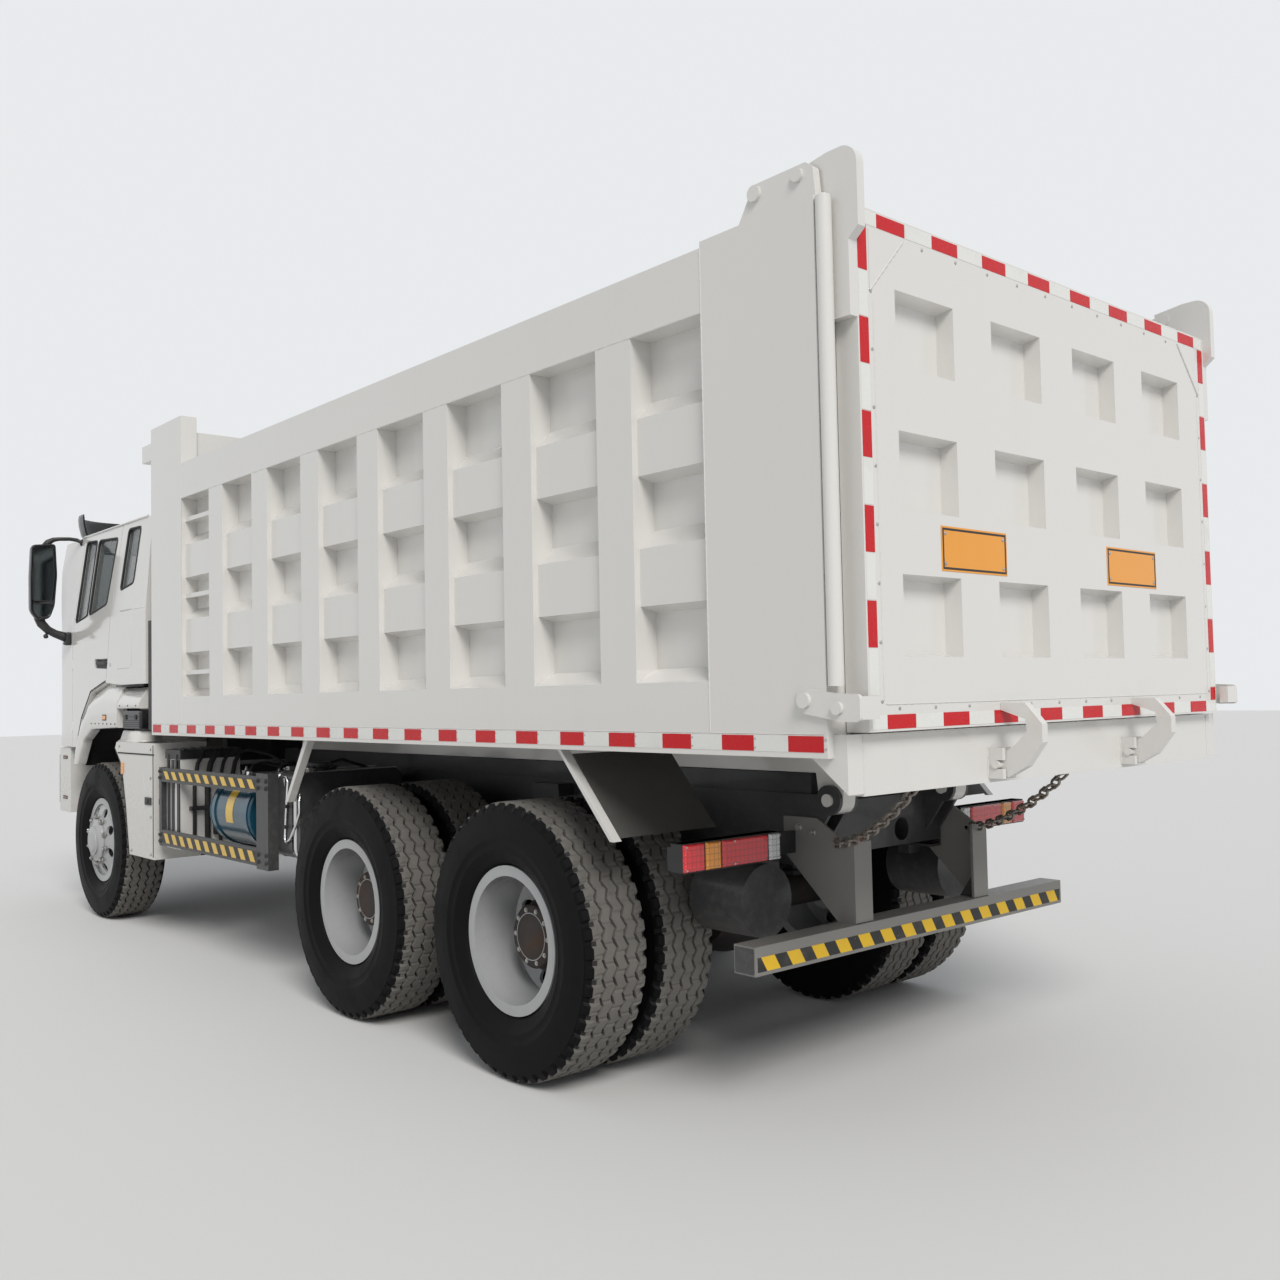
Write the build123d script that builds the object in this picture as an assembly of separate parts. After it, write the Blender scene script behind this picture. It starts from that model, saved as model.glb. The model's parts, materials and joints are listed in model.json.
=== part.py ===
from build123d import *
import math
import os

os.makedirs("parts", exist_ok=True)

# Driving dimensions, in mm. X runs forward, Y to the left, Z up from the ground.

# Wheels and axles
TYRE_RADIUS = 555.0
TYRE_WIDTH = 315.0
TYRE_BEAD_RADIUS = 268.0
TYRE_CROWN_WIDTH = 250.0
TYRE_SHOULDER_DROP = 22.0
RIM_FLANGE_RADIUS = 298.0
RIM_WIDTH = 236.0
RIM_WALL = 12.0
REAR_AXLE_X = -2250.0
TANDEM_SPACING = 1350.0
FRONT_AXLE_X = 2925.0
FRONT_WHEEL_Y = 1040.0
DUAL_MIDDLE_Y = 915.0
DUAL_SPACING = 350.0
HUB_RADIUS = 128.0
HUB_REACH = 190.0
HAND_HOLE_COUNT = 8
HAND_HOLE_RADIUS = 34.0
HAND_HOLE_CIRCLE = 205.0
DISC_FLAT_RADIUS = 150.0
FRONT_DISC_OFFSET = 140.0
KINGPIN_Y = 860.0
KINGPIN_RADIUS = 28.0
SPINDLE_RADIUS = 45.0
TIE_ROD_RADIUS = 17.0
TIE_ROD_Z = 418.0
TIE_EYE_RADIUS = 17.5
TIE_PIN_RADIUS = 11.0
TIE_PIN_CLEARANCE = 0.6
AXLE_TUBE_RADIUS = 78.0
DIFFERENTIAL_RADIUS = 225.0

# Ladder frame
RAIL_OUTER_Y = 425.0
RAIL_FLANGE = 80.0
RAIL_HEIGHT = 280.0
RAIL_TOP_Z = 1130.0
RAIL_WALL = 10.0
RAIL_REAR_X = -3170.0
RAIL_FRONT_X = 3900.0
CROSSMEMBER_WIDTH = 120.0
SUBFRAME_HEIGHT = 80.0
SUBFRAME_WIDTH = 70.0
SUBFRAME_FRONT_X = 1500.0
SPRING_WIDTH = 80.0
TOW_BEAM_Z = 900.0
TOW_BEAM_HEIGHT = 80.0
TOW_PIN_RADIUS = 20.0

# Load bed
BED_HALF_WIDTH = 1250.0
BED_RIB_DEPTH = 100.0
BED_SKIN = 8.0
BED_REAR_X = -3960.0
REAR_COLUMN_LENGTH = 493.0
REAR_COLUMN_TOP_Z = 3030.0
BED_FRONT_X = 1652.0
FRONT_POST_LENGTH = 515.0
FRONT_POST_TOP_Z = 3307.0
FRONT_POST_WIDTH = 100.0
BED_RAIL_BOTTOM_Z = 1330.0
LOWER_BAND_HEIGHT = 240.0
TOP_RAIL_Z = 3009.0
TOP_RAIL_HEIGHT = 219.0
RIB_COUNT = 7
RIB_REAR_X = -3105.0
RIB_PITCH = 602.0
RIB_WIDTH = 195.0
BELT_HEIGHT = 204.0
BELT_TOP_SLOPE = 70.0
BELT_BOTTOM_SLOPE = 20.0
BELT_SETBACK = 27.0
BAND_SLOPE = 50.0
RUNG_THICKNESS = 26.0
RUNG_CENTRES_Z = (1717.0, 2187.0, 2660.0)
BELT_CENTRES_Z = (1941.0, 2403.0)
FLOOR_TOP_Z = 1500.0
FLOOR_THICKNESS = 10.0
CROSSBEAM_COUNT = 14
CROSSBEAM_WIDTH = 80.0
CROSSBEAM_HEIGHT = 140.0
RUNNER_WIDTH = 110.0
RUNNER_Y = 380.0
RUNNER_GAP = 5.0
HEADBOARD_FRONT_X = 1215.0
HEADBOARD_THICKNESS = 50.0
HEADBOARD_TOP_Z = 3174.0
SILL_TOP_Z = 1400.0
SILL_BOTTOM_Z = 1214.0
SILL_REAR_X = -4010.0
SILL_HALF_WIDTH = 1146.0

# Tilt hinge of the bed
TILT_X = -3260.0
TILT_Z = 1110.0
TILT_PIN_RADIUS = 25.0
TILT_EAR_RADIUS = 58.0
TILT_RANGE = 45.0
PIN_CLEARANCE = 0.3

# Tailgate
GATE_REAR_X = -4050.0
GATE_THICKNESS = 85.0
GATE_HALF_WIDTH = 1165.0
GATE_BOTTOM_Z = 1405.0
GATE_TOP_Z = 2995.0
GATE_RECESS = 60.0
GATE_PIN_X = -3893.0
GATE_PIN_RISE = 84.0
GATE_PIN_RADIUS = 22.0
GATE_ARM_THICKNESS = 34.0
ARM_SIDE_CLEARANCE = 8.0
CORNER_TUBE_RADIUS = 25.0
LATCH_FRONT_X = -3858.0
LATCH_REAR_X = -4096.0
LATCH_Z = 1496.0
ARM_TOP_Z = 3168.0
ARM_BOTTOM_Z = 2650.0
ARM_CROWN_RADIUS = 62.0

# Front hoist
HOIST_X = 1750.0
HOIST_BASE_Z = 1000.0
HOIST_EYE_DROP = 164.0
HOIST_BARREL_RADIUS = 95.0
HOIST_WALL = 8.5
HOIST_STAGE_CLEARANCE = 0.5
HOIST_PIN_RADIUS = 28.0

# Cab
CAB_HALF_WIDTH = 1200.0
CAB_REAR_X = 1905.0
CAB_FRONT_X = 4060.0
CAB_CORNER_RADIUS = 350.0
CAB_WALL = 45.0
CAB_SEAM = 8.0
CAB_PIVOT_X = 4030.0
CAB_PIVOT_Z = 1180.0
CAB_PIVOT_RADIUS = 15.0
DOOR_HINGE_X = 3472.0
DOOR_HINGE_INSET = 5.0
DOOR_HINGE_LOWS_Z = (1330.0, 1800.0)
DOOR_HINGE_HEIGHT = 80.0
DOOR_PIN_RADIUS = 5.0
DOOR_PIN_CLEARANCE = 0.8
DOOR_LUG_WALL = 4.5
HANDLE_POCKET = ((2650, 1783), (2960, 1796), (2960, 1862), (2650, 1858))
HANDLE_POCKET_DEPTH = 22.0
SEAT_Y = 600.0
SEAT_TOP_Z = 1900.0
GLASS_THICKNESS = 6.0
GLASS_INSET = 14.0
GLASS_CLEARANCE = 0.3

# Bumper
BUMPER_FRONT_X = 4200.0
BUMPER_HALF_WIDTH = 1190.0
BUMPER_CORNER_RADIUS = 430.0
BUMPER_TOP_Z = 1205.0
BUMPER_BOTTOM_Z = 715.0
BUMPER_WALL = 46.0
BUMPER_WHEEL_GAP = 80.0


# Tailgate hooks and recesses
HOOK_CENTRES_Y = (450.0, -450.0)
HOOK_WIDTH = 34.0
HOOK_PIN_X = SILL_REAR_X - 30
HOOK_PIN_Z = 1275.0
HOOK_PIN_RADIUS = 14.0
RECESS_COLUMNS_Y = ((670, 980), (140, 450), (-390, -80), (-920, -610))
RECESS_ROWS_Z = ((1630, 1885), (2085, 2330), (2530, 2770))

# Cab outlines, as X and Z on the side, Y and Z on the ends
CAB_ARCH = ((3385, 1215), (3262, 1424), (3052, 1612), (2713, 1685), (2400, 1665))
CAB_SIDE = (
    (CAB_REAR_X, 1665), (CAB_REAR_X, 2800), (1990, 2872), (2300, 2885), (3300, 2885), (3640, 2850),
    (3790, 2780), (4030, 2080), (CAB_FRONT_X, 1950), (CAB_FRONT_X, 1215), *CAB_ARCH,
)
CAB_END = (
    (-CAB_HALF_WIDTH, 1200), (-CAB_HALF_WIDTH, 2150), (50 - CAB_HALF_WIDTH, 2790), (-980, 2862), (-500, 2886),
    (500, 2886), (980, 2862), (CAB_HALF_WIDTH - 50, 2790), (CAB_HALF_WIDTH, 2150), (CAB_HALF_WIDTH, 1200),
)
DOOR_OUTLINE = (
    (2487, 2790), (3318, 2790), (3446, 2131), (DOOR_HINGE_X + 6, 1960), (DOOR_HINGE_X + 6, 1200),
    (3412, 1200), (3274, 1428), (3058, 1622), (2713, 1695),
)
DOOR_RELIEF = ((3396, 1190), (3414, 1190), (3332, 1338), (3322, 1330))
DOOR_WINDOW = ((2575, 2710), (2985, 2735), (3092, 2190), (2711, 2249))
QUARTER_WINDOW = ((3030, 2738), (3270, 2752), (3400, 2150), (3138, 2188))
REAR_SIDE_WINDOW = ((2354, 2747), (2110, 2740), (2181, 2359), (2440, 2325))
WINDSCREEN = ((-1010, 2120), (-960, 2740), (960, 2740), (1010, 2120))
REAR_WINDOW = ((-420, 2200), (-420, 2560), (420, 2560), (420, 2200))

# Worked out from the sizes above
RAIL_BOTTOM_Z = RAIL_TOP_Z - RAIL_HEIGHT
RAIL_INNER_Y = RAIL_OUTER_Y - RAIL_FLANGE
SUBFRAME_TOP_Z = RAIL_TOP_Z + SUBFRAME_HEIGHT
TIE_PIN_X = FRONT_AXLE_X - 262
TIE_PIN_Y = KINGPIN_Y
HOIST_EYE_Z = HEADBOARD_TOP_Z - HOIST_EYE_DROP
GATE_PIN_Z = REAR_COLUMN_TOP_Z + GATE_PIN_RISE
BUMPER_END_X = FRONT_AXLE_X + TYRE_RADIUS + BUMPER_WHEEL_GAP
BED_INNER_Y = BED_HALF_WIDTH - BED_RIB_DEPTH
BAND_TOP_Z = BED_RAIL_BOTTOM_Z + LOWER_BAND_HEIGHT
TOP_RAIL_BOTTOM_Z = TOP_RAIL_Z - TOP_RAIL_HEIGHT
COLUMN_FRONT_X = BED_REAR_X + REAR_COLUMN_LENGTH
POST_REAR_X = BED_FRONT_X - FRONT_POST_LENGTH
FLOOR_BOTTOM_Z = FLOOR_TOP_Z - FLOOR_THICKNESS
CROSSBEAM_LOW_Z = FLOOR_BOTTOM_Z - CROSSBEAM_HEIGHT
RUNNER_LOW_Z = SUBFRAME_TOP_Z + RUNNER_GAP


# Basic forms

def block(x0, x1, y0, y1, z0, z1):
    """Block between two corners."""
    middle = Pos((x0 + x1) / 2, (y0 + y1) / 2, (z0 + z1) / 2)
    return middle * Box(x1 - x0, y1 - y0, z1 - z0)


def outline(*points):
    """Flat face with straight sides."""
    return make_face(Polyline(*points, close=True))


def side_plate(face, y0, y1):
    """Face drawn in X and Z, given a width from y0 to y1."""
    return Pos(0, y0, 0) * extrude(Plane.XZ * face, y1 - y0, dir=(0, 1, 0))


def front_plate(face, x0, x1):
    """Face drawn in Y and Z, given a length from x0 to x1."""
    return Pos(x0, 0, 0) * extrude(Plane.YZ * face, x1 - x0, dir=(1, 0, 0))


def plan_plate(face, z0, z1):
    """Face drawn in X and Y, given a height from z0 to z1."""
    return Pos(0, 0, z0) * extrude(face, z1 - z0, dir=(0, 0, 1))


def rod_x(radius, x0, x1, y, z):
    """Round bar along X."""
    return Pos((x0 + x1) / 2, y, z) * Rot(0, 90, 0) * Cylinder(radius, x1 - x0)


def rod_y(radius, x, y0, y1, z):
    """Round bar along Y."""
    return Pos(x, (y0 + y1) / 2, z) * Rot(90, 0, 0) * Cylinder(radius, y1 - y0)


def rod_z(radius, x, y, z0, z1):
    """Round bar along Z."""
    return Pos(x, y, (z0 + z1) / 2) * Cylinder(radius, z1 - z0)


def rod_between(radius, start, end):
    """Round bar from one point to another."""
    path = Line(start, end)
    section = Plane(origin=start, z_dir=path % 0) * Circle(radius)
    return extrude(section, path.length)


def both_sides(piece):
    """A left piece and its mirror image on the right."""
    return [piece, mirror(piece, about=Plane.XZ)]


def save(name, *pieces):
    """Write one node, of one solid or of several that don't touch."""
    solids = [solid for piece in pieces for solid in piece.solids()]
    node = solids[0] if len(solids) == 1 else Compound(children=solids)
    export_step(node, f"parts/{name}.step")


# Wheels

def tyre():
    """Tyre about the Y axis, its middle at the origin."""
    half = TYRE_WIDTH / 2
    bead = RIM_WIDTH / 2 - RIM_WALL
    crown = TYRE_CROWN_WIDTH / 2
    shoulder = TYRE_RADIUS - TYRE_SHOULDER_DROP
    heel = RIM_FLANGE_RADIUS + 2
    belly = (TYRE_RADIUS + RIM_FLANGE_RADIUS) / 2
    wall = Line((TYRE_BEAD_RADIUS, -bead), (TYRE_BEAD_RADIUS, bead))
    wall += Line((TYRE_BEAD_RADIUS, bead), (heel, bead))
    wall += ThreePointArc((heel, bead), (belly, half), (shoulder, half - 12))
    wall += Line((shoulder, half - 12), (TYRE_RADIUS, crown))
    wall += Line((TYRE_RADIUS, crown), (TYRE_RADIUS, -crown))
    wall += Line((TYRE_RADIUS, -crown), (shoulder, 12 - half))
    wall += ThreePointArc((shoulder, 12 - half), (belly, -half), (heel, -bead))
    wall += Line((heel, -bead), (TYRE_BEAD_RADIUS, -bead))
    return revolve(make_face(wall), Axis.Y)


def rim(disc_y):
    """Dished steel rim about the Y axis, with its disc at disc_y from the middle."""
    half = RIM_WIDTH / 2
    seat = TYRE_BEAD_RADIUS - PIN_CLEARANCE
    barrel = outline(
        (seat, -half), (RIM_FLANGE_RADIUS, -half), (RIM_FLANGE_RADIUS, RIM_WALL - half),
        (seat, RIM_WALL - half), (seat, half - RIM_WALL), (RIM_FLANGE_RADIUS, half - RIM_WALL),
        (RIM_FLANGE_RADIUS, half), (seat, half), (seat - RIM_WALL, half), (seat - RIM_WALL, -half),
    )
    foot_y = math.copysign(half - 22, disc_y)
    foot_r = seat - RIM_WALL / 2
    disc = outline(
        (0, disc_y - 8), (0, disc_y + 8), (DISC_FLAT_RADIUS, disc_y + 8),
        (foot_r, foot_y + 8), (foot_r, foot_y - 8), (DISC_FLAT_RADIUS, disc_y - 8),
    )
    wheel = revolve(barrel, Axis.Y) + revolve(disc, Axis.Y)
    hole = rod_y(HAND_HOLE_RADIUS, HAND_HOLE_CIRCLE, foot_y - 80, foot_y + 80, 0)
    for index in range(HAND_HOLE_COUNT):
        wheel -= Rot(0, 360 / HAND_HOLE_COUNT * (index + 0.5), 0) * hole
    return wheel


def dual_rims():
    """Two rims bolted disc to disc on one hub, the outer one on +Y."""
    apart = DUAL_SPACING / 2
    outer = Pos(0, apart, 0) * rim(8 - apart)
    inner = Pos(0, -apart, 0) * rim(apart - 8)
    hub = rod_y(HUB_RADIUS, 0, -HUB_REACH, HUB_REACH * 0.7, 0)
    cap = rod_y(HUB_RADIUS * 0.75, 0, HUB_REACH * 0.7, HUB_REACH, 0)
    bore = rod_y(SPINDLE_RADIUS + PIN_CLEARANCE, 0, -HUB_REACH - 1, 60, 0)
    return outer + inner + hub + cap - bore


def front_rim():
    """Single rim with its disc outboard and a stub hub, the outer side on +Y."""
    wheel = rim(FRONT_DISC_OFFSET)
    hub = rod_y(HUB_RADIUS * 0.8, 0, -60, FRONT_DISC_OFFSET + 46, 0)
    bore = rod_y(SPINDLE_RADIUS + PIN_CLEARANCE, 0, -61, 70, 0)
    return wheel + hub - bore


def build_wheels():
    """Two front wheels and four pairs of rear wheels."""
    side_signs = {"left": 1, "right": -1}
    axle_places = {"middle": REAR_AXLE_X + TANDEM_SPACING, "rear": REAR_AXLE_X}
    single = tyre()
    steer_rim = front_rim()
    pair_rim = dual_rims()
    for side, sign in side_signs.items():
        face_out = Rot(0, 0, 0 if sign > 0 else 180)
        front = Pos(FRONT_AXLE_X, sign * FRONT_WHEEL_Y, TYRE_RADIUS) * face_out
        save(f"tyre_front_{side}", front * single)
        save(f"rim_front_{side}", front * steer_rim)
        for axle, axle_x in axle_places.items():
            hub = Pos(axle_x, sign * DUAL_MIDDLE_Y, TYRE_RADIUS) * face_out
            outer = Pos(0, DUAL_SPACING / 2, 0) * single
            inner = Pos(0, -DUAL_SPACING / 2, 0) * single
            save(f"tyres_{axle}_{side}", hub * outer, hub * inner)
            save(f"rims_{axle}_{side}", hub * pair_rim)


# Chassis


def rail_section():
    """Channel section of the left rail, open towards the middle."""
    return outline(
        (RAIL_INNER_Y, RAIL_BOTTOM_Z), (RAIL_OUTER_Y, RAIL_BOTTOM_Z),
        (RAIL_OUTER_Y, RAIL_TOP_Z), (RAIL_INNER_Y, RAIL_TOP_Z),
        (RAIL_INNER_Y, RAIL_TOP_Z - RAIL_WALL), (RAIL_OUTER_Y - RAIL_WALL, RAIL_TOP_Z - RAIL_WALL),
        (RAIL_OUTER_Y - RAIL_WALL, RAIL_BOTTOM_Z + RAIL_WALL), (RAIL_INNER_Y, RAIL_BOTTOM_Z + RAIL_WALL),
    )


def build_ladder_frame():
    """Two channel rails, their crossmembers and the ears of the tilt hinge."""
    web_y = RAIL_OUTER_Y - RAIL_WALL
    frame = Part()
    for rail in both_sides(front_plate(rail_section(), RAIL_REAR_X, RAIL_FRONT_X)):
        frame += rail
    member_low = RAIL_BOTTOM_Z + 30
    member_high = RAIL_TOP_Z - 40
    for place in (RAIL_REAR_X, -2950, -1635, -360, 900, 3740):
        frame += block(place, place + CROSSMEMBER_WIDTH, -web_y, web_y, member_low, member_high)
    frame += block(
        HOIST_X - CROSSMEMBER_WIDTH / 2, HOIST_X + CROSSMEMBER_WIDTH / 2, -web_y, web_y,
        member_low, HOIST_BASE_Z + 45)
    rear_hole = rod_x(48, RAIL_REAR_X - 1, RAIL_REAR_X + CROSSMEMBER_WIDTH + 1, -150, 945)
    frame -= rear_hole
    hoist_bay = block(HOIST_X - CROSSMEMBER_WIDTH / 2 - 1, HOIST_X + 45, -60, 60, 930, RAIL_TOP_Z)
    frame -= hoist_bay
    frame -= rod_y(HOIST_PIN_RADIUS + PIN_CLEARANCE, HOIST_X, -120, 120, HOIST_BASE_Z)
    ear_face = Pos(TILT_X, TILT_Z) * Circle(TILT_EAR_RADIUS)
    ear_face += outline(
        (TILT_X, TILT_Z + 20), (TILT_X, TILT_Z - TILT_EAR_RADIUS), (RAIL_REAR_X + 40, RAIL_BOTTOM_Z + 20),
        (RAIL_REAR_X + 40, TILT_Z + 20),
    )
    ear_face -= Pos(TILT_X, TILT_Z) * Circle(TILT_PIN_RADIUS + PIN_CLEARANCE)
    for ear_y in (RAIL_INNER_Y - 30, RAIL_OUTER_Y - 18):
        for ear in both_sides(side_plate(ear_face, ear_y, ear_y + 18)):
            frame += ear
    lug_face = outline(
        (RAIL_FRONT_X - 160, RAIL_TOP_Z - 150), (RAIL_FRONT_X, RAIL_TOP_Z - 150),
        (CAB_PIVOT_X + 24, CAB_PIVOT_Z - 12), (CAB_PIVOT_X + 24, CAB_PIVOT_Z + 12),
        (CAB_PIVOT_X + 12, CAB_PIVOT_Z + 22), (CAB_PIVOT_X - 14, CAB_PIVOT_Z + 22),
        (RAIL_FRONT_X - 160, RAIL_TOP_Z),
    )
    lug_face -= Pos(CAB_PIVOT_X, CAB_PIVOT_Z) * Circle(CAB_PIVOT_RADIUS + PIN_CLEARANCE)
    for lug in both_sides(side_plate(lug_face, RAIL_OUTER_Y - 30, RAIL_OUTER_Y)):
        frame += lug
    frame += block(RAIL_FRONT_X - 60, RAIL_FRONT_X + 90, -web_y, web_y, TOW_BEAM_Z, TOW_BEAM_Z + TOW_BEAM_HEIGHT)
    frame -= rod_z(
        TOW_PIN_RADIUS, RAIL_FRONT_X + 40, 0, TOW_BEAM_Z - 20, TOW_BEAM_Z + TOW_BEAM_HEIGHT + 20)
    save("ladder_frame", frame)


def build_subframe():
    """Two beams that the bed rests on."""
    beam = block(
        RAIL_REAR_X, SUBFRAME_FRONT_X, RUNNER_Y - SUBFRAME_WIDTH / 2, RUNNER_Y + SUBFRAME_WIDTH / 2,
        RAIL_TOP_Z, SUBFRAME_TOP_Z,
    )
    save("subframe", *both_sides(beam))


def build_axles():
    """Rear axles with their differentials, and the dropped front beam."""
    spindle_end = DUAL_MIDDLE_Y + 50
    shoulder_end = DUAL_MIDDLE_Y - HUB_REACH - 2
    rear_axles = []
    for place in (REAR_AXLE_X, REAR_AXLE_X + TANDEM_SPACING):
        axle = rod_y(AXLE_TUBE_RADIUS, place, -shoulder_end, shoulder_end, TYRE_RADIUS)
        axle += rod_y(SPINDLE_RADIUS, place, -spindle_end, spindle_end, TYRE_RADIUS)
        bowl = Pos(place, 0, TYRE_RADIUS) * Sphere(DIFFERENTIAL_RADIUS)
        bowl = bowl & block(place - 300, place + 300, -150, 150, 0, 2000)
        nose = rod_x(90, place, place + 300, 0, TYRE_RADIUS + 40)
        if place > REAR_AXLE_X:
            nose += rod_x(70, place - 260, place, 0, TYRE_RADIUS + 40)
        rear_axles.append(axle + bowl + nose)
    save("rear_axles", *rear_axles)
    beam_low = 390
    beam = block(FRONT_AXLE_X - 50, FRONT_AXLE_X + 50, -560, 560, beam_low, beam_low + 110)
    for end in both_sides(block(FRONT_AXLE_X - 45, FRONT_AXLE_X + 45, 540, 780, 420, 560)):
        beam += end
    yoke = block(FRONT_AXLE_X - 45, FRONT_AXLE_X + 45, 770, KINGPIN_Y, 490, 620)
    yoke += rod_z(45, FRONT_AXLE_X, KINGPIN_Y, 490, 620)
    yoke -= rod_z(KINGPIN_RADIUS + PIN_CLEARANCE, FRONT_AXLE_X, KINGPIN_Y, 400, 700)
    for end in both_sides(yoke):
        beam += end
    save("front_axle", beam)


def build_knuckles():
    """Steering knuckles, each a fork with kingpin, spindle and arm, and the tie rod between the arms."""
    arm = 70
    fork = block(FRONT_AXLE_X - arm, FRONT_AXLE_X + arm, KINGPIN_Y - 40, KINGPIN_Y + 66, 625, 665)
    fork += block(FRONT_AXLE_X - arm, FRONT_AXLE_X + arm, KINGPIN_Y - 40, KINGPIN_Y + 66, 445, 485)
    fork += block(FRONT_AXLE_X - arm, FRONT_AXLE_X + arm, KINGPIN_Y + 51, KINGPIN_Y + 76, 445, 665)
    fork += rod_z(KINGPIN_RADIUS, FRONT_AXLE_X, KINGPIN_Y, 445, 665)
    fork += rod_y(SPINDLE_RADIUS, FRONT_AXLE_X, KINGPIN_Y + 60, FRONT_WHEEL_Y + 40, TYRE_RADIUS)
    fork += block(FRONT_AXLE_X - 290, FRONT_AXLE_X - arm, KINGPIN_Y - 28, KINGPIN_Y + 40, 445, 485)
    fork -= rod_z(TIE_PIN_RADIUS + TIE_PIN_CLEARANCE, TIE_PIN_X, TIE_PIN_Y, 440, 490)
    left, right = both_sides(fork)
    tie_rod = rod_y(TIE_ROD_RADIUS, TIE_PIN_X, -TIE_PIN_Y, TIE_PIN_Y, TIE_ROD_Z)
    for end in both_sides(rod_z(TIE_EYE_RADIUS, TIE_PIN_X, TIE_PIN_Y, TIE_ROD_Z - 20, 444)):
        tie_rod += end
    for pin in both_sides(rod_z(TIE_PIN_RADIUS, TIE_PIN_X, TIE_PIN_Y, TIE_ROD_Z, 490)):
        tie_rod += pin
    save("tie_rod", tie_rod)
    save("knuckle_left", left)
    save("knuckle_right", right)


def build_springs():
    """Front leaf packs over the beam and the rear pack between the two driven axles."""
    front = block(
        FRONT_AXLE_X - 720, FRONT_AXLE_X + 720, RAIL_OUTER_Y - 85, RAIL_OUTER_Y - 5, 700, 716)
    for index in range(5):
        reach = 620 - 110 * index
        front += block(
            FRONT_AXLE_X - reach, FRONT_AXLE_X + reach, RAIL_OUTER_Y - 85, RAIL_OUTER_Y - 5,
            684 - 16 * index, 701 - 16 * index)
    front += block(FRONT_AXLE_X - 80, FRONT_AXLE_X + 80, RAIL_OUTER_Y - 85, RAIL_OUTER_Y - 5, 500, 640)
    for end in (-700, 640):
        front += block(
            FRONT_AXLE_X + end, FRONT_AXLE_X + end + 60, RAIL_OUTER_Y - 85, RAIL_OUTER_Y - 5,
            715, RAIL_BOTTOM_Z)
    bogie_x = REAR_AXLE_X + TANDEM_SPACING / 2
    bogie_y = RAIL_OUTER_Y + 50
    rear = Part()
    for index in range(7):
        reach = TANDEM_SPACING / 2 + 60 - 85 * index
        low = TYRE_RADIUS + AXLE_TUBE_RADIUS + 18 * index
        rear += block(bogie_x - reach, bogie_x + reach, bogie_y - 45, bogie_y + 45, low, low + 18.5)
    trunnion_z = TYRE_RADIUS + AXLE_TUBE_RADIUS + 18 * 7
    saddle = outline(
        (bogie_x - 150, trunnion_z), (bogie_x + 150, trunnion_z),
        (bogie_x + 100, RAIL_TOP_Z - 20), (bogie_x - 100, RAIL_TOP_Z - 20),
    )
    rear += side_plate(saddle, RAIL_OUTER_Y, RAIL_OUTER_Y + 90)
    save("leaf_springs", *both_sides(front), *both_sides(rear))


def build_powertrain():
    """Engine block, gearbox and radiator under the cab, and the shafts to the rear axles."""
    engine = block(1960, 3080, -330, 330, 720, 1480)
    engine -= block(1959, 3081, 250, 331, 719, 860)
    engine -= block(1959, 3081, -331, -250, 719, 860)
    bell = Plane(origin=(1960, 0, 850), z_dir=(-1, 0, 0)) * Cone(
        230, 150, 700, align=(Align.CENTER, Align.CENTER, Align.MIN))
    bell &= block(1200, 1961, -230, 230, 660, 880)
    shaft_z = TYRE_RADIUS + 40
    drive = rod_between(45, (1270, 0, 780), (REAR_AXLE_X + TANDEM_SPACING + 306, 0, shaft_z))
    link = rod_x(45, REAR_AXLE_X + 300, REAR_AXLE_X + TANDEM_SPACING - 260, 0, shaft_z)
    radiator = block(3220, 3320, -335, 335, 620, 1180)
    web_y = RAIL_OUTER_Y - RAIL_WALL
    for place in (2050, 2850):
        engine += block(place, place + 90, -web_y, web_y, 900, 960)
    radiator += block(3240, 3300, -web_y, web_y, 880, 920)
    save("powertrain", engine + bell + drive, link, radiator)


def build_tanks():
    """Fuel tank ahead of the rear wheels, side cylinder behind the guard, air tanks at the rear."""
    fuel = block(-300, 60, 560, 1170, 690, 1150)
    fuel = fillet(fuel.edges().filter_by(Axis.X), 60)
    strap = block(-200, -160, RAIL_OUTER_Y, 600, 660, 1060)
    fuel += strap + block(-60, -20, RAIL_OUTER_Y, 600, 660, 1060)
    left = rod_x(200, 262, 828, 1000, 890)
    for place in (300, 750):
        left += rod_x(208, place, place + 40, 1000, 890)
        left += block(place, place + 40, RAIL_OUTER_Y, 990, 1000, 1050)
    air = rod_x(140, -3110, -2830, 620, 735)
    air += block(-3000, -2940, RAIL_OUTER_Y, 560, 800, 900)
    save("fuel_tank", *both_sides(fuel))
    save("side_tank", left)
    save("air_tanks", *both_sides(air))


def build_side_guards():
    """Two rails and two posts on each side, between the mud box and the rear wheels."""
    outer_y = 1230
    guard = block(90, 1565, outer_y - 25, outer_y, 1035, 1120)
    guard += block(90, 1565, outer_y - 25, outer_y, 635, 730)
    guard += block(-40, 110, outer_y - 60, outer_y, 620, 1140)
    guard += block(1540, 1580, outer_y - 60, outer_y, 630, 1125)
    for place in (100, 1545):
        guard += block(place, place + 35, RAIL_OUTER_Y, outer_y - 20, 1060, 1115)
    save("side_guards", *both_sides(guard))


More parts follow.
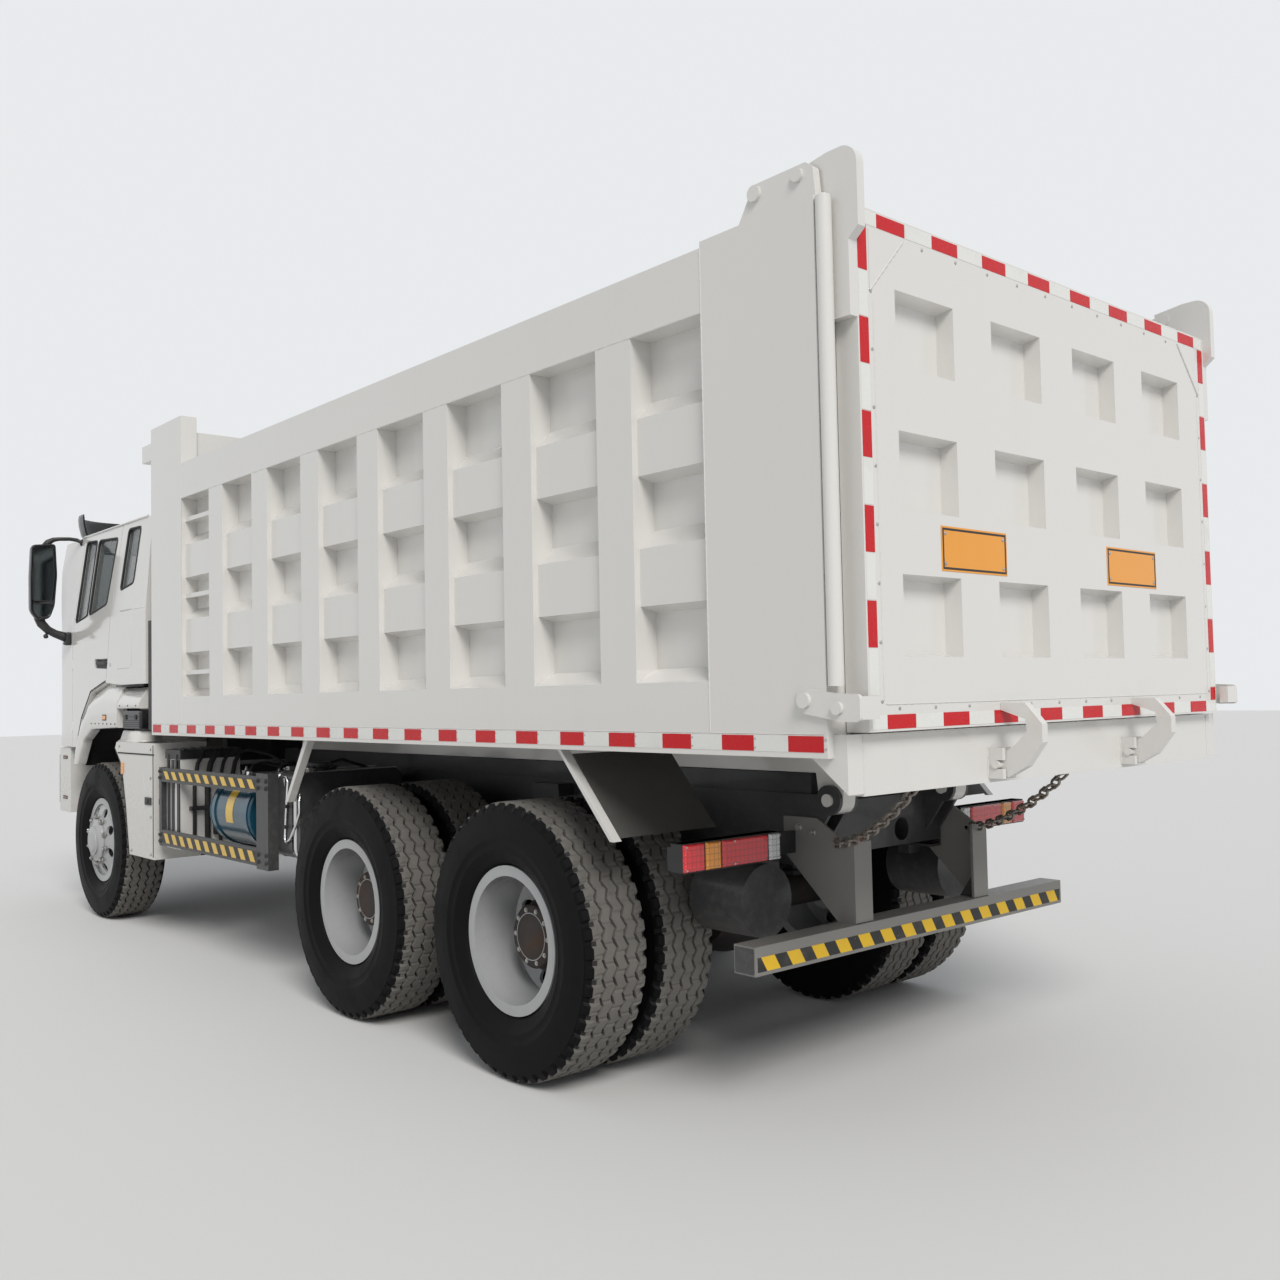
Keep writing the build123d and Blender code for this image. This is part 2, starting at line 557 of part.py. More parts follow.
def build_rear_details():
    """Underrun bar on its hangers, and the tail lamps on their carriers."""
    bar_rear_x = -3400
    bar = block(bar_rear_x, bar_rear_x + 100, -995, 995, 557, 657)
    hanger_face = outline(
        (bar_rear_x + 10, 650), (bar_rear_x + 90, 650), (RAIL_REAR_X + 130, 900), (RAIL_REAR_X + 130, 1040),
        (RAIL_REAR_X - 40, 1040), (bar_rear_x + 60, 960), (bar_rear_x + 10, 960),
    )
    hanger = side_plate(hanger_face, RAIL_OUTER_Y, RAIL_OUTER_Y + 12)
    hanger += block(bar_rear_x + 10, bar_rear_x + 22, RAIL_OUTER_Y - 90, RAIL_OUTER_Y + 12, 650, 960)
    for piece in both_sides(hanger):
        bar += piece
    save("underrun_bar", bar)
    lamp = block(-3160, -3100, 593, 1100, 894, 1000)
    carrier = block(-3100, -3080, RAIL_OUTER_Y + 12, 1100, 900, 985)
    save("tail_lamps", *both_sides(lamp + carrier))


def build_mud_boxes():
    """Flared box behind each front wheel and the battery box behind it."""
    face = outline(
        (2394, 1230), (2260, 1120), (2180, 850), (2113, 530), (1640, 530), (1640, 1275), (2360, 1275),
    )
    box = side_plate(face, 940, 1240)
    rear_box = block(1290, 1530, 820, 1200, 620, 1230)
    bracket = block(1700, 1760, RAIL_OUTER_Y, 945, 960, 1040)
    rear_bracket = block(1420, 1480, RAIL_OUTER_Y, 825, 960, 1040)
    save("mud_boxes", *both_sides(box + bracket), *both_sides(rear_box + rear_bracket))


def corner_plan(front_x, half_width, corner, rear_x):
    """Plan of a blunt nose with rounded front corners."""
    plan = outline((rear_x, -half_width), (front_x, -half_width), (front_x, half_width), (rear_x, half_width))
    corners = [vertex for vertex in plan.vertices() if vertex.X > front_x - 1]
    return fillet(corners, corner)


def build_bumper():
    """Front bumper: an open shell with closed ends behind the steps, and its lamps."""
    plan = corner_plan(BUMPER_FRONT_X, BUMPER_HALF_WIDTH, BUMPER_CORNER_RADIUS, BUMPER_END_X)
    inner = corner_plan(
        BUMPER_FRONT_X - BUMPER_WALL, BUMPER_HALF_WIDTH - BUMPER_WALL, BUMPER_CORNER_RADIUS - BUMPER_WALL,
        BUMPER_END_X - 1)
    shell = plan_plate(plan - inner, BUMPER_BOTTOM_Z, BUMPER_TOP_Z)
    lamp_hole = block(BUMPER_END_X + 100, BUMPER_FRONT_X + 1, 760, 1010, 860, 1050)
    for hole in both_sides(lamp_hole):
        shell -= hole
    end_plate = block(
        BUMPER_END_X, BUMPER_END_X + 12, 1000, BUMPER_HALF_WIDTH - 10, BUMPER_BOTTOM_Z, BUMPER_TOP_Z)
    for plate in both_sides(end_plate):
        shell += plate
    arm = block(
        RAIL_FRONT_X - 100, BUMPER_FRONT_X - BUMPER_WALL + 5, RAIL_OUTER_Y, RAIL_OUTER_Y + 30, 860, 960)
    for piece in both_sides(arm):
        shell += piece
    save("bumper", shell)
    lens_plan = corner_plan(
        BUMPER_FRONT_X - 10, BUMPER_HALF_WIDTH - 10, BUMPER_CORNER_RADIUS - 10, BUMPER_END_X)
    lens_inner = corner_plan(
        BUMPER_FRONT_X - 70, BUMPER_HALF_WIDTH - 70, BUMPER_CORNER_RADIUS - 70, BUMPER_END_X - 1)
    lens = plan_plate(lens_plan - lens_inner, 860 + PIN_CLEARANCE, 1050 - PIN_CLEARANCE)
    lens &= block(BUMPER_END_X + 101, BUMPER_FRONT_X, 760 + PIN_CLEARANCE, 1010 - PIN_CLEARANCE, 0, 2000)
    save("headlamps", *both_sides(lens))


def build_air_intake():
    """Upright air intake between the cab and the bed."""
    duct = block(1815, 1885, 1060, 1190, 1480, 2080)
    duct += block(1760, 1885, 640, 1190, 1360, 1480)
    duct += block(1780, 1860, RAIL_OUTER_Y - 40, 700, RAIL_TOP_Z, 1480)
    save("air_intake", duct)


# Load bed


def belt_section(centre_z):
    """Pressed horizontal rib: a trapezoid standing out from the skin."""
    low = centre_z - BELT_HEIGHT / 2
    high = centre_z + BELT_HEIGHT / 2
    face_y = BED_HALF_WIDTH - BELT_SETBACK
    return outline(
        (BED_INNER_Y - 1, low - BELT_BOTTOM_SLOPE), (face_y, low), (face_y, high),
        (BED_INNER_Y - 1, high + BELT_TOP_SLOPE),
    )


def build_bed_sides():
    """Skin, bands, upright ribs and pressed belts of each side wall, with column and post."""
    skin_y = BED_INNER_Y - BED_SKIN
    wall = block(BED_REAR_X, BED_FRONT_X, skin_y, BED_INNER_Y, BED_RAIL_BOTTOM_Z, TOP_RAIL_Z)
    band = outline(
        (BED_INNER_Y - 1, BED_RAIL_BOTTOM_Z), (BED_HALF_WIDTH, BED_RAIL_BOTTOM_Z),
        (BED_HALF_WIDTH, BAND_TOP_Z), (BED_INNER_Y - 1, BAND_TOP_Z + BAND_SLOPE),
    )
    wall += front_plate(band, COLUMN_FRONT_X - 1, POST_REAR_X + 1)
    wall += block(
        COLUMN_FRONT_X - 1, POST_REAR_X + 1, BED_INNER_Y - 1, BED_HALF_WIDTH, TOP_RAIL_BOTTOM_Z, TOP_RAIL_Z)
    for index in range(RIB_COUNT):
        rib_x = RIB_REAR_X + RIB_PITCH * index
        wall += block(
            rib_x, rib_x + RIB_WIDTH, BED_INNER_Y - 1, BED_HALF_WIDTH, BAND_TOP_Z - 1, TOP_RAIL_BOTTOM_Z + 1)
    for centre_z in BELT_CENTRES_Z:
        wall += front_plate(belt_section(centre_z), COLUMN_FRONT_X - 1, POST_REAR_X + 1)
    last_rib_front_x = RIB_REAR_X + RIB_PITCH * (RIB_COUNT - 1) + RIB_WIDTH
    for rung_z in RUNG_CENTRES_Z:
        wall += block(
            last_rib_front_x - 1, POST_REAR_X + 1, BED_INNER_Y - 1, BED_HALF_WIDTH - BELT_SETBACK,
            rung_z - RUNG_THICKNESS / 2, rung_z + RUNG_THICKNESS / 2)
    wall += block(
        BED_REAR_X, COLUMN_FRONT_X, BED_INNER_Y - 1, BED_HALF_WIDTH, BED_RAIL_BOTTOM_Z, REAR_COLUMN_TOP_Z)
    wall += block(
        POST_REAR_X, BED_FRONT_X, BED_HALF_WIDTH - FRONT_POST_WIDTH, BED_HALF_WIDTH,
        BED_RAIL_BOTTOM_Z, FRONT_POST_TOP_Z)
    save("bed_sides", *both_sides(wall))


def build_bed_floor():
    """Floor plate on its crossbeams and two long runners, with the ears of the tilt hinge."""
    skin_y = BED_INNER_Y - BED_SKIN
    floor_front_x = HEADBOARD_FRONT_X - HEADBOARD_THICKNESS
    floor = block(BED_REAR_X, floor_front_x, -skin_y, skin_y, FLOOR_BOTTOM_Z, FLOOR_TOP_Z)
    pitch = (HEADBOARD_FRONT_X - BED_REAR_X - CROSSBEAM_WIDTH - 40) / (CROSSBEAM_COUNT - 1)
    for index in range(CROSSBEAM_COUNT):
        beam_x = BED_REAR_X + 20 + pitch * index
        floor += block(
            beam_x, beam_x + CROSSBEAM_WIDTH, -skin_y, skin_y, CROSSBEAM_LOW_Z, FLOOR_BOTTOM_Z)
    ear_face = Pos(TILT_X, TILT_Z) * Circle(TILT_EAR_RADIUS)
    ear_face += outline(
        (TILT_X - TILT_EAR_RADIUS, TILT_Z), (TILT_X + TILT_EAR_RADIUS, TILT_Z),
        (TILT_X + 76, RUNNER_LOW_Z + 20), (TILT_X - 76, RUNNER_LOW_Z + 20),
    )
    inner_y = RAIL_INNER_Y - 12 + PIN_CLEARANCE
    outer_y = RAIL_OUTER_Y - 18 - PIN_CLEARANCE
    for side in both_sides(block(
            BED_REAR_X, HEADBOARD_FRONT_X - 20, RUNNER_Y - RUNNER_WIDTH / 2, RUNNER_Y + RUNNER_WIDTH / 2,
            RUNNER_LOW_Z, CROSSBEAM_LOW_Z + 1)):
        floor += side
    for ear in both_sides(side_plate(ear_face, inner_y, outer_y)):
        floor += ear
    pin = rod_y(TILT_PIN_RADIUS, TILT_X, RAIL_INNER_Y - 40, RAIL_OUTER_Y + 10, TILT_Z)
    for side in both_sides(pin):
        floor += side
    save("bed_floor", floor)


def build_headboard():
    """Front wall, its ribs, and the crossbeam that carries the hoist's upper pin."""
    skin_y = BED_INNER_Y - BED_SKIN
    board = block(
        HEADBOARD_FRONT_X - HEADBOARD_THICKNESS, HEADBOARD_FRONT_X, -skin_y, skin_y,
        FLOOR_BOTTOM_Z, HEADBOARD_TOP_Z)
    beam_high = HEADBOARD_TOP_Z + 45
    beam_low = HEADBOARD_TOP_Z - 65
    beam = block(BED_FRONT_X, BED_FRONT_X + 163, -BED_HALF_WIDTH, BED_HALF_WIDTH, beam_low, beam_high)
    deck = block(HEADBOARD_FRONT_X - 1, BED_FRONT_X + 1, -skin_y, skin_y, beam_high - 14, beam_high)
    board += beam + deck
    board += block(
        HEADBOARD_FRONT_X - HEADBOARD_THICKNESS, HEADBOARD_FRONT_X, -skin_y, skin_y,
        HEADBOARD_TOP_Z - 1, beam_high)
    for rib_y in (-700, -330, 330, 700):
        board += block(
            HEADBOARD_FRONT_X - 1, HEADBOARD_FRONT_X + 60, rib_y - 40, rib_y + 40, FLOOR_TOP_Z, beam_high)
    seat = HOIST_PIN_RADIUS + PIN_CLEARANCE
    ear_face = outline(
        (HOIST_X - 62, HOIST_EYE_Z), (HOIST_X - seat, HOIST_EYE_Z), (HOIST_X, HOIST_EYE_Z),
        (HOIST_X, HOIST_EYE_Z + seat), (HOIST_X, beam_low + 1), (HOIST_X - 62, beam_low + 1),
    )
    ear_face -= Pos(HOIST_X, HOIST_EYE_Z) * Circle(seat)
    for ear in both_sides(side_plate(ear_face, 50, 80)):
        board += ear
    save("headboard", board)


def build_bed_rear():
    """Rear sill with its gussets, corner tubes, gate brackets with pins, and hook brackets."""
    face = outline(
        (BED_REAR_X, SILL_BOTTOM_Z), (SILL_REAR_X, SILL_BOTTOM_Z), (SILL_REAR_X, SILL_TOP_Z),
        (BED_REAR_X, SILL_TOP_Z),
    )
    sill = side_plate(face, -SILL_HALF_WIDTH, SILL_HALF_WIDTH)
    gusset = outline(
        (BED_REAR_X + 90, BED_RAIL_BOTTOM_Z), (SILL_REAR_X, SILL_BOTTOM_Z + 8), (SILL_REAR_X, SILL_TOP_Z),
        (BED_REAR_X, SILL_TOP_Z), (BED_REAR_X, BED_RAIL_BOTTOM_Z),
    )
    for piece in both_sides(side_plate(gusset, SILL_HALF_WIDTH - 1, BED_HALF_WIDTH - 30)):
        sill += piece
    for hook_y in HOOK_CENTRES_Y:
        for cheek_y in (hook_y - HOOK_WIDTH / 2 - 22, hook_y + HOOK_WIDTH / 2 + 4):
            cheek = block(SILL_REAR_X - 55, SILL_REAR_X + 1, cheek_y, cheek_y + 18, 1228, 1330)
            cheek -= block(
                HOOK_PIN_X - 60, HOOK_PIN_X, cheek_y - 1, cheek_y + 19,
                HOOK_PIN_Z - HOOK_PIN_RADIUS - PIN_CLEARANCE, HOOK_PIN_Z + HOOK_PIN_RADIUS + PIN_CLEARANCE)
            cheek -= rod_y(HOOK_PIN_RADIUS + PIN_CLEARANCE, HOOK_PIN_X, cheek_y - 1, cheek_y + 19, HOOK_PIN_Z)
            sill += cheek
    save("rear_sill", sill)
    inner_y = GATE_HALF_WIDTH + GATE_ARM_THICKNESS + ARM_SIDE_CLEARANCE
    tube = rod_z(
        CORNER_TUBE_RADIUS, BED_REAR_X - CORNER_TUBE_RADIUS, inner_y + CORNER_TUBE_RADIUS,
        1545, REAR_COLUMN_TOP_Z - 10)
    foot_x = BED_REAR_X + 327
    plate_face = outline(
        (foot_x, REAR_COLUMN_TOP_Z), (foot_x - 72, GATE_PIN_Z + 32), (GATE_PIN_X - 30, GATE_PIN_Z + 32),
        (GATE_PIN_X - 58, GATE_PIN_Z + 10), (BED_REAR_X, REAR_COLUMN_TOP_Z),
    )
    plate_face = fillet([vertex for vertex in plate_face.vertices() if vertex.Y > GATE_PIN_Z], 18)
    plate = side_plate(plate_face, inner_y, inner_y + 30)
    plate += rod_y(GATE_PIN_RADIUS, GATE_PIN_X, GATE_HALF_WIDTH - 4, inner_y + 42, GATE_PIN_Z)
    plate += rod_y(26, GATE_PIN_X + 180, inner_y + 20, inner_y + 42, GATE_PIN_Z)
    save("gate_brackets", *both_sides(plate))
    latch_face = outline(
        (LATCH_FRONT_X, LATCH_Z + 48), (LATCH_FRONT_X, LATCH_Z - 28), (LATCH_REAR_X + 70, LATCH_Z - 56),
        (LATCH_REAR_X, LATCH_Z - 56), (LATCH_REAR_X, LATCH_Z + 24), (LATCH_REAR_X + 90, LATCH_Z + 28),
    )
    latch_face = fillet(latch_face.vertices(), 14)
    latch = side_plate(latch_face, BED_HALF_WIDTH, BED_HALF_WIDTH + 14)
    latch += rod_y(24, LATCH_FRONT_X - 32, BED_HALF_WIDTH, BED_HALF_WIDTH + 28, LATCH_Z + 8)
    latch += rod_y(20, LATCH_REAR_X + 80, BED_HALF_WIDTH, BED_HALF_WIDTH + 26, LATCH_Z - 16)
    latch += block(
        LATCH_REAR_X, LATCH_REAR_X + 34, GATE_HALF_WIDTH + 7, BED_HALF_WIDTH + 1, LATCH_Z - 50, LATCH_Z + 18)
    save("corner_latches", *both_sides(latch))
    save("corner_tubes", *both_sides(tube))


def build_mud_flaps():
    """Struts that hang from the bed rail, with the rear flap sheets."""
    flap_y = 1220.0
    strut_width = 40.0
    strut_foot_z = 1000.0
    rail_z = BED_RAIL_BOTTOM_Z
    rear_face = outline((-2620, rail_z), (-2600, rail_z), (-2905, strut_foot_z), (-2925, strut_foot_z))
    front_face = outline((-500, rail_z), (-460, rail_z), (-230, strut_foot_z), (-260, strut_foot_z))
    flap_face = outline((-2650, rail_z - 20), (-2640, rail_z - 20), (-2905, 1010), (-2915, 1010))
    rear = side_plate(rear_face, flap_y - strut_width, flap_y)
    front = side_plate(front_face, flap_y - strut_width, flap_y)
    save("flap_struts", *both_sides(rear), *both_sides(front))
    save("mud_flaps", *both_sides(side_plate(flap_face, 690, flap_y - strut_width)))


# Tailgate


def build_gate():
    """Tailgate panel with its rows of recessed cells and two hanging arms."""
    gate = block(
        GATE_REAR_X, GATE_REAR_X + GATE_THICKNESS, -GATE_HALF_WIDTH, GATE_HALF_WIDTH,
        GATE_BOTTOM_Z, GATE_TOP_Z)
    for y0, y1 in RECESS_COLUMNS_Y:
        for z0, z1 in RECESS_ROWS_Z:
            mouth = Plane(origin=(GATE_REAR_X - 1, 0, 0), x_dir=(0, 1, 0), z_dir=(1, 0, 0))
            bottom = Plane(origin=(GATE_REAR_X + GATE_RECESS, 0, 0), x_dir=(0, 1, 0), z_dir=(1, 0, 0))
            wide = mouth * Pos((y0 + y1) / 2, (z0 + z1) / 2) * Rectangle(y1 - y0, z1 - z0)
            narrow = bottom * Pos((y0 + y1) / 2, (z0 + z1) / 2) * Rectangle(y1 - y0 - 20, z1 - z0 - 30)
            gate -= loft([wide, narrow])
    save("tailgate", gate)
    plate_rear_x = GATE_REAR_X - 38
    plate_front_x = BED_REAR_X - 15
    arm_face = outline(
        (GATE_PIN_X + 43, GATE_PIN_Z - 24), (GATE_PIN_X + 43, GATE_PIN_Z + 36), (plate_front_x, ARM_TOP_Z),
        (plate_rear_x, ARM_TOP_Z), (plate_rear_x, 2912), (GATE_REAR_X, 2880), (GATE_REAR_X, ARM_BOTTOM_Z),
        (plate_front_x, ARM_BOTTOM_Z), (plate_front_x, REAR_COLUMN_TOP_Z + 10),
        (plate_front_x + 30, REAR_COLUMN_TOP_Z + 34),
    )
    crown = [vertex for vertex in arm_face.vertices() if vertex.Y > ARM_TOP_Z - 1]
    arm_face = fillet(crown, ARM_CROWN_RADIUS)
    arm_face -= Pos(GATE_PIN_X, GATE_PIN_Z) * Circle(GATE_PIN_RADIUS + PIN_CLEARANCE)
    arm = side_plate(arm_face, GATE_HALF_WIDTH, GATE_HALF_WIDTH + GATE_ARM_THICKNESS)
    save("gate_arms", *both_sides(arm))


def build_hooks():
    """Two clasp hooks whose tips press on the lower edge of the gate."""
    hook_face = outline(
        (HOOK_PIN_X + 14, HOOK_PIN_Z - 14), (HOOK_PIN_X + 14, HOOK_PIN_Z + 20),
        (HOOK_PIN_X - 60, HOOK_PIN_Z + 66), (HOOK_PIN_X - 105, HOOK_PIN_Z + 110),
        (HOOK_PIN_X - 100, 1425), (GATE_REAR_X - 1, 1455), (GATE_REAR_X - 1, 1479),
        (GATE_REAR_X - 90, 1479), (-4200, 1410), (-4200, 1350), (-4140, 1270), (HOOK_PIN_X - 30, 1232),
    )
    hooks = []
    for hook_y in HOOK_CENTRES_Y:
        hook = side_plate(hook_face, hook_y - HOOK_WIDTH / 2, hook_y + HOOK_WIDTH / 2)
        pin = rod_y(HOOK_PIN_RADIUS, HOOK_PIN_X, hook_y - HOOK_WIDTH / 2 - 28, hook_y + HOOK_WIDTH / 2 + 28, HOOK_PIN_Z)
        hooks.append(hook + pin)
    save("gate_hooks", *hooks)


# Front hoist

def build_hoist():
    """Telescopic cylinder: barrel, two stages and the rod with its eye and pin."""
    bottom = HOIST_BASE_Z + 85
    top = HOIST_EYE_Z - 75
    radii = []
    radius = HOIST_BARREL_RADIUS
    for _ in range(4):
        radii.append(radius)
        radius -= HOIST_WALL + HOIST_STAGE_CLEARANCE
    foot = block(HOIST_X - 40, HOIST_X + 40, -55, 55, HOIST_BASE_Z - 5, bottom + 15)
    foot += rod_y(40, HOIST_X, -55, 55, HOIST_BASE_Z)
    barrel = rod_z(radii[0], HOIST_X, 0, bottom, top)
    barrel -= rod_z(radii[0] - HOIST_WALL, HOIST_X, 0, bottom + 15, top + 1)
    barrel += foot
    barrel += rod_y(HOIST_PIN_RADIUS, HOIST_X, -90, 90, HOIST_BASE_Z)
    save("hoist_barrel", barrel)
    for index in (1, 2):
        stage = rod_z(radii[index], HOIST_X, 0, bottom + 16 + 5 * index, top + 6 * index)
        stage -= rod_z(radii[index] - HOIST_WALL, HOIST_X, 0, bottom + 18 + 5 * index, top + 40)
        save(f"hoist_stage_{index}", stage)
    rod = rod_z(radii[3], HOIST_X, 0, bottom + 34, top + 22)
    rod += block(HOIST_X - 34, HOIST_X + 34, -40, 40, top + 20, HOIST_EYE_Z)
    rod += rod_y(40, HOIST_X, -45, 45, HOIST_EYE_Z)
    rod += rod_y(HOIST_PIN_RADIUS, HOIST_X, -90, 90, HOIST_EYE_Z)
    save("hoist_rod", rod)


# Cab


def grown(points, amount):
    """Outline moved out, or in where the amount is below nothing."""
    return offset(outline(*points), amount, kind=Kind.INTERSECTION)


def cab_form(inset):
    """Cab body as a solid, its skin moved in by the inset."""
    side = side_plate(grown(CAB_SIDE, -inset), -CAB_HALF_WIDTH - 50, CAB_HALF_WIDTH + 50)
    end = front_plate(grown(CAB_END, -inset), CAB_REAR_X - 50, CAB_FRONT_X + 50)
    plan = corner_plan(
        CAB_FRONT_X - inset, CAB_HALF_WIDTH - inset, CAB_CORNER_RADIUS - inset, CAB_REAR_X - 10 + inset)
    return side & end & plan_plate(plan, 1000, 3000)


def side_prism(points, amount=0.0):
    """Outline on the cab's left side, deep enough to cut through its wall."""
    return side_plate(grown(points, amount), CAB_HALF_WIDTH - 210, CAB_HALF_WIDTH + 60)


def build_cab():
    """Hollow shell with door and window openings, doors, and the panes that fill them."""
    outer = cab_form(0)
    shell = outer - cab_form(CAB_WALL)
    pane = cab_form(GLASS_INSET) - cab_form(GLASS_INSET + GLASS_THICKNESS)
    windscreen = front_plate(outline(*WINDSCREEN), 3500, CAB_FRONT_X + 60)
    windscreen_pane = front_plate(grown(WINDSCREEN, -GLASS_CLEARANCE), 3500, CAB_FRONT_X + 60)
    rear_window = front_plate(outline(*REAR_WINDOW), CAB_REAR_X - 20, CAB_REAR_X + 100)
    rear_pane = front_plate(grown(REAR_WINDOW, -GLASS_CLEARANCE), CAB_REAR_X - 20, CAB_REAR_X + 100)
    room = front_plate(grown(CAB_END, -CAB_WALL), CAB_REAR_X - 60, CAB_FRONT_X + 60)
    wide_room = front_plate(grown(CAB_END, -CAB_WALL - 6), CAB_REAR_X - 60, CAB_FRONT_X + 60)
    room += Pos(0, 0, -2 * CAB_WALL) * room
    wide_room += Pos(0, 0, -2 * CAB_WALL) * wide_room
    left_door = (outer & side_prism(DOOR_OUTLINE)) - room
    door_hinge_y = CAB_HALF_WIDTH - DOOR_HINGE_INSET
    hinge_lugs = Part()
    for low in DOOR_HINGE_LOWS_Z:
        high = low + DOOR_HINGE_HEIGHT
        left_door -= block(
            DOOR_HINGE_X - 13, DOOR_HINGE_X + 20, door_hinge_y - 13, CAB_HALF_WIDTH + 1, low, high)
        left_door += rod_z(DOOR_PIN_RADIUS, DOOR_HINGE_X, door_hinge_y, low - 5, high + 5)
        lug = rod_z(DOOR_PIN_RADIUS + DOOR_LUG_WALL, DOOR_HINGE_X, door_hinge_y, low + 6, high - 6)
        lug += block(DOOR_HINGE_X, DOOR_HINGE_X + 40, door_hinge_y - 9, CAB_HALF_WIDTH, low + 6, high - 6)
        lug -= rod_z(DOOR_PIN_RADIUS + DOOR_PIN_CLEARANCE, DOOR_HINGE_X, door_hinge_y, low, high)
        hinge_lugs += lug
    pocket_face = grown(HANDLE_POCKET, 0)
    pocket_face = fillet(pocket_face.vertices(), 20)
    left_door -= side_plate(pocket_face, CAB_HALF_WIDTH - HANDLE_POCKET_DEPTH, CAB_HALF_WIDTH + 1)
    left_pane = Part()
    for window in (DOOR_WINDOW, QUARTER_WINDOW):
        left_door -= side_prism(window)
        left_pane += pane & side_prism(window, -GLASS_CLEARANCE)
    body = shell
    glass = (pane & windscreen_pane) + (pane & rear_pane)
    for cut in both_sides(side_prism(DOOR_OUTLINE, CAB_SEAM) - wide_room):
        body -= cut
    for cut in both_sides(side_prism(REAR_SIDE_WINDOW)):
        body -= cut
    for piece in both_sides(pane & side_prism(REAR_SIDE_WINDOW, -GLASS_CLEARANCE)):
        glass += piece
    for cut in both_sides(side_prism(DOOR_RELIEF)):
        body -= cut
    body -= windscreen
    body -= rear_window
    for lugs in both_sides(hinge_lugs):
        body += lugs
    lug_face = outline(
        (CAB_PIVOT_X - 120, 1216), (CAB_PIVOT_X + 22, 1216), (CAB_PIVOT_X + 22, CAB_PIVOT_Z),
        (CAB_PIVOT_X + 15, CAB_PIVOT_Z - 20), (CAB_PIVOT_X - 15, CAB_PIVOT_Z - 20),
    )
    for lug in both_sides(side_plate(lug_face, RAIL_OUTER_Y + PIN_CLEARANCE, RAIL_OUTER_Y + 25)):
        body += lug
    for pin in both_sides(rod_y(CAB_PIVOT_RADIUS, CAB_PIVOT_X, RAIL_OUTER_Y - 36, RAIL_OUTER_Y + 25, CAB_PIVOT_Z)):
        body += pin
    save("cab_shell", body)
    save("cab_glass", glass)
    names = ("left", "right")
    for name, door, door_pane in zip(names, both_sides(left_door), both_sides(left_pane)):
        save(f"door_{name}", door)
        save(f"door_glass_{name}", door_pane)


def build_cab_fenders():
    """Arches over the front wheels, carried by the cab."""
    skirt = ((3400, 1092), *CAB_ARCH)
    face = outline(*skirt, (2400, 1368), (2968, 1352), (3150, 1270), (3253, 1149), (3296, 1092))
    inner_edge = [(x - 16, z - 14) for x, z in skirt[1:]]
    liner = outline(*skirt, *reversed(inner_edge), (3384, 1092))
    arch = side_plate(face, 1150, 1225)
    arch += side_plate(liner, 780, 1151)
    rear_cover = block(1960, 2401, 1140, 1225, 1500, 1640)
    save("cab_fenders", *both_sides(arch + rear_cover))


def build_cab_trim():
    """Sun visor, front grille slats and the dark lower corner pieces."""
    tip_x = CAB_FRONT_X - 155
    visor_side = outline(
        (tip_x - 405, 2790), (tip_x - 405, 2830), (tip_x - 25, 3000), (tip_x, 2992), (tip_x - 45, 2790))
    half = CAB_HALF_WIDTH - 80
    plan = corner_plan(tip_x, half, CAB_CORNER_RADIUS - 20, tip_x - 605)
    inner = corner_plan(tip_x - 8, half - 8, CAB_CORNER_RADIUS - 28, tip_x - 606)
    visor = plan_plate(plan - inner, 2700, 3100) & side_plate(visor_side, -half - 1, half + 1)
    save("sun_visor", visor - cab_form(0))
    grille = Part()
    for index in range(6):
        slat_z = 1330 + 95 * index
        grille += block(CAB_FRONT_X + 0.3, CAB_FRONT_X + 26, -640, 640, slat_z, slat_z + 50)
    grille += block(CAB_FRONT_X + 0.3, CAB_FRONT_X + 12, -680, 680, 1300, 1900)
    save("grille", grille)


def build_mirrors():
    """Mirror heads on two arms each, from the pillar's top and the corner panel."""
    head = block(3505, 3615, 1310, 1490, 2230, 2750)
    head = fillet(head.edges().filter_by(Axis.Z), 30)
    head = fillet(head.edges().filter_by(Axis.X), 24)
    upper = rod_between(16, (3400, 1160, 2760), (3540, 1250, 2800)) + rod_between(
        16, (3540, 1250, 2800), (3560, 1400, 2735))
    lower = rod_between(16, (3540, 1180, 2050), (3560, 1400, 2250))
    base = block(3500, 3580, 1201, 1240, 1985, 2090)
    save("mirrors", *both_sides(head + upper + lower + base - cab_form(0)))


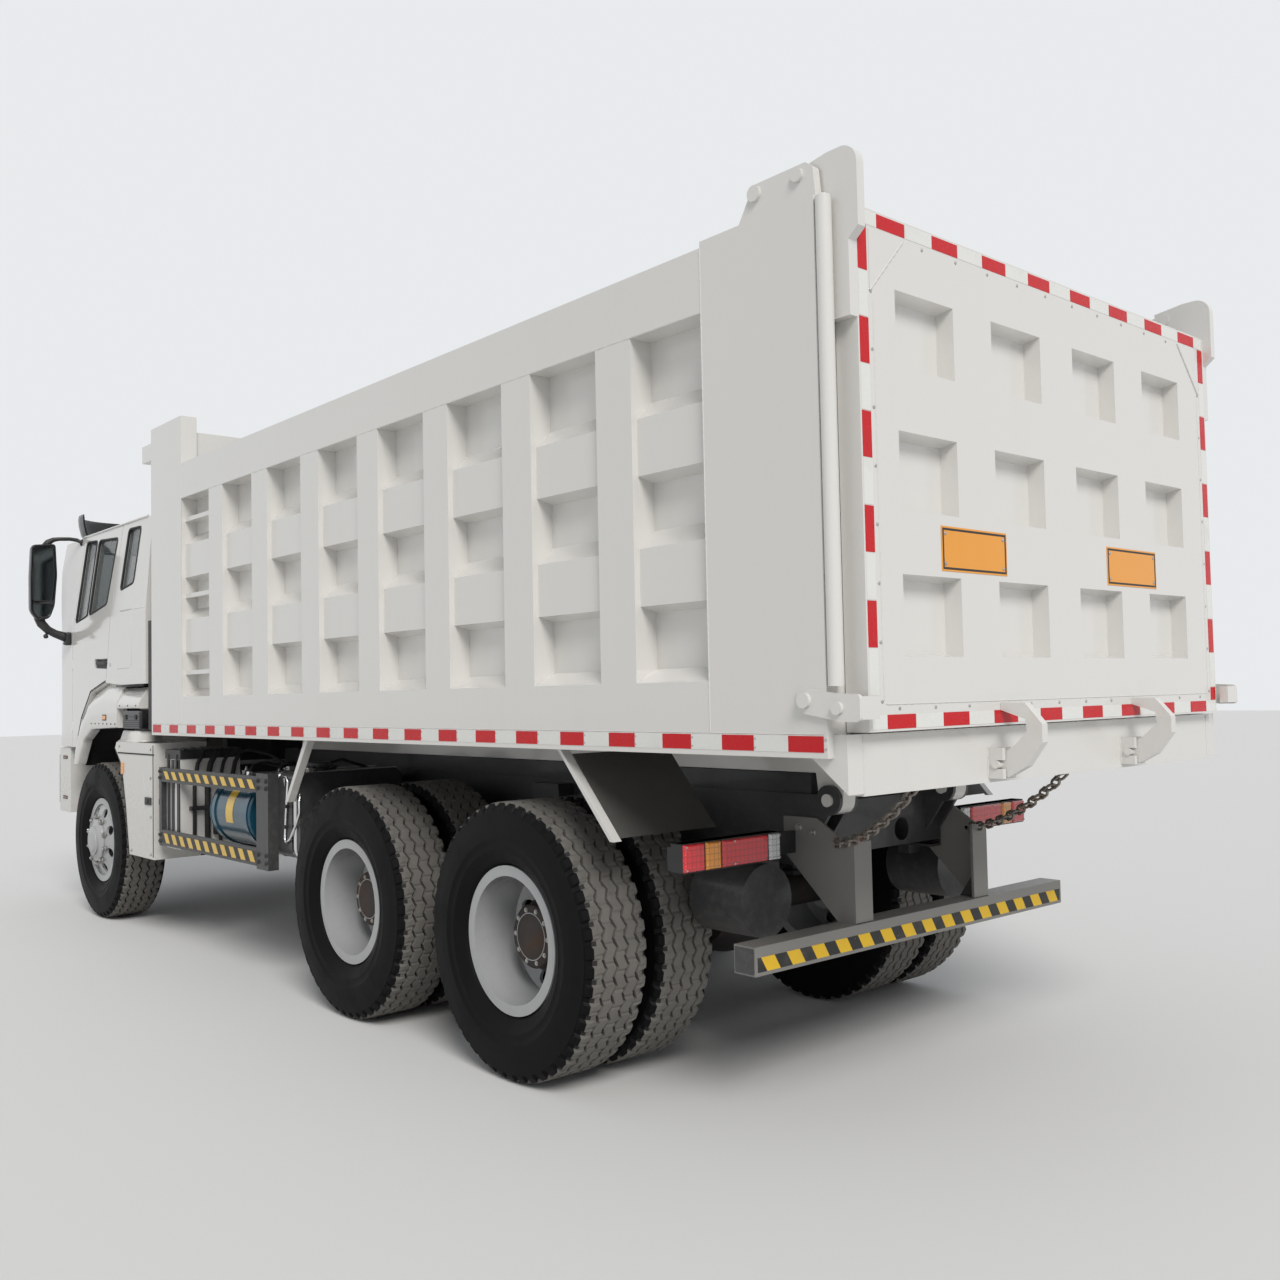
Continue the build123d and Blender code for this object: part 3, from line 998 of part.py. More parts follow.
def build_interior():
    """Two seats, the dashboard and the steering wheel."""
    cushion = block(2440, 2950, SEAT_Y - 250, SEAT_Y + 250, SEAT_TOP_Z - 130, SEAT_TOP_Z)
    cushion = fillet(cushion.edges().filter_by(Axis.Y), 45)
    back_face = outline(
        (2330, SEAT_TOP_Z + 590), (2470, SEAT_TOP_Z - 110), (2580, SEAT_TOP_Z - 90), (2430, SEAT_TOP_Z + 590))
    back_face = fillet(back_face.vertices(), 35)
    head_face = outline(
        (2318, SEAT_TOP_Z + 790), (2335, SEAT_TOP_Z + 610), (2425, SEAT_TOP_Z + 610), (2405, SEAT_TOP_Z + 790))
    head_face = fillet(head_face.vertices(), 25)
    seat = cushion + side_plate(back_face, SEAT_Y - 240, SEAT_Y + 240)
    seat += side_plate(head_face, SEAT_Y - 130, SEAT_Y + 130)
    for post_y in (SEAT_Y - 60, SEAT_Y + 60):
        seat += rod_z(7, 2380, post_y, SEAT_TOP_Z + 560, SEAT_TOP_Z + 640)
    seat += block(2520, 2880, SEAT_Y - 150, SEAT_Y + 150, 1730.5, SEAT_TOP_Z - 120)
    save("seats", *both_sides(seat))
    dash_face = outline(
        (CAB_FRONT_X - 500, 1760), (CAB_FRONT_X - 300, 1750), (CAB_FRONT_X - 300, 2050),
        (CAB_FRONT_X - 430, 2050), (CAB_FRONT_X - 500, 1960),
    )
    dash_half = CAB_HALF_WIDTH - CAB_WALL - 4.4
    dash = side_plate(dash_face, -dash_half, dash_half)
    dash += rod_between(30, (3600, 600, 1950), (3402, 600, 2093))
    wheel = Plane(origin=(3400, 600, 2095), z_dir=(-0.81, 0, 0.58)) * Torus(230, 16)
    spokes = Plane(origin=(3400, 600, 2095), z_dir=(-0.81, 0, 0.58)) * Box(440, 40, 14)
    save("dashboard", dash + wheel + spokes)


def main():
    build_wheels()
    build_ladder_frame()
    build_subframe()
    build_axles()
    build_knuckles()
    build_springs()
    build_powertrain()
    build_tanks()
    build_side_guards()
    build_rear_details()
    build_mud_boxes()
    build_bumper()
    build_air_intake()
    build_bed_sides()
    build_bed_floor()
    build_headboard()
    build_bed_rear()
    build_mud_flaps()
    build_gate()
    build_hooks()
    build_hoist()
    build_cab()
    build_cab_fenders()
    build_cab_trim()
    build_mirrors()
    build_interior()


main()
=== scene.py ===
import sys
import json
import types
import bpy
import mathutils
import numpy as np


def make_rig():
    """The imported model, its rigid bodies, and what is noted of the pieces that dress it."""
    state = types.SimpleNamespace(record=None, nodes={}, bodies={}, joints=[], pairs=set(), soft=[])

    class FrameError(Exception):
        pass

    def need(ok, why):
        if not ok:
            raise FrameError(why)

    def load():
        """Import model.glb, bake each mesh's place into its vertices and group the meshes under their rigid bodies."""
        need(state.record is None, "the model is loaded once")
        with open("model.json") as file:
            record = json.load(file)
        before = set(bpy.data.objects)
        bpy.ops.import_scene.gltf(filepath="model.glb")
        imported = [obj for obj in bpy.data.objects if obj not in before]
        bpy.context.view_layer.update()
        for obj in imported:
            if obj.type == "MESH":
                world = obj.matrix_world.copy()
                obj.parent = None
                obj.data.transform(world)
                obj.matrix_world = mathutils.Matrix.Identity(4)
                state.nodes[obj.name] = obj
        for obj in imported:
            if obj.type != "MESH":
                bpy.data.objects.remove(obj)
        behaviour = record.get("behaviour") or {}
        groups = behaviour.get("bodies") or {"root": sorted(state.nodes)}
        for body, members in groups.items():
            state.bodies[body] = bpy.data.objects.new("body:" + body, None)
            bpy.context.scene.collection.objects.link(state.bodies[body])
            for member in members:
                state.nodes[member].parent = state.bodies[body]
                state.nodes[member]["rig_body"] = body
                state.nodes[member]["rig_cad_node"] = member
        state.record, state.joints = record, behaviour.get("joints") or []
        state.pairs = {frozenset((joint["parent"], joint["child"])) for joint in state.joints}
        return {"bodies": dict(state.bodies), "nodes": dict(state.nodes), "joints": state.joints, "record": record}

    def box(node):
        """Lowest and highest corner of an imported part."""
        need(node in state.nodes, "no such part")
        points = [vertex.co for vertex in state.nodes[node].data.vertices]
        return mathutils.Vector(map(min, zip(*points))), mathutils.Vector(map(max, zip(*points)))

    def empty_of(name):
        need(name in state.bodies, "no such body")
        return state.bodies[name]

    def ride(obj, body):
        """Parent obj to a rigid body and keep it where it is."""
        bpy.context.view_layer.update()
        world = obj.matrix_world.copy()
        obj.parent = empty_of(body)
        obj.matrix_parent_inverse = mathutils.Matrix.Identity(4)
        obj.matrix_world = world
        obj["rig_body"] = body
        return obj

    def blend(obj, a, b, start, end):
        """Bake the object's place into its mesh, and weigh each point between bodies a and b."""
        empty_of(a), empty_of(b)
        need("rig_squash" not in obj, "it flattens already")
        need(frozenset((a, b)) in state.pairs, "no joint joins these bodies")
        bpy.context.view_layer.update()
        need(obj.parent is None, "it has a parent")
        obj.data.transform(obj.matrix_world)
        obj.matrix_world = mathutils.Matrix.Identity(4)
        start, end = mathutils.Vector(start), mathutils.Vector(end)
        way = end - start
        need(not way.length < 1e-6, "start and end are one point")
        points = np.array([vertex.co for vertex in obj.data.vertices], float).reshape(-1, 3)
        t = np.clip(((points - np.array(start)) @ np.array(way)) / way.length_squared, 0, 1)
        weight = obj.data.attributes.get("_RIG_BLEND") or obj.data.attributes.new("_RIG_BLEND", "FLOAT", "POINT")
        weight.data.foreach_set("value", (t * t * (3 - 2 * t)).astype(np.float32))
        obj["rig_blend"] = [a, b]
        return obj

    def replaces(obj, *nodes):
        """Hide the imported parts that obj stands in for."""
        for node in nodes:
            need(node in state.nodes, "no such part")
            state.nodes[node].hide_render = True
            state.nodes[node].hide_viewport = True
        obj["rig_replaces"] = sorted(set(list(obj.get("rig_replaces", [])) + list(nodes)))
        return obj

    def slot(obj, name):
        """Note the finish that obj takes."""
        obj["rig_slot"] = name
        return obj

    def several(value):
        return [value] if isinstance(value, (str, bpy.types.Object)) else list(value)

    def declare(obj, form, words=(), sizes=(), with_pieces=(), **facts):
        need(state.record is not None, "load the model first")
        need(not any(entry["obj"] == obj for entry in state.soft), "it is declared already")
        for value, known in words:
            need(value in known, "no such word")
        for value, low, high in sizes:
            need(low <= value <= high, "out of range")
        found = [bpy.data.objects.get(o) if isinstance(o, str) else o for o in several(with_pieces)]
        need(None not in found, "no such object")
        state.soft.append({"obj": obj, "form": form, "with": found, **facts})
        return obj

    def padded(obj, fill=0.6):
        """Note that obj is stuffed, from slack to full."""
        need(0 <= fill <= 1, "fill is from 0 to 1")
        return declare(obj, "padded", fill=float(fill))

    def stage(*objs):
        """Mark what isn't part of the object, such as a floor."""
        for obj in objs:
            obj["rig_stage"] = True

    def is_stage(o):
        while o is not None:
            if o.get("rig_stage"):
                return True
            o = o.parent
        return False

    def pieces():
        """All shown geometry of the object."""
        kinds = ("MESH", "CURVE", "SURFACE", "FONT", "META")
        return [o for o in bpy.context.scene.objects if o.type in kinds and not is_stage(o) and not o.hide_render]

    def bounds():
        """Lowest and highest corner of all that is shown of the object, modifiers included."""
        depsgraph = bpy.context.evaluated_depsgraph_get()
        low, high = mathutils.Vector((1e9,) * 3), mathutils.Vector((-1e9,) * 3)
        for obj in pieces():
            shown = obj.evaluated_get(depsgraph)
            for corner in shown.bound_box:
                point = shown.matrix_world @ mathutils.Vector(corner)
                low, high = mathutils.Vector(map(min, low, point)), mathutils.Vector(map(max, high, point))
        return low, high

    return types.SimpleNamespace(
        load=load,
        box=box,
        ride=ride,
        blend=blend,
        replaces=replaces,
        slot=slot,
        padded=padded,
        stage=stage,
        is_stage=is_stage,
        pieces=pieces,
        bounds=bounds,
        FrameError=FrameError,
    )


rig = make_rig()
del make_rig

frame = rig.load()

import json
import math

import bmesh
import bpy
from mathutils import Matrix, Vector

CAD_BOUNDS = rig.bounds()

bl_info = {
    "name": "Dump Truck Dressing",
    "version": (1, 0, 0),
    "blender": (4, 5, 0),
    "location": "View3D > Sidebar > Truck",
    "description": "Dresses the packed dump truck with detailed pieces and procedural finishes",
    "category": "Object",
}


# Settings

def colour_setting(name, description, default):
    return bpy.props.FloatVectorProperty(
        name=name, description=description, subtype="COLOR", size=3, default=default, min=0, max=1)


class FinishSettings(bpy.types.PropertyGroup):
    """Colours and wear of the finishes."""

    body_colour: colour_setting("Body colour", "Enamel of the load bed and cab", (0.72, 0.705, 0.675))
    chassis_colour: colour_setting("Chassis colour", "Enamel of the frame and boxes", (0.028, 0.029, 0.032))
    rim_colour: colour_setting("Rim colour", "Silver enamel of the rims", (0.40, 0.41, 0.415))
    tape_red: colour_setting("Tape red", "Red blocks of the reflective tape", (0.60, 0.004, 0.010))
    tape_cream: colour_setting("Tape cream", "Pale blocks of the reflective tape", (0.80, 0.80, 0.77))
    hazard_yellow: colour_setting("Hazard yellow", "Yellow of the hazard stripes", (0.80, 0.50, 0.02))
    sign_orange: colour_setting("Sign orange", "Face of the blank signs on the tailgate", (0.84, 0.33, 0.012))
    road_dust: bpy.props.FloatProperty(
        name="Road dust", description="Share of dust on the low parts", subtype="FACTOR",
        default=0.5, min=0, max=1)


class TreadSettings(bpy.types.PropertyGroup):
    """Shape of the tyres' tread."""

    groove_depth: bpy.props.FloatProperty(
        name="Groove depth", description="Depth of the grooves", unit="LENGTH", default=0.014, min=0)
    groove_width: bpy.props.FloatProperty(
        name="Groove width", description="Width of one groove", unit="LENGTH", default=0.013, min=0)
    zigzag_count: bpy.props.IntProperty(
        name="Zigzags", description="Zigzags of a groove round the tyre", default=48, min=3)
    zigzag_swing: bpy.props.FloatProperty(
        name="Zigzag swing", description="Sideways swing of a groove", unit="LENGTH", default=0.009, min=0)


class TapeSettings(bpy.types.PropertyGroup):
    """Reflective tape on the load bed."""

    block_length: bpy.props.FloatProperty(
        name="Block length", description="Length of one colour block", unit="LENGTH", default=0.143, min=0)
    width: bpy.props.FloatProperty(
        name="Width", description="Width of the tape", unit="LENGTH", default=0.052, min=0)


class CameraSettings(bpy.types.PropertyGroup):
    """Place and lens of the camera."""

    place: bpy.props.FloatVectorProperty(
        name="Place", description="Camera position", subtype="TRANSLATION", unit="LENGTH", size=3,
        default=(-6.3126, 4.041, 1.5373))
    yaw: bpy.props.FloatProperty(
        name="Yaw", description="Heading from the forward axis", subtype="ANGLE", default=-0.7196)
    pitch: bpy.props.FloatProperty(
        name="Pitch", description="Upward tilt", subtype="ANGLE", default=0.0433)
    roll: bpy.props.FloatProperty(
        name="Roll", description="Turn about the view line", subtype="ANGLE", default=-0.0205)
    focal_mm: bpy.props.FloatProperty(
        name="Focal length", description="Lens in mm on a 36 mm sensor", default=34.18, min=1)


SETTINGS = {
    "truck_finish": FinishSettings,
    "truck_tread": TreadSettings,
    "truck_tape": TapeSettings,
    "truck_camera": CameraSettings,
}


# Shader maths

class Signal:
    """A shader socket that sums and products can be written with."""

    def __init__(self, paint, socket):
        self.paint = paint
        self.socket = socket

    def __add__(self, other):
        return self.paint.math("ADD", self, other)

    __radd__ = __add__

    def __sub__(self, other):
        return self.paint.math("SUBTRACT", self, other)

    def __rsub__(self, other):
        return self.paint.math("SUBTRACT", other, self)

    def __mul__(self, other):
        return self.paint.math("MULTIPLY", self, other)

    __rmul__ = __mul__


class Paint:
    """One material and the nodes that make its finish."""

    def __init__(self, name):
        self.material = bpy.data.materials.new(name)
        self.material.use_nodes = True
        self.tree = self.material.node_tree
        self.tree.nodes.clear()
        self.surface = self.node("ShaderNodeBsdfPrincipled")
        self.output = self.node("ShaderNodeOutputMaterial", inputs={"Surface": self.surface.outputs[0]})
        self.place = self.node("ShaderNodeTexCoord").outputs["Object"]

    def node(self, kind, settings=None, inputs=None):
        """Adds a node: its settings first, then the values or links of its sockets."""
        node = self.tree.nodes.new(kind)
        for key, value in (settings or {}).items():
            setattr(node, key, value)
        for key, value in (inputs or {}).items():
            self.feed(node.inputs[key], value)
        return node

    def feed(self, socket, value):
        """Links a signal or a socket, or sets a plain value."""
        if isinstance(value, Signal):
            value = value.socket
        if isinstance(value, bpy.types.NodeSocket):
            self.tree.links.new(value, socket)
        elif hasattr(socket.default_value, "__len__") and len(value) == 3 and len(socket.default_value) == 4:
            socket.default_value = (*value, 1.0)
        else:
            socket.default_value = value

    def math(self, operation, first, second=0.0):
        return Signal(
            self, self.node("ShaderNodeMath", {"operation": operation}, {0: first, 1: second}).outputs[0])

    def mix(self, share, first, second):
        """Colour between two colours."""
        return self.node("ShaderNodeMix", {"data_type": "RGBA"}, {0: share, 6: first, 7: second}).outputs[2]

    def axis(self, letter):
        """Place along X, Y or Z in the truck's frame."""
        parts = self.node("ShaderNodeSeparateXYZ", inputs={0: self.place})
        return Signal(self, parts.outputs[letter])

    def stretched(self, x, y, z):
        """Place with each axis scaled."""
        settings = {"operation": "MULTIPLY"}
        return self.node("ShaderNodeVectorMath", settings, {0: self.place, 1: (x, y, z)}).outputs[0]

    def noise(self, scale, detail=3.0, roughness=0.5, vector=None):
        inputs = {"Vector": vector or self.place, "Scale": scale, "Detail": detail, "Roughness": roughness}
        return Signal(self, self.node("ShaderNodeTexNoise", inputs=inputs).outputs[0])

    def step(self, value, low, high, bottom=0.0, top=1.0):
        """Smooth ramp from bottom to top as the value passes from low to high."""
        inputs = {0: value, 1: low, 2: high, 3: bottom, 4: top}
        settings = {"interpolation_type": "SMOOTHSTEP"}
        return Signal(self, self.node("ShaderNodeMapRange", settings, inputs).outputs[0])

    def bump(self, height, distance, strength):
        inputs = {"Height": height, "Distance": distance, "Strength": strength}
        return self.node("ShaderNodeBump", inputs=inputs).outputs[0]

    def set(self, **values):
        """Sets sockets of the surface shader by name, with spaces as underscores."""
        for key, value in values.items():
            self.feed(self.surface.inputs[key.replace("_", " ")], value)
        return self.material


# Finishes

DUST = (0.25, 0.235, 0.205)
# Near-black of the painted shade on the low undersides, and the height below which that shade sets in.
UNDERSIDE = (0.045, 0.042, 0.038)
UNDERSIDE_TOP = 1.60


def settings():
    return bpy.context.scene.truck_finish


def shaded(colour, share):
    """The colour at a share of its brightness."""
    return tuple(channel * share for channel in colour)


def enamel(name, colour, rough, dust, dust_top, coat=0.5, wear=1.0):
    """Sprayed enamel with rain streaks, blotches, dust that thickens downwards and painted shade on the low
    undersides.
    """
    paint = Paint(name)
    streaks = paint.step(paint.noise(1.6, 6, 0.62, paint.stretched(4, 4, 0.22)), 0.50, 0.78)
    blotch = paint.step(paint.noise(1.1, 4), 0.35, 0.75)
    tone = paint.mix(streaks * (0.16 * wear), colour, shaded(colour, 0.78))
    tone = paint.mix(blotch * (0.10 * wear), tone, shaded(colour, 0.88))
    low = paint.step(paint.axis("Z"), dust_top, dust_top - 0.9)
    specks = paint.step(paint.noise(26, 4, 0.7), 0.42, 0.72)
    film = low * (0.35 + 0.65 * specks) * (dust * settings().road_dust)
    tone = paint.mix(film, tone, DUST)
    # Painted shade: downward-facing faces low on the truck are mixed towards near-black, standing in for the shade
    # beneath them.
    facing = paint.node(
        "ShaderNodeSeparateXYZ", inputs={0: paint.node("ShaderNodeNewGeometry").outputs["Normal"]})
    under = paint.step(Signal(paint, facing.outputs["Z"]), -0.55, -0.95)
    under = under * paint.step(paint.axis("Z"), UNDERSIDE_TOP, UNDERSIDE_TOP - 0.22)
    tone = paint.mix(under * (0.55 + 0.25 * specks), tone, UNDERSIDE)
    orange_peel = paint.noise(240, 2)
    normal = paint.bump(orange_peel, 0.0006, 0.10)
    roughness = rough + film * 0.55 + streaks * (0.12 * wear) + paint.noise(7, 3) * 0.06
    return paint.set(
        Base_Color=tone, Roughness=roughness, Coat_Weight=coat, Coat_Roughness=0.08, Normal=normal)


def worn_steel(name, colour, rough, metallic, rust):
    """Bare or cast steel with mottling, rust in patches and fine scratches."""
    paint = Paint(name)
    patch = paint.step(paint.noise(5, 6, 0.65), 0.50, 0.68)
    grain = paint.noise(90, 4, 0.6)
    tone = paint.mix(grain * 0.35, colour, shaded(colour, 0.55))
    tone = paint.mix(patch * rust, tone, (0.20, 0.085, 0.035))
    normal = paint.bump(grain, 0.0012, 0.25)
    return paint.set(
        Base_Color=tone, Metallic=metallic - patch * (metallic * rust),
        Roughness=rough + patch * 0.3 + grain * 0.1,
        Normal=normal)


def polished(name, colour, rough):
    """Polished or plated steel with a faint brushed haze."""
    paint = Paint(name)
    haze = paint.noise(60, 3, 0.6, paint.stretched(1, 1, 0.2))
    tone = paint.mix(haze * 0.25, colour, shaded(colour, 0.75))
    return paint.set(Base_Color=tone, Metallic=1.0, Roughness=rough + haze * 0.12)


def moulded(name, colour, rough, grain_scale=420, depth=0.0005):
    """Moulded black plastic or rubber with a fine grain and dusty high spots."""
    paint = Paint(name)
    grain = paint.noise(grain_scale, 2)
    wear = paint.step(paint.noise(4, 5, 0.6), 0.48, 0.75)
    tone = paint.mix(wear * 0.25, colour, shaded(DUST, 0.5))
    normal = paint.bump(grain, depth, 0.35)
    return paint.set(Base_Color=tone, Roughness=rough + wear * 0.12 + grain * 0.08, Normal=normal)


def tread_rubber(name, top):
    """Crown of the tyre: rubber greyed by road dust, over its top colour."""
    paint = Paint(name)
    dust = paint.step(paint.noise(9, 5, 0.6), 0.25, 0.80)
    grit = paint.noise(190, 3, 0.7)
    tone = paint.mix(dust * 0.45 + grit * 0.2, top, shaded(top, 1.75))
    normal = paint.bump(grit, 0.0012, 0.4)
    return paint.set(Base_Color=tone, Roughness=0.78 + dust * 0.12, Normal=normal)


def sidewall_rubber(name):
    """Sidewall: dark rubber with a dull sheen and faint dust rings."""
    paint = Paint(name)
    dust = paint.step(paint.noise(6, 5, 0.65), 0.45, 0.8)
    grit = paint.noise(150, 3, 0.6)
    tone = paint.mix(dust * 0.07, (0.0028, 0.0028, 0.0033), (0.05, 0.047, 0.043))
    normal = paint.bump(grit, 0.0006, 0.25)
    return paint.set(Base_Color=tone, Roughness=0.54 + dust * 0.2, Specular_IOR_Level=0.12, Normal=normal)


def tape(name, colour):
    """Reflective tape: a honeycomb of tiny cells under a clear skin."""
    paint = Paint(name)
    cells = paint.node(
        "ShaderNodeTexVoronoi", {"feature": "DISTANCE_TO_EDGE"}, {"Vector": paint.place, "Scale": 230})
    edge = paint.step(Signal(paint, cells.outputs[0]), 0.02, 0.09)
    grime = paint.step(paint.noise(9, 5, 0.65), 0.48, 0.8)
    tone = paint.mix(edge * 0.10, colour, shaded(colour, 0.6))
    tone = paint.mix(grime * 0.10, tone, shaded(DUST, 0.7))
    return paint.set(
        Base_Color=tone, Roughness=0.26 + grime * 0.3, Coat_Weight=0.15, Coat_Roughness=0.06,
        Specular_IOR_Level=0.25, Normal=paint.bump(edge, 0.0004, 0.3))


def lens(name, colour, line_axis, lines):
    """Coloured lamp lens with moulded ribs."""
    paint = Paint(name)
    ribs = paint.math("SINE", paint.axis(line_axis) * lines)
    cross = paint.math("SINE", paint.axis("Y") * lines)
    pattern = ribs * cross
    depth = paint.step(pattern, -0.6, 0.6)
    cells = paint.math(
        "MAXIMUM", paint.math("SINE", paint.axis("Y") * 285), paint.math("SINE", paint.axis("Z") * 285))
    tone = paint.mix(depth * 0.35, colour, shaded(colour, 0.45))
    tone = paint.mix(paint.step(cells, 0.80, 0.98) * 0.55, tone, shaded(colour, 0.30))
    return paint.set(
        Base_Color=tone, Roughness=0.10 + depth * 0.08, Coat_Weight=1.0, Coat_Roughness=0.03,
        Normal=paint.bump(pattern, 0.0015, 0.5))


def glazing(name, colour, alpha):
    """Tinted safety glass with a little dust."""
    paint = Paint(name)
    smear = paint.step(paint.noise(3.2, 5, 0.65), 0.45, 0.8)
    tone = paint.mix(smear * 0.3, colour, DUST)
    return paint.set(
        Base_Color=tone, Roughness=0.03 + smear * 0.10, Alpha=alpha + smear * 0.08, IOR=1.5,
        Coat_Weight=1.0, Coat_Roughness=0.02)


def woven(name, colour):
    """Ribbed seat cloth."""
    paint = Paint(name)
    warp = paint.math("SINE", paint.axis("Y") * 1400)
    weft = paint.math("SINE", paint.axis("X") * 1400)
    thread = paint.step(warp * weft, -0.5, 0.5)
    fuzz = paint.noise(300, 3)
    tone = paint.mix(thread * 0.4 + fuzz * 0.2, colour, shaded(colour, 0.45))
    return paint.set(
        Base_Color=tone, Roughness=0.88 + fuzz * 0.08, Sheen_Weight=0.3,
        Normal=paint.bump(thread, 0.0008, 0.5))


def hazard(name, yellow):
    """Yellow and black stripes that lean across the bar."""
    paint = Paint(name)
    run = paint.axis("Y") * 7.63 - paint.axis("Z") * 4.6 + 20.0
    band = paint.math("FRACT", run)
    black = paint.step(band, 0.51, 0.53)
    grime = paint.step(paint.noise(11, 6, 0.65), 0.45, 0.75)
    chips = paint.step(paint.noise(38, 5, 0.7), 0.66, 0.70)
    tone = paint.mix(black, yellow, (0.02, 0.02, 0.02))
    tone = paint.mix(chips, tone, (0.25, 0.25, 0.25))
    tone = paint.mix(grime * 0.18, tone, DUST)
    return paint.set(Base_Color=tone, Roughness=0.38 + grime * 0.3, Specular_IOR_Level=0.35)


class MakeFinishes(bpy.types.Operator):
    """Makes every material"""
    bl_idname = "truck.finishes"
    bl_label = "Finishes"

    def execute(self, context):
        kit = settings()
        body = tuple(kit.body_colour)
        chassis = tuple(kit.chassis_colour)
        enamel("enamel_body", body, 0.17, 0.30, 1.40, coat=0.8, wear=0.45)
        enamel("enamel_cab", shaded(body, 1.0), 0.13, 0.20, 1.3, coat=0.9, wear=0.4)
        enamel("enamel_low", shaded(body, 0.96), 0.22, 0.45, 1.3, wear=0.7)
        enamel("enamel_chassis", chassis, 0.40, 0.40, 1.5, coat=0.2)
        enamel("enamel_grey", (0.20, 0.195, 0.185), 0.38, 0.5, 1.5, coat=0.2)
        enamel("enamel_blue", (0.006, 0.058, 0.098), 0.24, 0.12, 1.3)
        enamel("enamel_rim", tuple(kit.rim_colour), 0.26, 0.30, 1.4, coat=0.4, wear=0.6)
        enamel("stripe_yellow", tuple(kit.hazard_yellow), 0.28, 0.5, 1.4)
        enamel("sign_orange", tuple(kit.sign_orange), 0.30, 0.3, 1.2)
        enamel("plate_blank", (0.62, 0.62, 0.60), 0.30, 0.5, 1.2)
        worn_steel("cast_iron", (0.045, 0.042, 0.04), 0.58, 0.45, 0.35)
        worn_steel("hub_brown", (0.050, 0.040, 0.036), 0.55, 0.35, 0.30)
        worn_steel("zinc", (0.52, 0.51, 0.49), 0.36, 0.95, 0.25)
        worn_steel("chain_steel", (0.30, 0.27, 0.24), 0.46, 0.85, 0.7)
        polished("chrome", (0.78, 0.78, 0.78), 0.06)
        polished("bright_steel", (0.66, 0.66, 0.67), 0.18)
        polished("mirror_glass", (0.10, 0.115, 0.12), 0.03)
        moulded("plastic_black", (0.016, 0.016, 0.017), 0.42)
        moulded("plastic_smoky", (0.010, 0.011, 0.012), 0.12, 30, 0.0002)
        moulded("plastic_gloss", (0.009, 0.009, 0.010), 0.16, 60, 0.0002)
        moulded("plastic_grey", (0.17, 0.17, 0.175), 0.55)
        moulded("rubber_flap", (0.022, 0.022, 0.022), 0.72, 120, 0.0012)
        moulded("rubber_sheet", (0.070, 0.068, 0.063), 0.70, 120, 0.0012)
        tread_rubber("tyre_tread", (0.112, 0.106, 0.096))
        # Groove bottoms: bare dark rubber, made near-black as painted shade inside the grooves.
        tread_rubber("tyre_groove", (0.012, 0.0115, 0.011))
        sidewall_rubber("tyre_sidewall")
        tape("tape_red", tuple(kit.tape_red))
        tape("tape_cream", tuple(kit.tape_cream))
        lens("lens_red", (0.82, 0.010, 0.022), "Z", 620)
        lens("lens_amber", (0.95, 0.34, 0.01), "Z", 620)
        lens("lens_clear", (0.74, 0.76, 0.76), "Z", 420)
        glazing("glass_window", (0.10, 0.13, 0.13), 0.42)
        glazing("lens_glass", (0.55, 0.57, 0.57), 0.22)
        woven("seat_cloth", (0.075, 0.078, 0.09))
        hazard("hazard_stripes", tuple(kit.hazard_yellow))
        return {"FINISHED"}


def finish(name):
    """Material by name, which truck.finishes has made."""
    return bpy.data.materials[name]


CAD_FINISHES = {
    "enamel_chassis": (
        "ladder_frame", "subframe", "leaf_springs", "fuel_tank", "air_tanks", "side_guards"),
    "enamel_body": (
        "bed_sides", "bed_floor", "headboard", "rear_sill", "gate_brackets", "tailgate", "gate_arms",
        "gate_hooks", "corner_tubes", "corner_latches"),
    "enamel_cab": ("cab_shell", "door_left", "door_right", "cab_fenders"),
    "enamel_low": ("bumper", "mud_boxes", "flap_struts"),
    "cast_iron": ("rear_axles", "front_axle", "powertrain", "knuckle_left", "knuckle_right", "tie_rod"),
    "enamel_blue": ("side_tank",),
    "enamel_grey": ("hoist_barrel", "underrun_bar"),
    "chrome": ("hoist_stage_1", "hoist_stage_2", "hoist_rod"),
    "enamel_rim": (
        "rim_front_left", "rim_front_right", "rims_middle_left", "rims_middle_right", "rims_rear_left",
        "rims_rear_right"),
    "tyre_sidewall": (
        "tyre_front_left", "tyre_front_right", "tyres_middle_left", "tyres_middle_right", "tyres_rear_left",
        "tyres_rear_right"),
    "rubber_sheet": ("mud_flaps",),
    "plastic_black": ("air_intake", "grille", "mirrors", "dashboard", "tail_lamps"),
    "plastic_smoky": ("sun_visor",),
    "glass_window": ("cab_glass", "door_glass_left", "door_glass_right"),
    "lens_clear": ("headlamps",),
    "seat_cloth": ("seats",),
}


class DressNodes(bpy.types.Operator):
    """Gives every carried-over CAD node its finish"""
    bl_idname = "truck.dress_nodes"
    bl_label = "CAD nodes"

    def execute(self, context):
        for material_name, nodes in CAD_FINISHES.items():
            for node in nodes:
                slots = frame["nodes"][node].data.materials
                slots.clear()
                slots.append(finish(material_name))
        return {"FINISHED"}


# Mesh tools

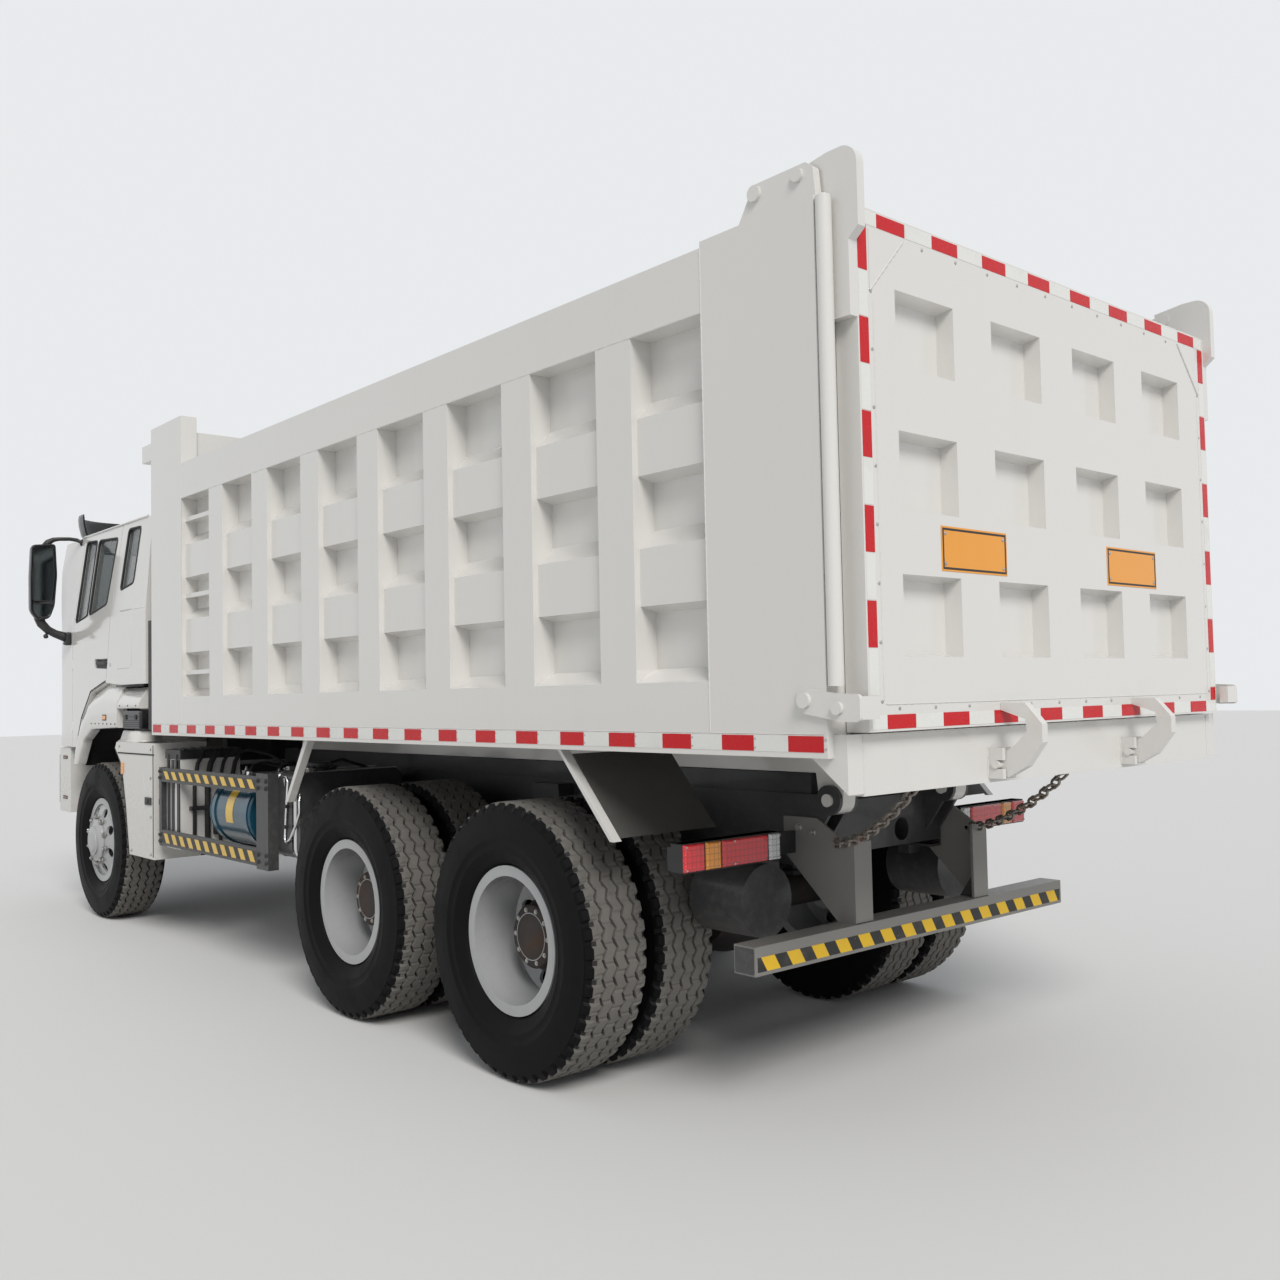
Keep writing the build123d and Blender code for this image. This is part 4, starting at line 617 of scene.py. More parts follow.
class Form:
    """Mesh under construction, in the truck's frame."""

    def __init__(self):
        self.mesh = bmesh.new()
        self.slot = 0

    def keep(self, faces, smooth=False):
        for face in faces:
            face.material_index = self.slot
            face.smooth = smooth
        return faces

    def box(self, low, high, bevel=0.0):
        """Block between two corners, with its edges rounded by the bevel."""
        low, high = Vector(low), Vector(high)
        matrix = Matrix.Translation((low + high) / 2) @ Matrix.Diagonal((*(high - low), 1.0))
        made = bmesh.ops.create_cube(self.mesh, size=1.0, matrix=matrix)
        return self.rounded(made["verts"], bevel)

    def rounded(self, verts, bevel):
        faces = {face for vert in verts for face in vert.link_faces}
        if bevel <= 0:
            return self.keep(faces)
        edges = {edge for vert in verts for edge in vert.link_edges}
        made = bmesh.ops.bevel(
            self.mesh, geom=list(edges), offset=bevel, segments=2, profile=0.6, affect="EDGES",
            clamp_overlap=True)
        near = {face for vert in made["verts"] for face in vert.link_faces}
        return self.keep(near | {face for face in faces if face.is_valid})

    def prism(self, points, depth, bevel=0.0):
        """Closed outline swept along a vector."""
        verts = [self.mesh.verts.new(point) for point in points]
        face = self.mesh.faces.new(verts)
        made = bmesh.ops.extrude_face_region(self.mesh, geom=[face])
        moved = [item for item in made["geom"] if isinstance(item, bmesh.types.BMVert)]
        bmesh.ops.translate(self.mesh, verts=moved, vec=Vector(depth))
        return self.rounded(verts + moved, bevel)

    def rod(self, start, end, radius, sides=16, tip=None):
        """Round bar or cone between two points."""
        start, end = Vector(start), Vector(end)
        along = end - start
        turn = along.to_track_quat("Z", "Y").to_matrix().to_4x4()
        matrix = Matrix.Translation((start + end) / 2) @ turn
        made = bmesh.ops.create_cone(
            self.mesh, cap_ends=True, segments=sides, radius1=radius, radius2=radius if tip is None else tip,
            depth=along.length, matrix=matrix)
        faces = {face for vert in made["verts"] for face in vert.link_faces}
        for face in faces:
            face.material_index = self.slot
            face.smooth = len(face.verts) == 4 and sides > 8
        return faces

    def nut(self, centre, axis, across, height):
        """Hexagon nut on a washer, with its stud's end."""
        centre, axis = Vector(centre), Vector(axis).normalized()
        self.rod(centre, centre + axis * height * 0.22, across * 0.68, 14)
        self.rod(centre, centre + axis * height, across * 0.56, 6, across * 0.52)
        self.rod(centre, centre + axis * height * 1.35, across * 0.26, 8)

    def skin(self, grid, closed=False):
        """Smooth faces between rows of vertices, with the last row joined to the first if closed."""
        faces = []
        for row, after in zip(grid, grid[1:] + grid[:1] if closed else grid[1:]):
            for index in range(len(row) - 1):
                faces.append(
                    self.mesh.faces.new((row[index], row[index + 1], after[index + 1], after[index])))
        return self.keep(faces, True)

    def bridge(self, rings, closed=False):
        """Smooth faces between rings of vertices, capped at both ends or, if closed, joined in a loop."""
        faces = []
        for ring, after in zip(rings, rings[1:] + rings[:1] if closed else rings[1:]):
            for index, vert in enumerate(ring):
                following = (index + 1) % len(ring)
                faces.append(self.mesh.faces.new((vert, ring[following], after[following], after[index])))
        if not closed:
            self.keep([self.mesh.faces.new(rings[0][::-1]), self.mesh.faces.new(rings[-1])])
        return self.keep(faces, True)

    def revolve(self, profile, centre, axis, steps=48):
        """Surface of (radius, along) points turned about an axis."""
        centre, axis = Vector(centre), Vector(axis).normalized()
        side = axis.orthogonal().normalized()
        up = axis.cross(side)
        rings = []
        for step in range(steps):
            angle = 2 * math.pi * step / steps
            out = side * math.cos(angle) + up * math.sin(angle)
            rings.append(
                [self.mesh.verts.new(centre + out * radius + axis * along) for radius, along in profile])
        return self.skin(rings, closed=True)

    def tube(self, path, radius, sides=10, closed=False):
        """Round tube along a path of points, with one radius or a radius for each point."""
        path = [Vector(point) for point in path]
        count = len(path)
        radii = list(radius) if hasattr(radius, "__len__") else [radius] * count
        rings = []
        normal = None
        for index, point in enumerate(path):
            before = path[index - 1] if index or closed else point
            after = path[(index + 1) % count] if index < count - 1 or closed else point
            along = (after - before).normalized()
            if normal is None:
                normal = along.orthogonal().normalized()
            normal = (normal - along * normal.dot(along)).normalized()
            across = along.cross(normal)
            ring = []
            for step in range(sides):
                angle = 2 * math.pi * step / sides
                out = normal * math.cos(angle) + across * math.sin(angle)
                ring.append(self.mesh.verts.new(point + out * radii[index]))
            rings.append(ring)
        return self.bridge(rings, closed)

    def sheet(self, rows):
        """Skin over rows of points."""
        return self.skin([[self.mesh.verts.new(point) for point in row] for row in rows])

    def loft(self, rings):
        """Closed body through rings of points, capped at both ends."""
        return self.bridge([[self.mesh.verts.new(point) for point in ring] for ring in rings])

    def mirrored(self):
        """Adds the mirror image across the truck's middle plane."""
        parts = list(self.mesh.verts) + list(self.mesh.edges) + list(self.mesh.faces)
        made = bmesh.ops.duplicate(self.mesh, geom=parts)
        verts = [item for item in made["geom"] if isinstance(item, bmesh.types.BMVert)]
        faces = [item for item in made["geom"] if isinstance(item, bmesh.types.BMFace)]
        for vert in verts:
            vert.co.y = -vert.co.y
        bmesh.ops.reverse_faces(self.mesh, faces=faces)
        return self

    def done(self, name, body, finishes, slot):
        """Turns the mesh into a piece, which rides on the body if one is named."""
        bmesh.ops.recalc_face_normals(self.mesh, faces=list(self.mesh.faces))
        data = bpy.data.meshes.new(name)
        self.mesh.to_mesh(data)
        self.mesh.free()
        for finish_name in finishes:
            data.materials.append(finish(finish_name))
        piece = bpy.data.objects.new(name, data)
        bpy.context.scene.collection.objects.link(piece)
        if body:
            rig.ride(piece, body)
        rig.slot(piece, slot)
        return piece


def arc(centre, radius, start, end, steps):
    """Flat points round part of a circle, with its angles in degrees."""
    angles = [math.radians(start + (end - start) * step / steps) for step in range(steps + 1)]
    return [(centre[0] + radius * math.cos(angle), centre[1] + radius * math.sin(angle)) for angle in angles]


def box_of(node):
    """Lowest and highest corners of a CAD node, as vectors."""
    low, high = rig.box(node)
    return Vector(low), Vector(high)


# Wheels

SIDES = (("left", 1), ("right", -1))
ZIGZAG_STEPS = 8
CROWN_HALF = 0.125
TREAD_HALF = 0.1435
GROOVES = (-0.081, -0.027, 0.027, 0.081)
TWIN_SPACING = 0.35
BEAD_RADIUS = 0.300
BEAD_Y = 0.106
NUT_CIRCLE = 0.1675
NUT_COUNT = 10
FRONT_DISC_Y = 0.149
REAR_DISC_Y = 0.0165
HUB_REACH = 0.19
HUB_RADIUS = 0.1302


def tyre_centres(node):
    """Middle, radius and half width of each tyre of a CAD node."""
    low, high = box_of(node)
    radius = (high.z - low.z) / 2
    middle = (low + high) / 2
    width = high.y - low.y
    if width < radius:
        return [middle], radius, width / 2
    apart = Vector((0, TWIN_SPACING / 2, 0))
    return [middle - apart, middle + apart], radius, (width - TWIN_SPACING) / 2


def tread_ring(form, centre, radius, kit):
    """Crown of five ribs between zigzag grooves, with shallow cross cuts and notched shoulders."""
    depth = kit.groove_depth
    half = kit.groove_width / 2
    steps = kit.zigzag_count * ZIGZAG_STEPS
    rings = []
    sunk = []
    for step in range(steps):
        angle = 2 * math.pi * step / steps
        phase = kit.zigzag_count * step / steps
        swing = kit.zigzag_swing * (4 * abs(phase % 1 - 0.5) - 1)
        place = step % ZIGZAG_STEPS
        lug = 0.013 if place < 3 else 0.0
        cuts = [depth * 0.32 if (place + shift) % ZIGZAG_STEPS < 1 else 0.0 for shift in (2, 6, 2, 6, 2)]
        row = [(-TREAD_HALF - 0.006, 0.040), (-TREAD_HALF, 0.022 + lug), (-CROWN_HALF - 0.002, 0.004 + lug)]
        row.append((-CROWN_HALF + 0.014, max(lug * 0.6, cuts[0])))
        for index, groove in enumerate(GROOVES):
            middle = groove + swing
            row.extend([
                (middle - half, cuts[index]), (middle - half * 0.7, depth), (middle + half * 0.7, depth),
                (middle + half, cuts[index + 1])])
        row.append((CROWN_HALF - 0.014, max(lug * 0.6, cuts[-1])))
        row.extend(
            [(CROWN_HALF + 0.002, 0.004 + lug), (TREAD_HALF, 0.022 + lug), (TREAD_HALF + 0.006, 0.040)])
        ring = []
        for across, drop in row:
            out = radius - drop - 0.0005
            ring.append(form.mesh.verts.new(
                centre + Vector((out * math.cos(angle), across, out * math.sin(angle)))))
        rings.append(ring)
        sunk.append([drop > 0.006 for across, drop in row])
    for step, ring in enumerate(rings):
        following = (step + 1) % steps
        after = rings[following]
        for index in range(len(ring) - 1):
            face = form.mesh.faces.new((ring[index], ring[index + 1], after[index + 1], after[index]))
            low = sum(
                (sunk[step][index], sunk[step][index + 1], sunk[following][index],
                 sunk[following][index + 1]))
            if index < 2 or index > len(ring) - 4:
                form.slot = 1
            else:
                # Faces sunk into a groove take the groove finish, whose near-black is painted shade.
                form.slot = 2 if low >= 3 else 0
            form.keep([face])


def sidewall(form, centre, radius, half_width, sign):
    """Bulging wall from the shoulder to the bead, with raised rings."""
    profile = [(radius - 0.0365, TREAD_HALF + 0.006)]
    swell = (
        (0.055, 0.151), (0.085, 0.1555), (0.115, half_width - 0.0006), (0.145, half_width - 0.0004),
        (0.152, half_width), (0.158, half_width - 0.003), (0.185, 0.1515), (0.191, 0.1525), (0.197, 0.149),
        (0.215, 0.141), (0.232, 0.130), (0.240, 0.126), (0.246, 0.119))
    for drop, across in swell:
        profile.append((radius - drop, min(across, half_width)))
    profile.extend([(BEAD_RADIUS, BEAD_Y + 0.003), (BEAD_RADIUS - 0.004, BEAD_Y - 0.004)])
    form.revolve([(r, sign * a) for r, a in profile], centre, (0, 1, 0), 72)


class MakeTyres(bpy.types.Operator):
    """Makes the treaded tyres"""
    bl_idname = "truck.tyres"
    bl_label = "Tyres"

    def execute(self, context):
        kit = context.scene.truck_tread
        for body, members in frame["record"]["behaviour"]["bodies"].items():
            for node in members:
                if not node.startswith("tyre"):
                    continue
                centres, radius, half_width = tyre_centres(node)
                form = Form()
                for centre in centres:
                    form.slot = 0
                    tread_ring(form, centre, radius, kit)
                    form.slot = 1
                    for sign in (1, -1):
                        sidewall(form, centre, radius, half_width, sign)
                piece = form.done(
                    f"treaded_{node}", body, ("tyre_tread", "tyre_sidewall", "tyre_groove"), "tyre_rubber")
                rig.replaces(piece, node)
        return {"FINISHED"}


class MakeWheelNuts(bpy.types.Operator):
    """Makes the wheel nuts, hub caps and valve stems"""
    bl_idname = "truck.wheel_nuts"
    bl_label = "Wheel nuts and hubs"

    def execute(self, context):
        for side, sign in SIDES:
            self.front(side, sign)
            for axle in ("middle", "rear"):
                self.rear(axle, side, sign)
        return {"FINISHED"}

    def ring_of_nuts(self, form, centre, sign, across, height):
        for index in range(NUT_COUNT):
            angle = 2 * math.pi * (index + 0.5) / NUT_COUNT
            place = centre + Vector((NUT_CIRCLE * math.cos(angle), 0, NUT_CIRCLE * math.sin(angle)))
            form.nut(place, (0, sign, 0), across, height)

    def front(self, side, sign):
        low, high = box_of(f"tyre_front_{side}")
        centre = (low + high) / 2
        disc = centre + Vector((0, sign * FRONT_DISC_Y, 0))
        form = Form()
        self.ring_of_nuts(form, disc, sign, 0.030, 0.020)
        form.slot = 1
        cover = [(0.150, 0.0), (0.152, 0.012), (0.145, 0.018), (0.104, 0.022), (0.100, 0.036), (0.084, 0.040)]
        form.revolve([(r, sign * a) for r, a in cover], disc, (0, 1, 0), 48)
        cap = [(0.086, 0.034), (0.086, 0.041), (0.080, 0.0485), (0.050, 0.0495), (0.0005, 0.0498)]
        form.revolve([(r, sign * a) for r, a in cap], disc - Vector((0, sign * 0.002, 0)), (0, 1, 0), 40)
        form.slot = 2
        valve = centre + Vector((0.215, sign * 0.12, 0.06))
        form.rod(valve, valve + Vector((0.012, sign * 0.035, 0)), 0.004, 8)
        form.done(f"front_hub_{side}", f"front_wheel_{side}", ("zinc", "enamel_rim", "zinc"), "wheel_silver")

    def rear(self, axle, side, sign):
        low, high = box_of(f"tyres_{axle}_{side}")
        middle = (low + high) / 2
        form = Form()
        disc = middle + Vector((0, sign * REAR_DISC_Y, 0))
        self.ring_of_nuts(form, disc, sign, 0.034, 0.045)
        form.slot = 1
        collar = [
            (0.149, 0.0), (0.149, 0.104), (0.144, 0.110), (HUB_RADIUS, 0.112), (HUB_RADIUS, 0.130),
            (0.126, 0.134)]
        form.revolve([(r, sign * a) for r, a in collar], disc, (0, 1, 0), 48)
        outer = middle + Vector((0, sign * (HUB_REACH + 0.0004), 0))
        form.revolve(
            [(HUB_RADIUS, -0.052 * sign), (HUB_RADIUS, -0.014 * sign), (0.122, -0.004 * sign),
             (0.096, -0.003 * sign), (0.092, 0.0004 * sign), (0.0005, 0.0004 * sign)], outer, (0, 1, 0), 40)
        form.slot = 2
        for index in range(10):
            angle = 2 * math.pi * index / 10
            place = outer + Vector((0.108 * math.cos(angle), -sign * 0.0038, 0.108 * math.sin(angle)))
            form.nut(place, (0, sign, 0), 0.015, 0.004)
        form.done(
            f"hub_{axle}_{side}", f"{axle}_wheels_{side}", ("zinc", "hub_brown", "zinc"), "wheel_silver")


# Load bed

BED_SIDE = box_of("bed_sides")[1].y
GATE_LOW, GATE_HIGH = box_of("tailgate")
GATE_FACE = GATE_LOW.x
TAPE_LIFT = 0.0012
SIDE_TAPE_Z = 1.346
GATE_TAPE_INSET = 0.006
SILL_REAR = -4.010
HOOK_Y = 0.45


def tape_run(form, start, along, across, out, length, block, width, red_first=0.0):
    """Row of red and cream blocks along a line, with the first red after an offset."""
    start, along, across, out = Vector(start), Vector(along), Vector(across), Vector(out)
    red = red_first <= 0
    at = red_first if red else red_first - block
    while at < length - 0.002:
        low, high = max(at, 0.0), min(at + block, length)
        if high - low > 0.004:
            form.slot = 0 if red else 1
            near = start + along * (low + 0.0015) + across * 0.0015
            far = start + along * (high - 0.0015) + across * (width - 0.0015) + out * TAPE_LIFT
            form.box([min(a, b) for a, b in zip(near, far)], [max(a, b) for a, b in zip(near, far)])
        at += block
        red = not red


def screw(form, place, out, radius=0.006):
    """Low round screw head."""
    place, out = Vector(place), Vector(out)
    form.rod(place, place + out * 0.0022, radius, 10, radius * 0.75)


class MakeTape(bpy.types.Operator):
    """Lays the reflective tape on the sides and the tailgate"""
    bl_idname = "truck.tape"
    bl_label = "Reflective tape"

    def execute(self, context):
        kit = context.scene.truck_tape
        self.sides(kit)
        self.gate(kit)
        return {"FINISHED"}

    def sides(self, kit):
        low, high = box_of("bed_sides")
        form = Form()
        tape_run(
            form, (low.x + 0.012, BED_SIDE, SIDE_TAPE_Z), (1, 0, 0), (0, 0, 1), (0, 1, 0),
            high.x - low.x - 0.03, kit.block_length, kit.width)
        form.slot = 2
        for index in range(20):
            for lift in (0.012, 0.040):
                screw(
                    form, (low.x + 0.006 + index * 2 * kit.block_length, BED_SIDE, SIDE_TAPE_Z + lift),
                    (0, 1, 0), 0.0045)
        form.mirrored().done("side_tape", "bed", ("tape_red", "tape_cream", "zinc"), "lamp_plastic")

    def gate(self, kit):
        form = Form()
        width = 0.046
        half = GATE_HIGH.y
        high = GATE_HIGH.z - GATE_TAPE_INSET
        low = GATE_LOW.z + GATE_TAPE_INSET
        for side in (1, -1):
            tape_run(
                form, (GATE_FACE, side * (half - GATE_TAPE_INSET), high - width), (0, 0, -1), (0, -side, 0),
                (-1, 0, 0), high - low - width * 2, kit.block_length, width)
        for level, offset in ((high - width, 0.09), (low, 0.075)):
            tape_run(
                form, (GATE_FACE, half - 2 * GATE_TAPE_INSET, level), (0, -1, 0), (0, 0, 1), (-1, 0, 0),
                2 * half - 4 * GATE_TAPE_INSET, kit.block_length, width, offset)
        form.slot = 2
        for index in range(9):
            level = high - 0.07 - index * 0.178
            for side in (1, -1):
                screw(form, (GATE_FACE, side * (half - 0.066), level), (-1, 0, 0))
        for index in range(12):
            place = half - 0.15 - index * (2 * half - 0.3) / 11
            screw(form, (GATE_FACE, place, high - 0.062), (-1, 0, 0))
            screw(form, (GATE_FACE, place, low + 0.062), (-1, 0, 0))
        form.done("gate_tape", "gate", ("tape_red", "tape_cream", "zinc"), "lamp_plastic")


SIGN_SPANS = ((0.400, 0.775), (-0.667, -0.281))
SIGN_LOW, SIGN_HIGH = 1.905, 2.050


class MakeSigns(bpy.types.Operator):
    """Makes the two blank orange signs on the tailgate"""
    bl_idname = "truck.signs"
    bl_label = "Blank signs"

    def execute(self, context):
        form = Form()
        for y_low, y_high in SIGN_SPANS:
            form.slot = 0
            form.box((GATE_FACE - 0.0018, y_low, SIGN_LOW), (GATE_FACE + 0.0002, y_high, SIGN_HIGH), 0.0006)
            form.slot = 1
            band = 0.007
            for bottom, top in (
                    (SIGN_LOW + 0.006, SIGN_LOW + 0.006 + band),
                    (SIGN_HIGH - 0.006 - band, SIGN_HIGH - 0.006)):
                form.box(
                    (GATE_FACE - 0.0024, y_low + 0.006, bottom), (GATE_FACE - 0.0017, y_high - 0.006, top))
            for left, right in (
                    (y_low + 0.006, y_low + 0.006 + band), (y_high - 0.006 - band, y_high - 0.006)):
                form.box(
                    (GATE_FACE - 0.0024, left, SIGN_LOW + 0.013),
                    (GATE_FACE - 0.0017, right, SIGN_HIGH - 0.013))
            form.slot = 2
            for y in (y_low + 0.022, y_high - 0.022):
                for z in (SIGN_LOW + 0.024, SIGN_HIGH - 0.024):
                    screw(form, (GATE_FACE - 0.0018, y, z), (-1, 0, 0), 0.007)
        form.done("gate_signs", "gate", ("sign_orange", "plastic_black", "zinc"), "lamp_plastic")
        return {"FINISHED"}


BEAD_ANGLES = [2 * math.pi * index / 6 for index in range(6)]


def bead(form, start, end, radius=0.004, scallop=0.028):
    """Weld bead: a low ridge of overlapping ripples between two points."""
    start, end = Vector(start), Vector(end)
    along = end - start
    count = max(3, min(60, int(along.length / scallop)))
    turn = along.to_track_quat("Z", "Y").to_matrix()
    side, up = turn.col[0], turn.col[1]
    rings = []
    for step in range(2 * count + 1):
        swell = radius * (1.0 if step % 2 else 0.62)
        middle = start + along * step / (2 * count)
        ring = [middle + (side * math.cos(angle) + up * math.sin(angle)) * swell for angle in BEAD_ANGLES]
        rings.append(ring + ring[:1])
    form.sheet(rings)


class MakeBedSeams(bpy.types.Operator):
    """Makes the weld beads and folded gussets of the bed"""
    bl_idname = "truck.bed_seams"
    bl_label = "Bed seams"

    def execute(self, context):
        self.gate_gussets()
        self.side_beads()
        self.sill()
        return {"FINISHED"}

    def gate_gussets(self):
        form = Form()
        x = GATE_FACE
        for side in (1, -1):
            edge = side * (GATE_HIGH.y - 0.060)
            corner = side * (GATE_HIGH.y - 0.235)
            top = GATE_HIGH.z - 0.062
            points = [(x, edge, top), (x, edge, top - 0.19), (x, corner, top)]
            if side < 0:
                points.reverse()
            form.prism(points, (-0.0025, 0, 0))
            bead(form, (x - 0.001, edge, top - 0.19), (x - 0.001, corner, top), 0.0045)
        for side in (1, -1):
            bead(
                form, (x, side * (GATE_HIGH.y - 0.075), 1.50), (x, side * (GATE_HIGH.y - 0.075), 2.72), 0.003)
        bead(form, (x, 1.08, 1.487), (x, -1.08, 1.487), 0.003)
        form.done("gate_seams", "gate", ("enamel_body",), "white_paint")

    def side_beads(self):
        form = Form()
        for x in (-3.467, 1.137):
            bead(form, (x, BED_SIDE - 0.0005, 1.405), (x, BED_SIDE - 0.0005, 3.005), 0.0032)
        bead(form, (-3.46, BED_SIDE - 0.001, 2.792), (1.13, BED_SIDE - 0.001, 2.792), 0.003, scallop=0.08)
        bead(form, (-3.95, BED_SIDE - 0.0005, 1.402), (1.64, BED_SIDE - 0.0005, 1.402), 0.0025, scallop=0.1)
        form.mirrored().done("side_seams", "bed", ("enamel_body",), "white_paint")

    def sill(self):
        form = Form()
        rear = SILL_REAR
        bead(form, (rear, 1.12, 1.398), (rear, -1.12, 1.398), 0.003)
        for side in (1, -1):
            bead(form, (rear, side * 1.146, 1.225), (rear, side * 1.146, 1.395), 0.0035)
            for hook in (HOOK_Y, -HOOK_Y):
                y = hook + side * 0.041
                bead(form, (rear - 0.001, y, 1.232), (rear - 0.001, y, 1.327), 0.0035)
        form.done("sill_seams", "bed", ("enamel_body",), "white_paint")


# Rear end

HANGER_Y = 0.437
BAR_LOW, BAR_HIGH = box_of("underrun_bar")
LAMP_LOW, LAMP_HIGH = box_of("tail_lamps")
LAMP_INNER = 0.593


class MakeUnderrunBar(bpy.types.Operator):
    """Makes the striped face, end caps and bolts of the underrun bar"""
    bl_idname = "truck.underrun"
    bl_label = "Underrun bar"

    def execute(self, context):
        form = Form()
        x = BAR_LOW.x
        half = BAR_HIGH.y
        form.box((x - 0.0010, -half + 0.012, 0.570), (x + 0.0004, half - 0.012, 0.620))
        form.slot = 1
        for side in (1, -1):
            for z in (0.575, 0.638):
                form.box(
                    (x + 0.004, side * half - 0.0015, z - 0.002),
                    (x + 0.096, side * half + 0.0005, z + 0.002))
            cap_low = side * half - (0.003 if side < 0 else 0.0005)
            form.box((x + 0.006, cap_low, 0.563), (x + 0.094, cap_low + 0.0035, 0.651), 0.0015)
        form.slot = 2
        for side in (1, -1):
            for place in ((-3.12, 1.0), (-3.19, 0.985), (-3.07, 0.93)):
                form.nut((place[0], side * HANGER_Y, place[1]), (0, side, 0), 0.022, 0.012)
        form.slot = 1
        for side in (1, -1):
            form.prism(
                [(-3.378, side * 0.350, 0.66), (-3.310, side * 0.350, 0.66), (-3.378, side * 0.350, 0.76)],
                (0, side * 0.006, 0))
            bead(form, (-3.3905, side * 0.340, 0.6575), (-3.3905, side * 0.436, 0.6575), 0.003)
        form.done(
            "underrun_stripes", "chassis", ("hazard_stripes", "enamel_chassis", "zinc"), "chassis_paint")
        return {"FINISHED"}


LENS_SPANS = (
    ("lens_red", 0.000, 0.104), ("lens_amber", 0.108, 0.188), ("lens_red", 0.192, 0.435),
    ("lens_clear", 0.439, 0.503))


class MakeTailLamps(bpy.types.Operator):
    """Makes the ribbed lenses, housings and cables of the tail lamps"""
    bl_idname = "truck.tail_lamps"
    bl_label = "Tail lamps"

    def execute(self, context):
        form = Form()
        x = LAMP_LOW.x
        for slot, name in enumerate(("lens_red", "lens_amber", "lens_clear")):
            form.slot = slot
            for lens_name, start, end in LENS_SPANS:
                if lens_name == name:
                    outer = LAMP_HIGH.y - 0.0015
                    self.lens(form, x, outer - end, outer - start)
        form.slot = 3
        outer, inner = LAMP_HIGH.y, LAMP_INNER
        form.box((x - 0.001, inner, LAMP_LOW.z), (x + 0.058, outer, LAMP_LOW.z + 0.0035), 0.001)
        form.box((x - 0.001, inner, LAMP_HIGH.z - 0.0035), (x + 0.058, outer, LAMP_HIGH.z), 0.001)
        for start, end in ((0.104, 0.108), (0.188, 0.192), (0.435, 0.439)):
            form.box(
                (x - 0.0035, outer - 0.0015 - end, LAMP_LOW.z + 0.002),
                (x, outer - 0.0015 - start, LAMP_HIGH.z - 0.002))
        form.slot = 4
        for y in (inner + 0.012, outer - 0.012, (inner + outer) / 2):
            for z in (LAMP_LOW.z + 0.012, LAMP_HIGH.z - 0.012):
                form.rod((x - 0.0105, y, z), (x - 0.0125, y, z), 0.0045, 10, 0.0035)
        form.slot = 3
        path = [
            (-3.095, 0.640, 0.945), (-3.070, 0.620, 0.940), (-3.060, 0.560, 0.905), (-3.066, 0.490, 0.912),
            (-3.078, 0.440, 0.95)]
        form.tube(path, 0.007, 8)
        form.mirrored().done(
            "lamp_lenses", "chassis", ("lens_red", "lens_amber", "lens_clear", "plastic_black", "zinc"),
            "lamp_plastic")
        return {"FINISHED"}

    def lens(self, form, x, low, high):
        """Crowned lens with a raised rim and upright flutes."""
        bottom, top = LAMP_LOW.z + 0.004, LAMP_HIGH.z - 0.004
        columns = max(6, int((high - low) / 0.0045))
        rows = []
        for level in (0.0, 0.02, 0.05, 0.09, 0.14, 0.30, 0.5, 0.70, 0.86, 0.91, 0.95, 0.98, 1.0):
            rim = 0.0 if level in (0.0, 1.0) else 0.007 if level in (0.02, 0.98) else 0.0112
            if 0.1 < level < 0.9:
                rim = 0.0092 + 0.0012 * math.sin(math.pi * level)
            row = []
            for column in range(columns + 1):
                share = column / columns
                lift = rim
                if column in (0, columns):
                    lift = 0.0
                elif column in (1, columns - 1):
                    lift = min(rim, 0.007)
                elif 0.1 < level < 0.9:
                    lift = rim + (0.0007 if column % 2 else -0.0007)
                row.append((x - lift, low + (high - low) * share, bottom + (top - bottom) * level))
            rows.append(row)
        form.sheet(rows)


CHAIN_ENDS = (
    ((-3.925, 0.780, 1.212), (-3.300, 0.437, 0.950)), ((-3.985, -0.040, 1.212), (-3.300, -0.437, 0.935)))
LINK_PITCH = 0.047


class MakeChains(bpy.types.Operator):
    """Makes the chains between the sill and the chassis"""
    bl_idname = "truck.chains"
    bl_label = "Chains"

    def execute(self, context):
        form = Form()
        for top, foot in CHAIN_ENDS:
            self.chain(form, Vector(top), Vector(foot))
        piece = form.done("sill_chains", None, ("chain_steel",), "bright_steel")
        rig.blend(piece, "bed", "chassis", start=(-3.90, 0, 1.20), end=(-3.32, 0, 0.88))
        return {"FINISHED"}

    def chain(self, form, top, foot):
        span = foot - top
        sag = 0.045
        count = int(span.length * 1.02 / LINK_PITCH)
        points = []
        for step in range(count + 1):
            share = step / count
            points.append(top + span * share - Vector((0, 0, 4 * sag * share * (1 - share))))
        for index in range(count):
            self.link(form, points[index], points[index + 1], index % 2)
        for end in (top + Vector((0, 0, 0.004)), foot):
            form.rod(end - Vector((0, 0.012, 0)), end + Vector((0, 0.012, 0)), 0.008, 10)

    def link(self, form, start, end, turned):
        along = (end - start).normalized()
        across = along.cross(Vector((0, 0, 1))).normalized()
        if turned:
            across = along.cross(across)
        middle = (start + end) / 2
        reach, half, wire = LINK_PITCH / 2, 0.0155, 0.0055
        path = []
        for step in range(14):
            angle = 2 * math.pi * step / 14
            stretch = reach if math.cos(angle) > 0 else -reach
            reach_out = stretch * 0.62 + half * 0.95 * math.cos(angle)
            path.append(middle + along * reach_out + across * (half * math.sin(angle)))
        form.tube(path, wire, 6, closed=True)


# Flanks of the chassis

GUARD_Y = box_of("side_guards")[1].y
GUARD_RAILS = ((1.035, 1.120), (0.635, 0.730))
STRIPE_PITCH = 0.127
STRIPE_WIDTH = 0.062
STRIPE_LEAN = 0.045


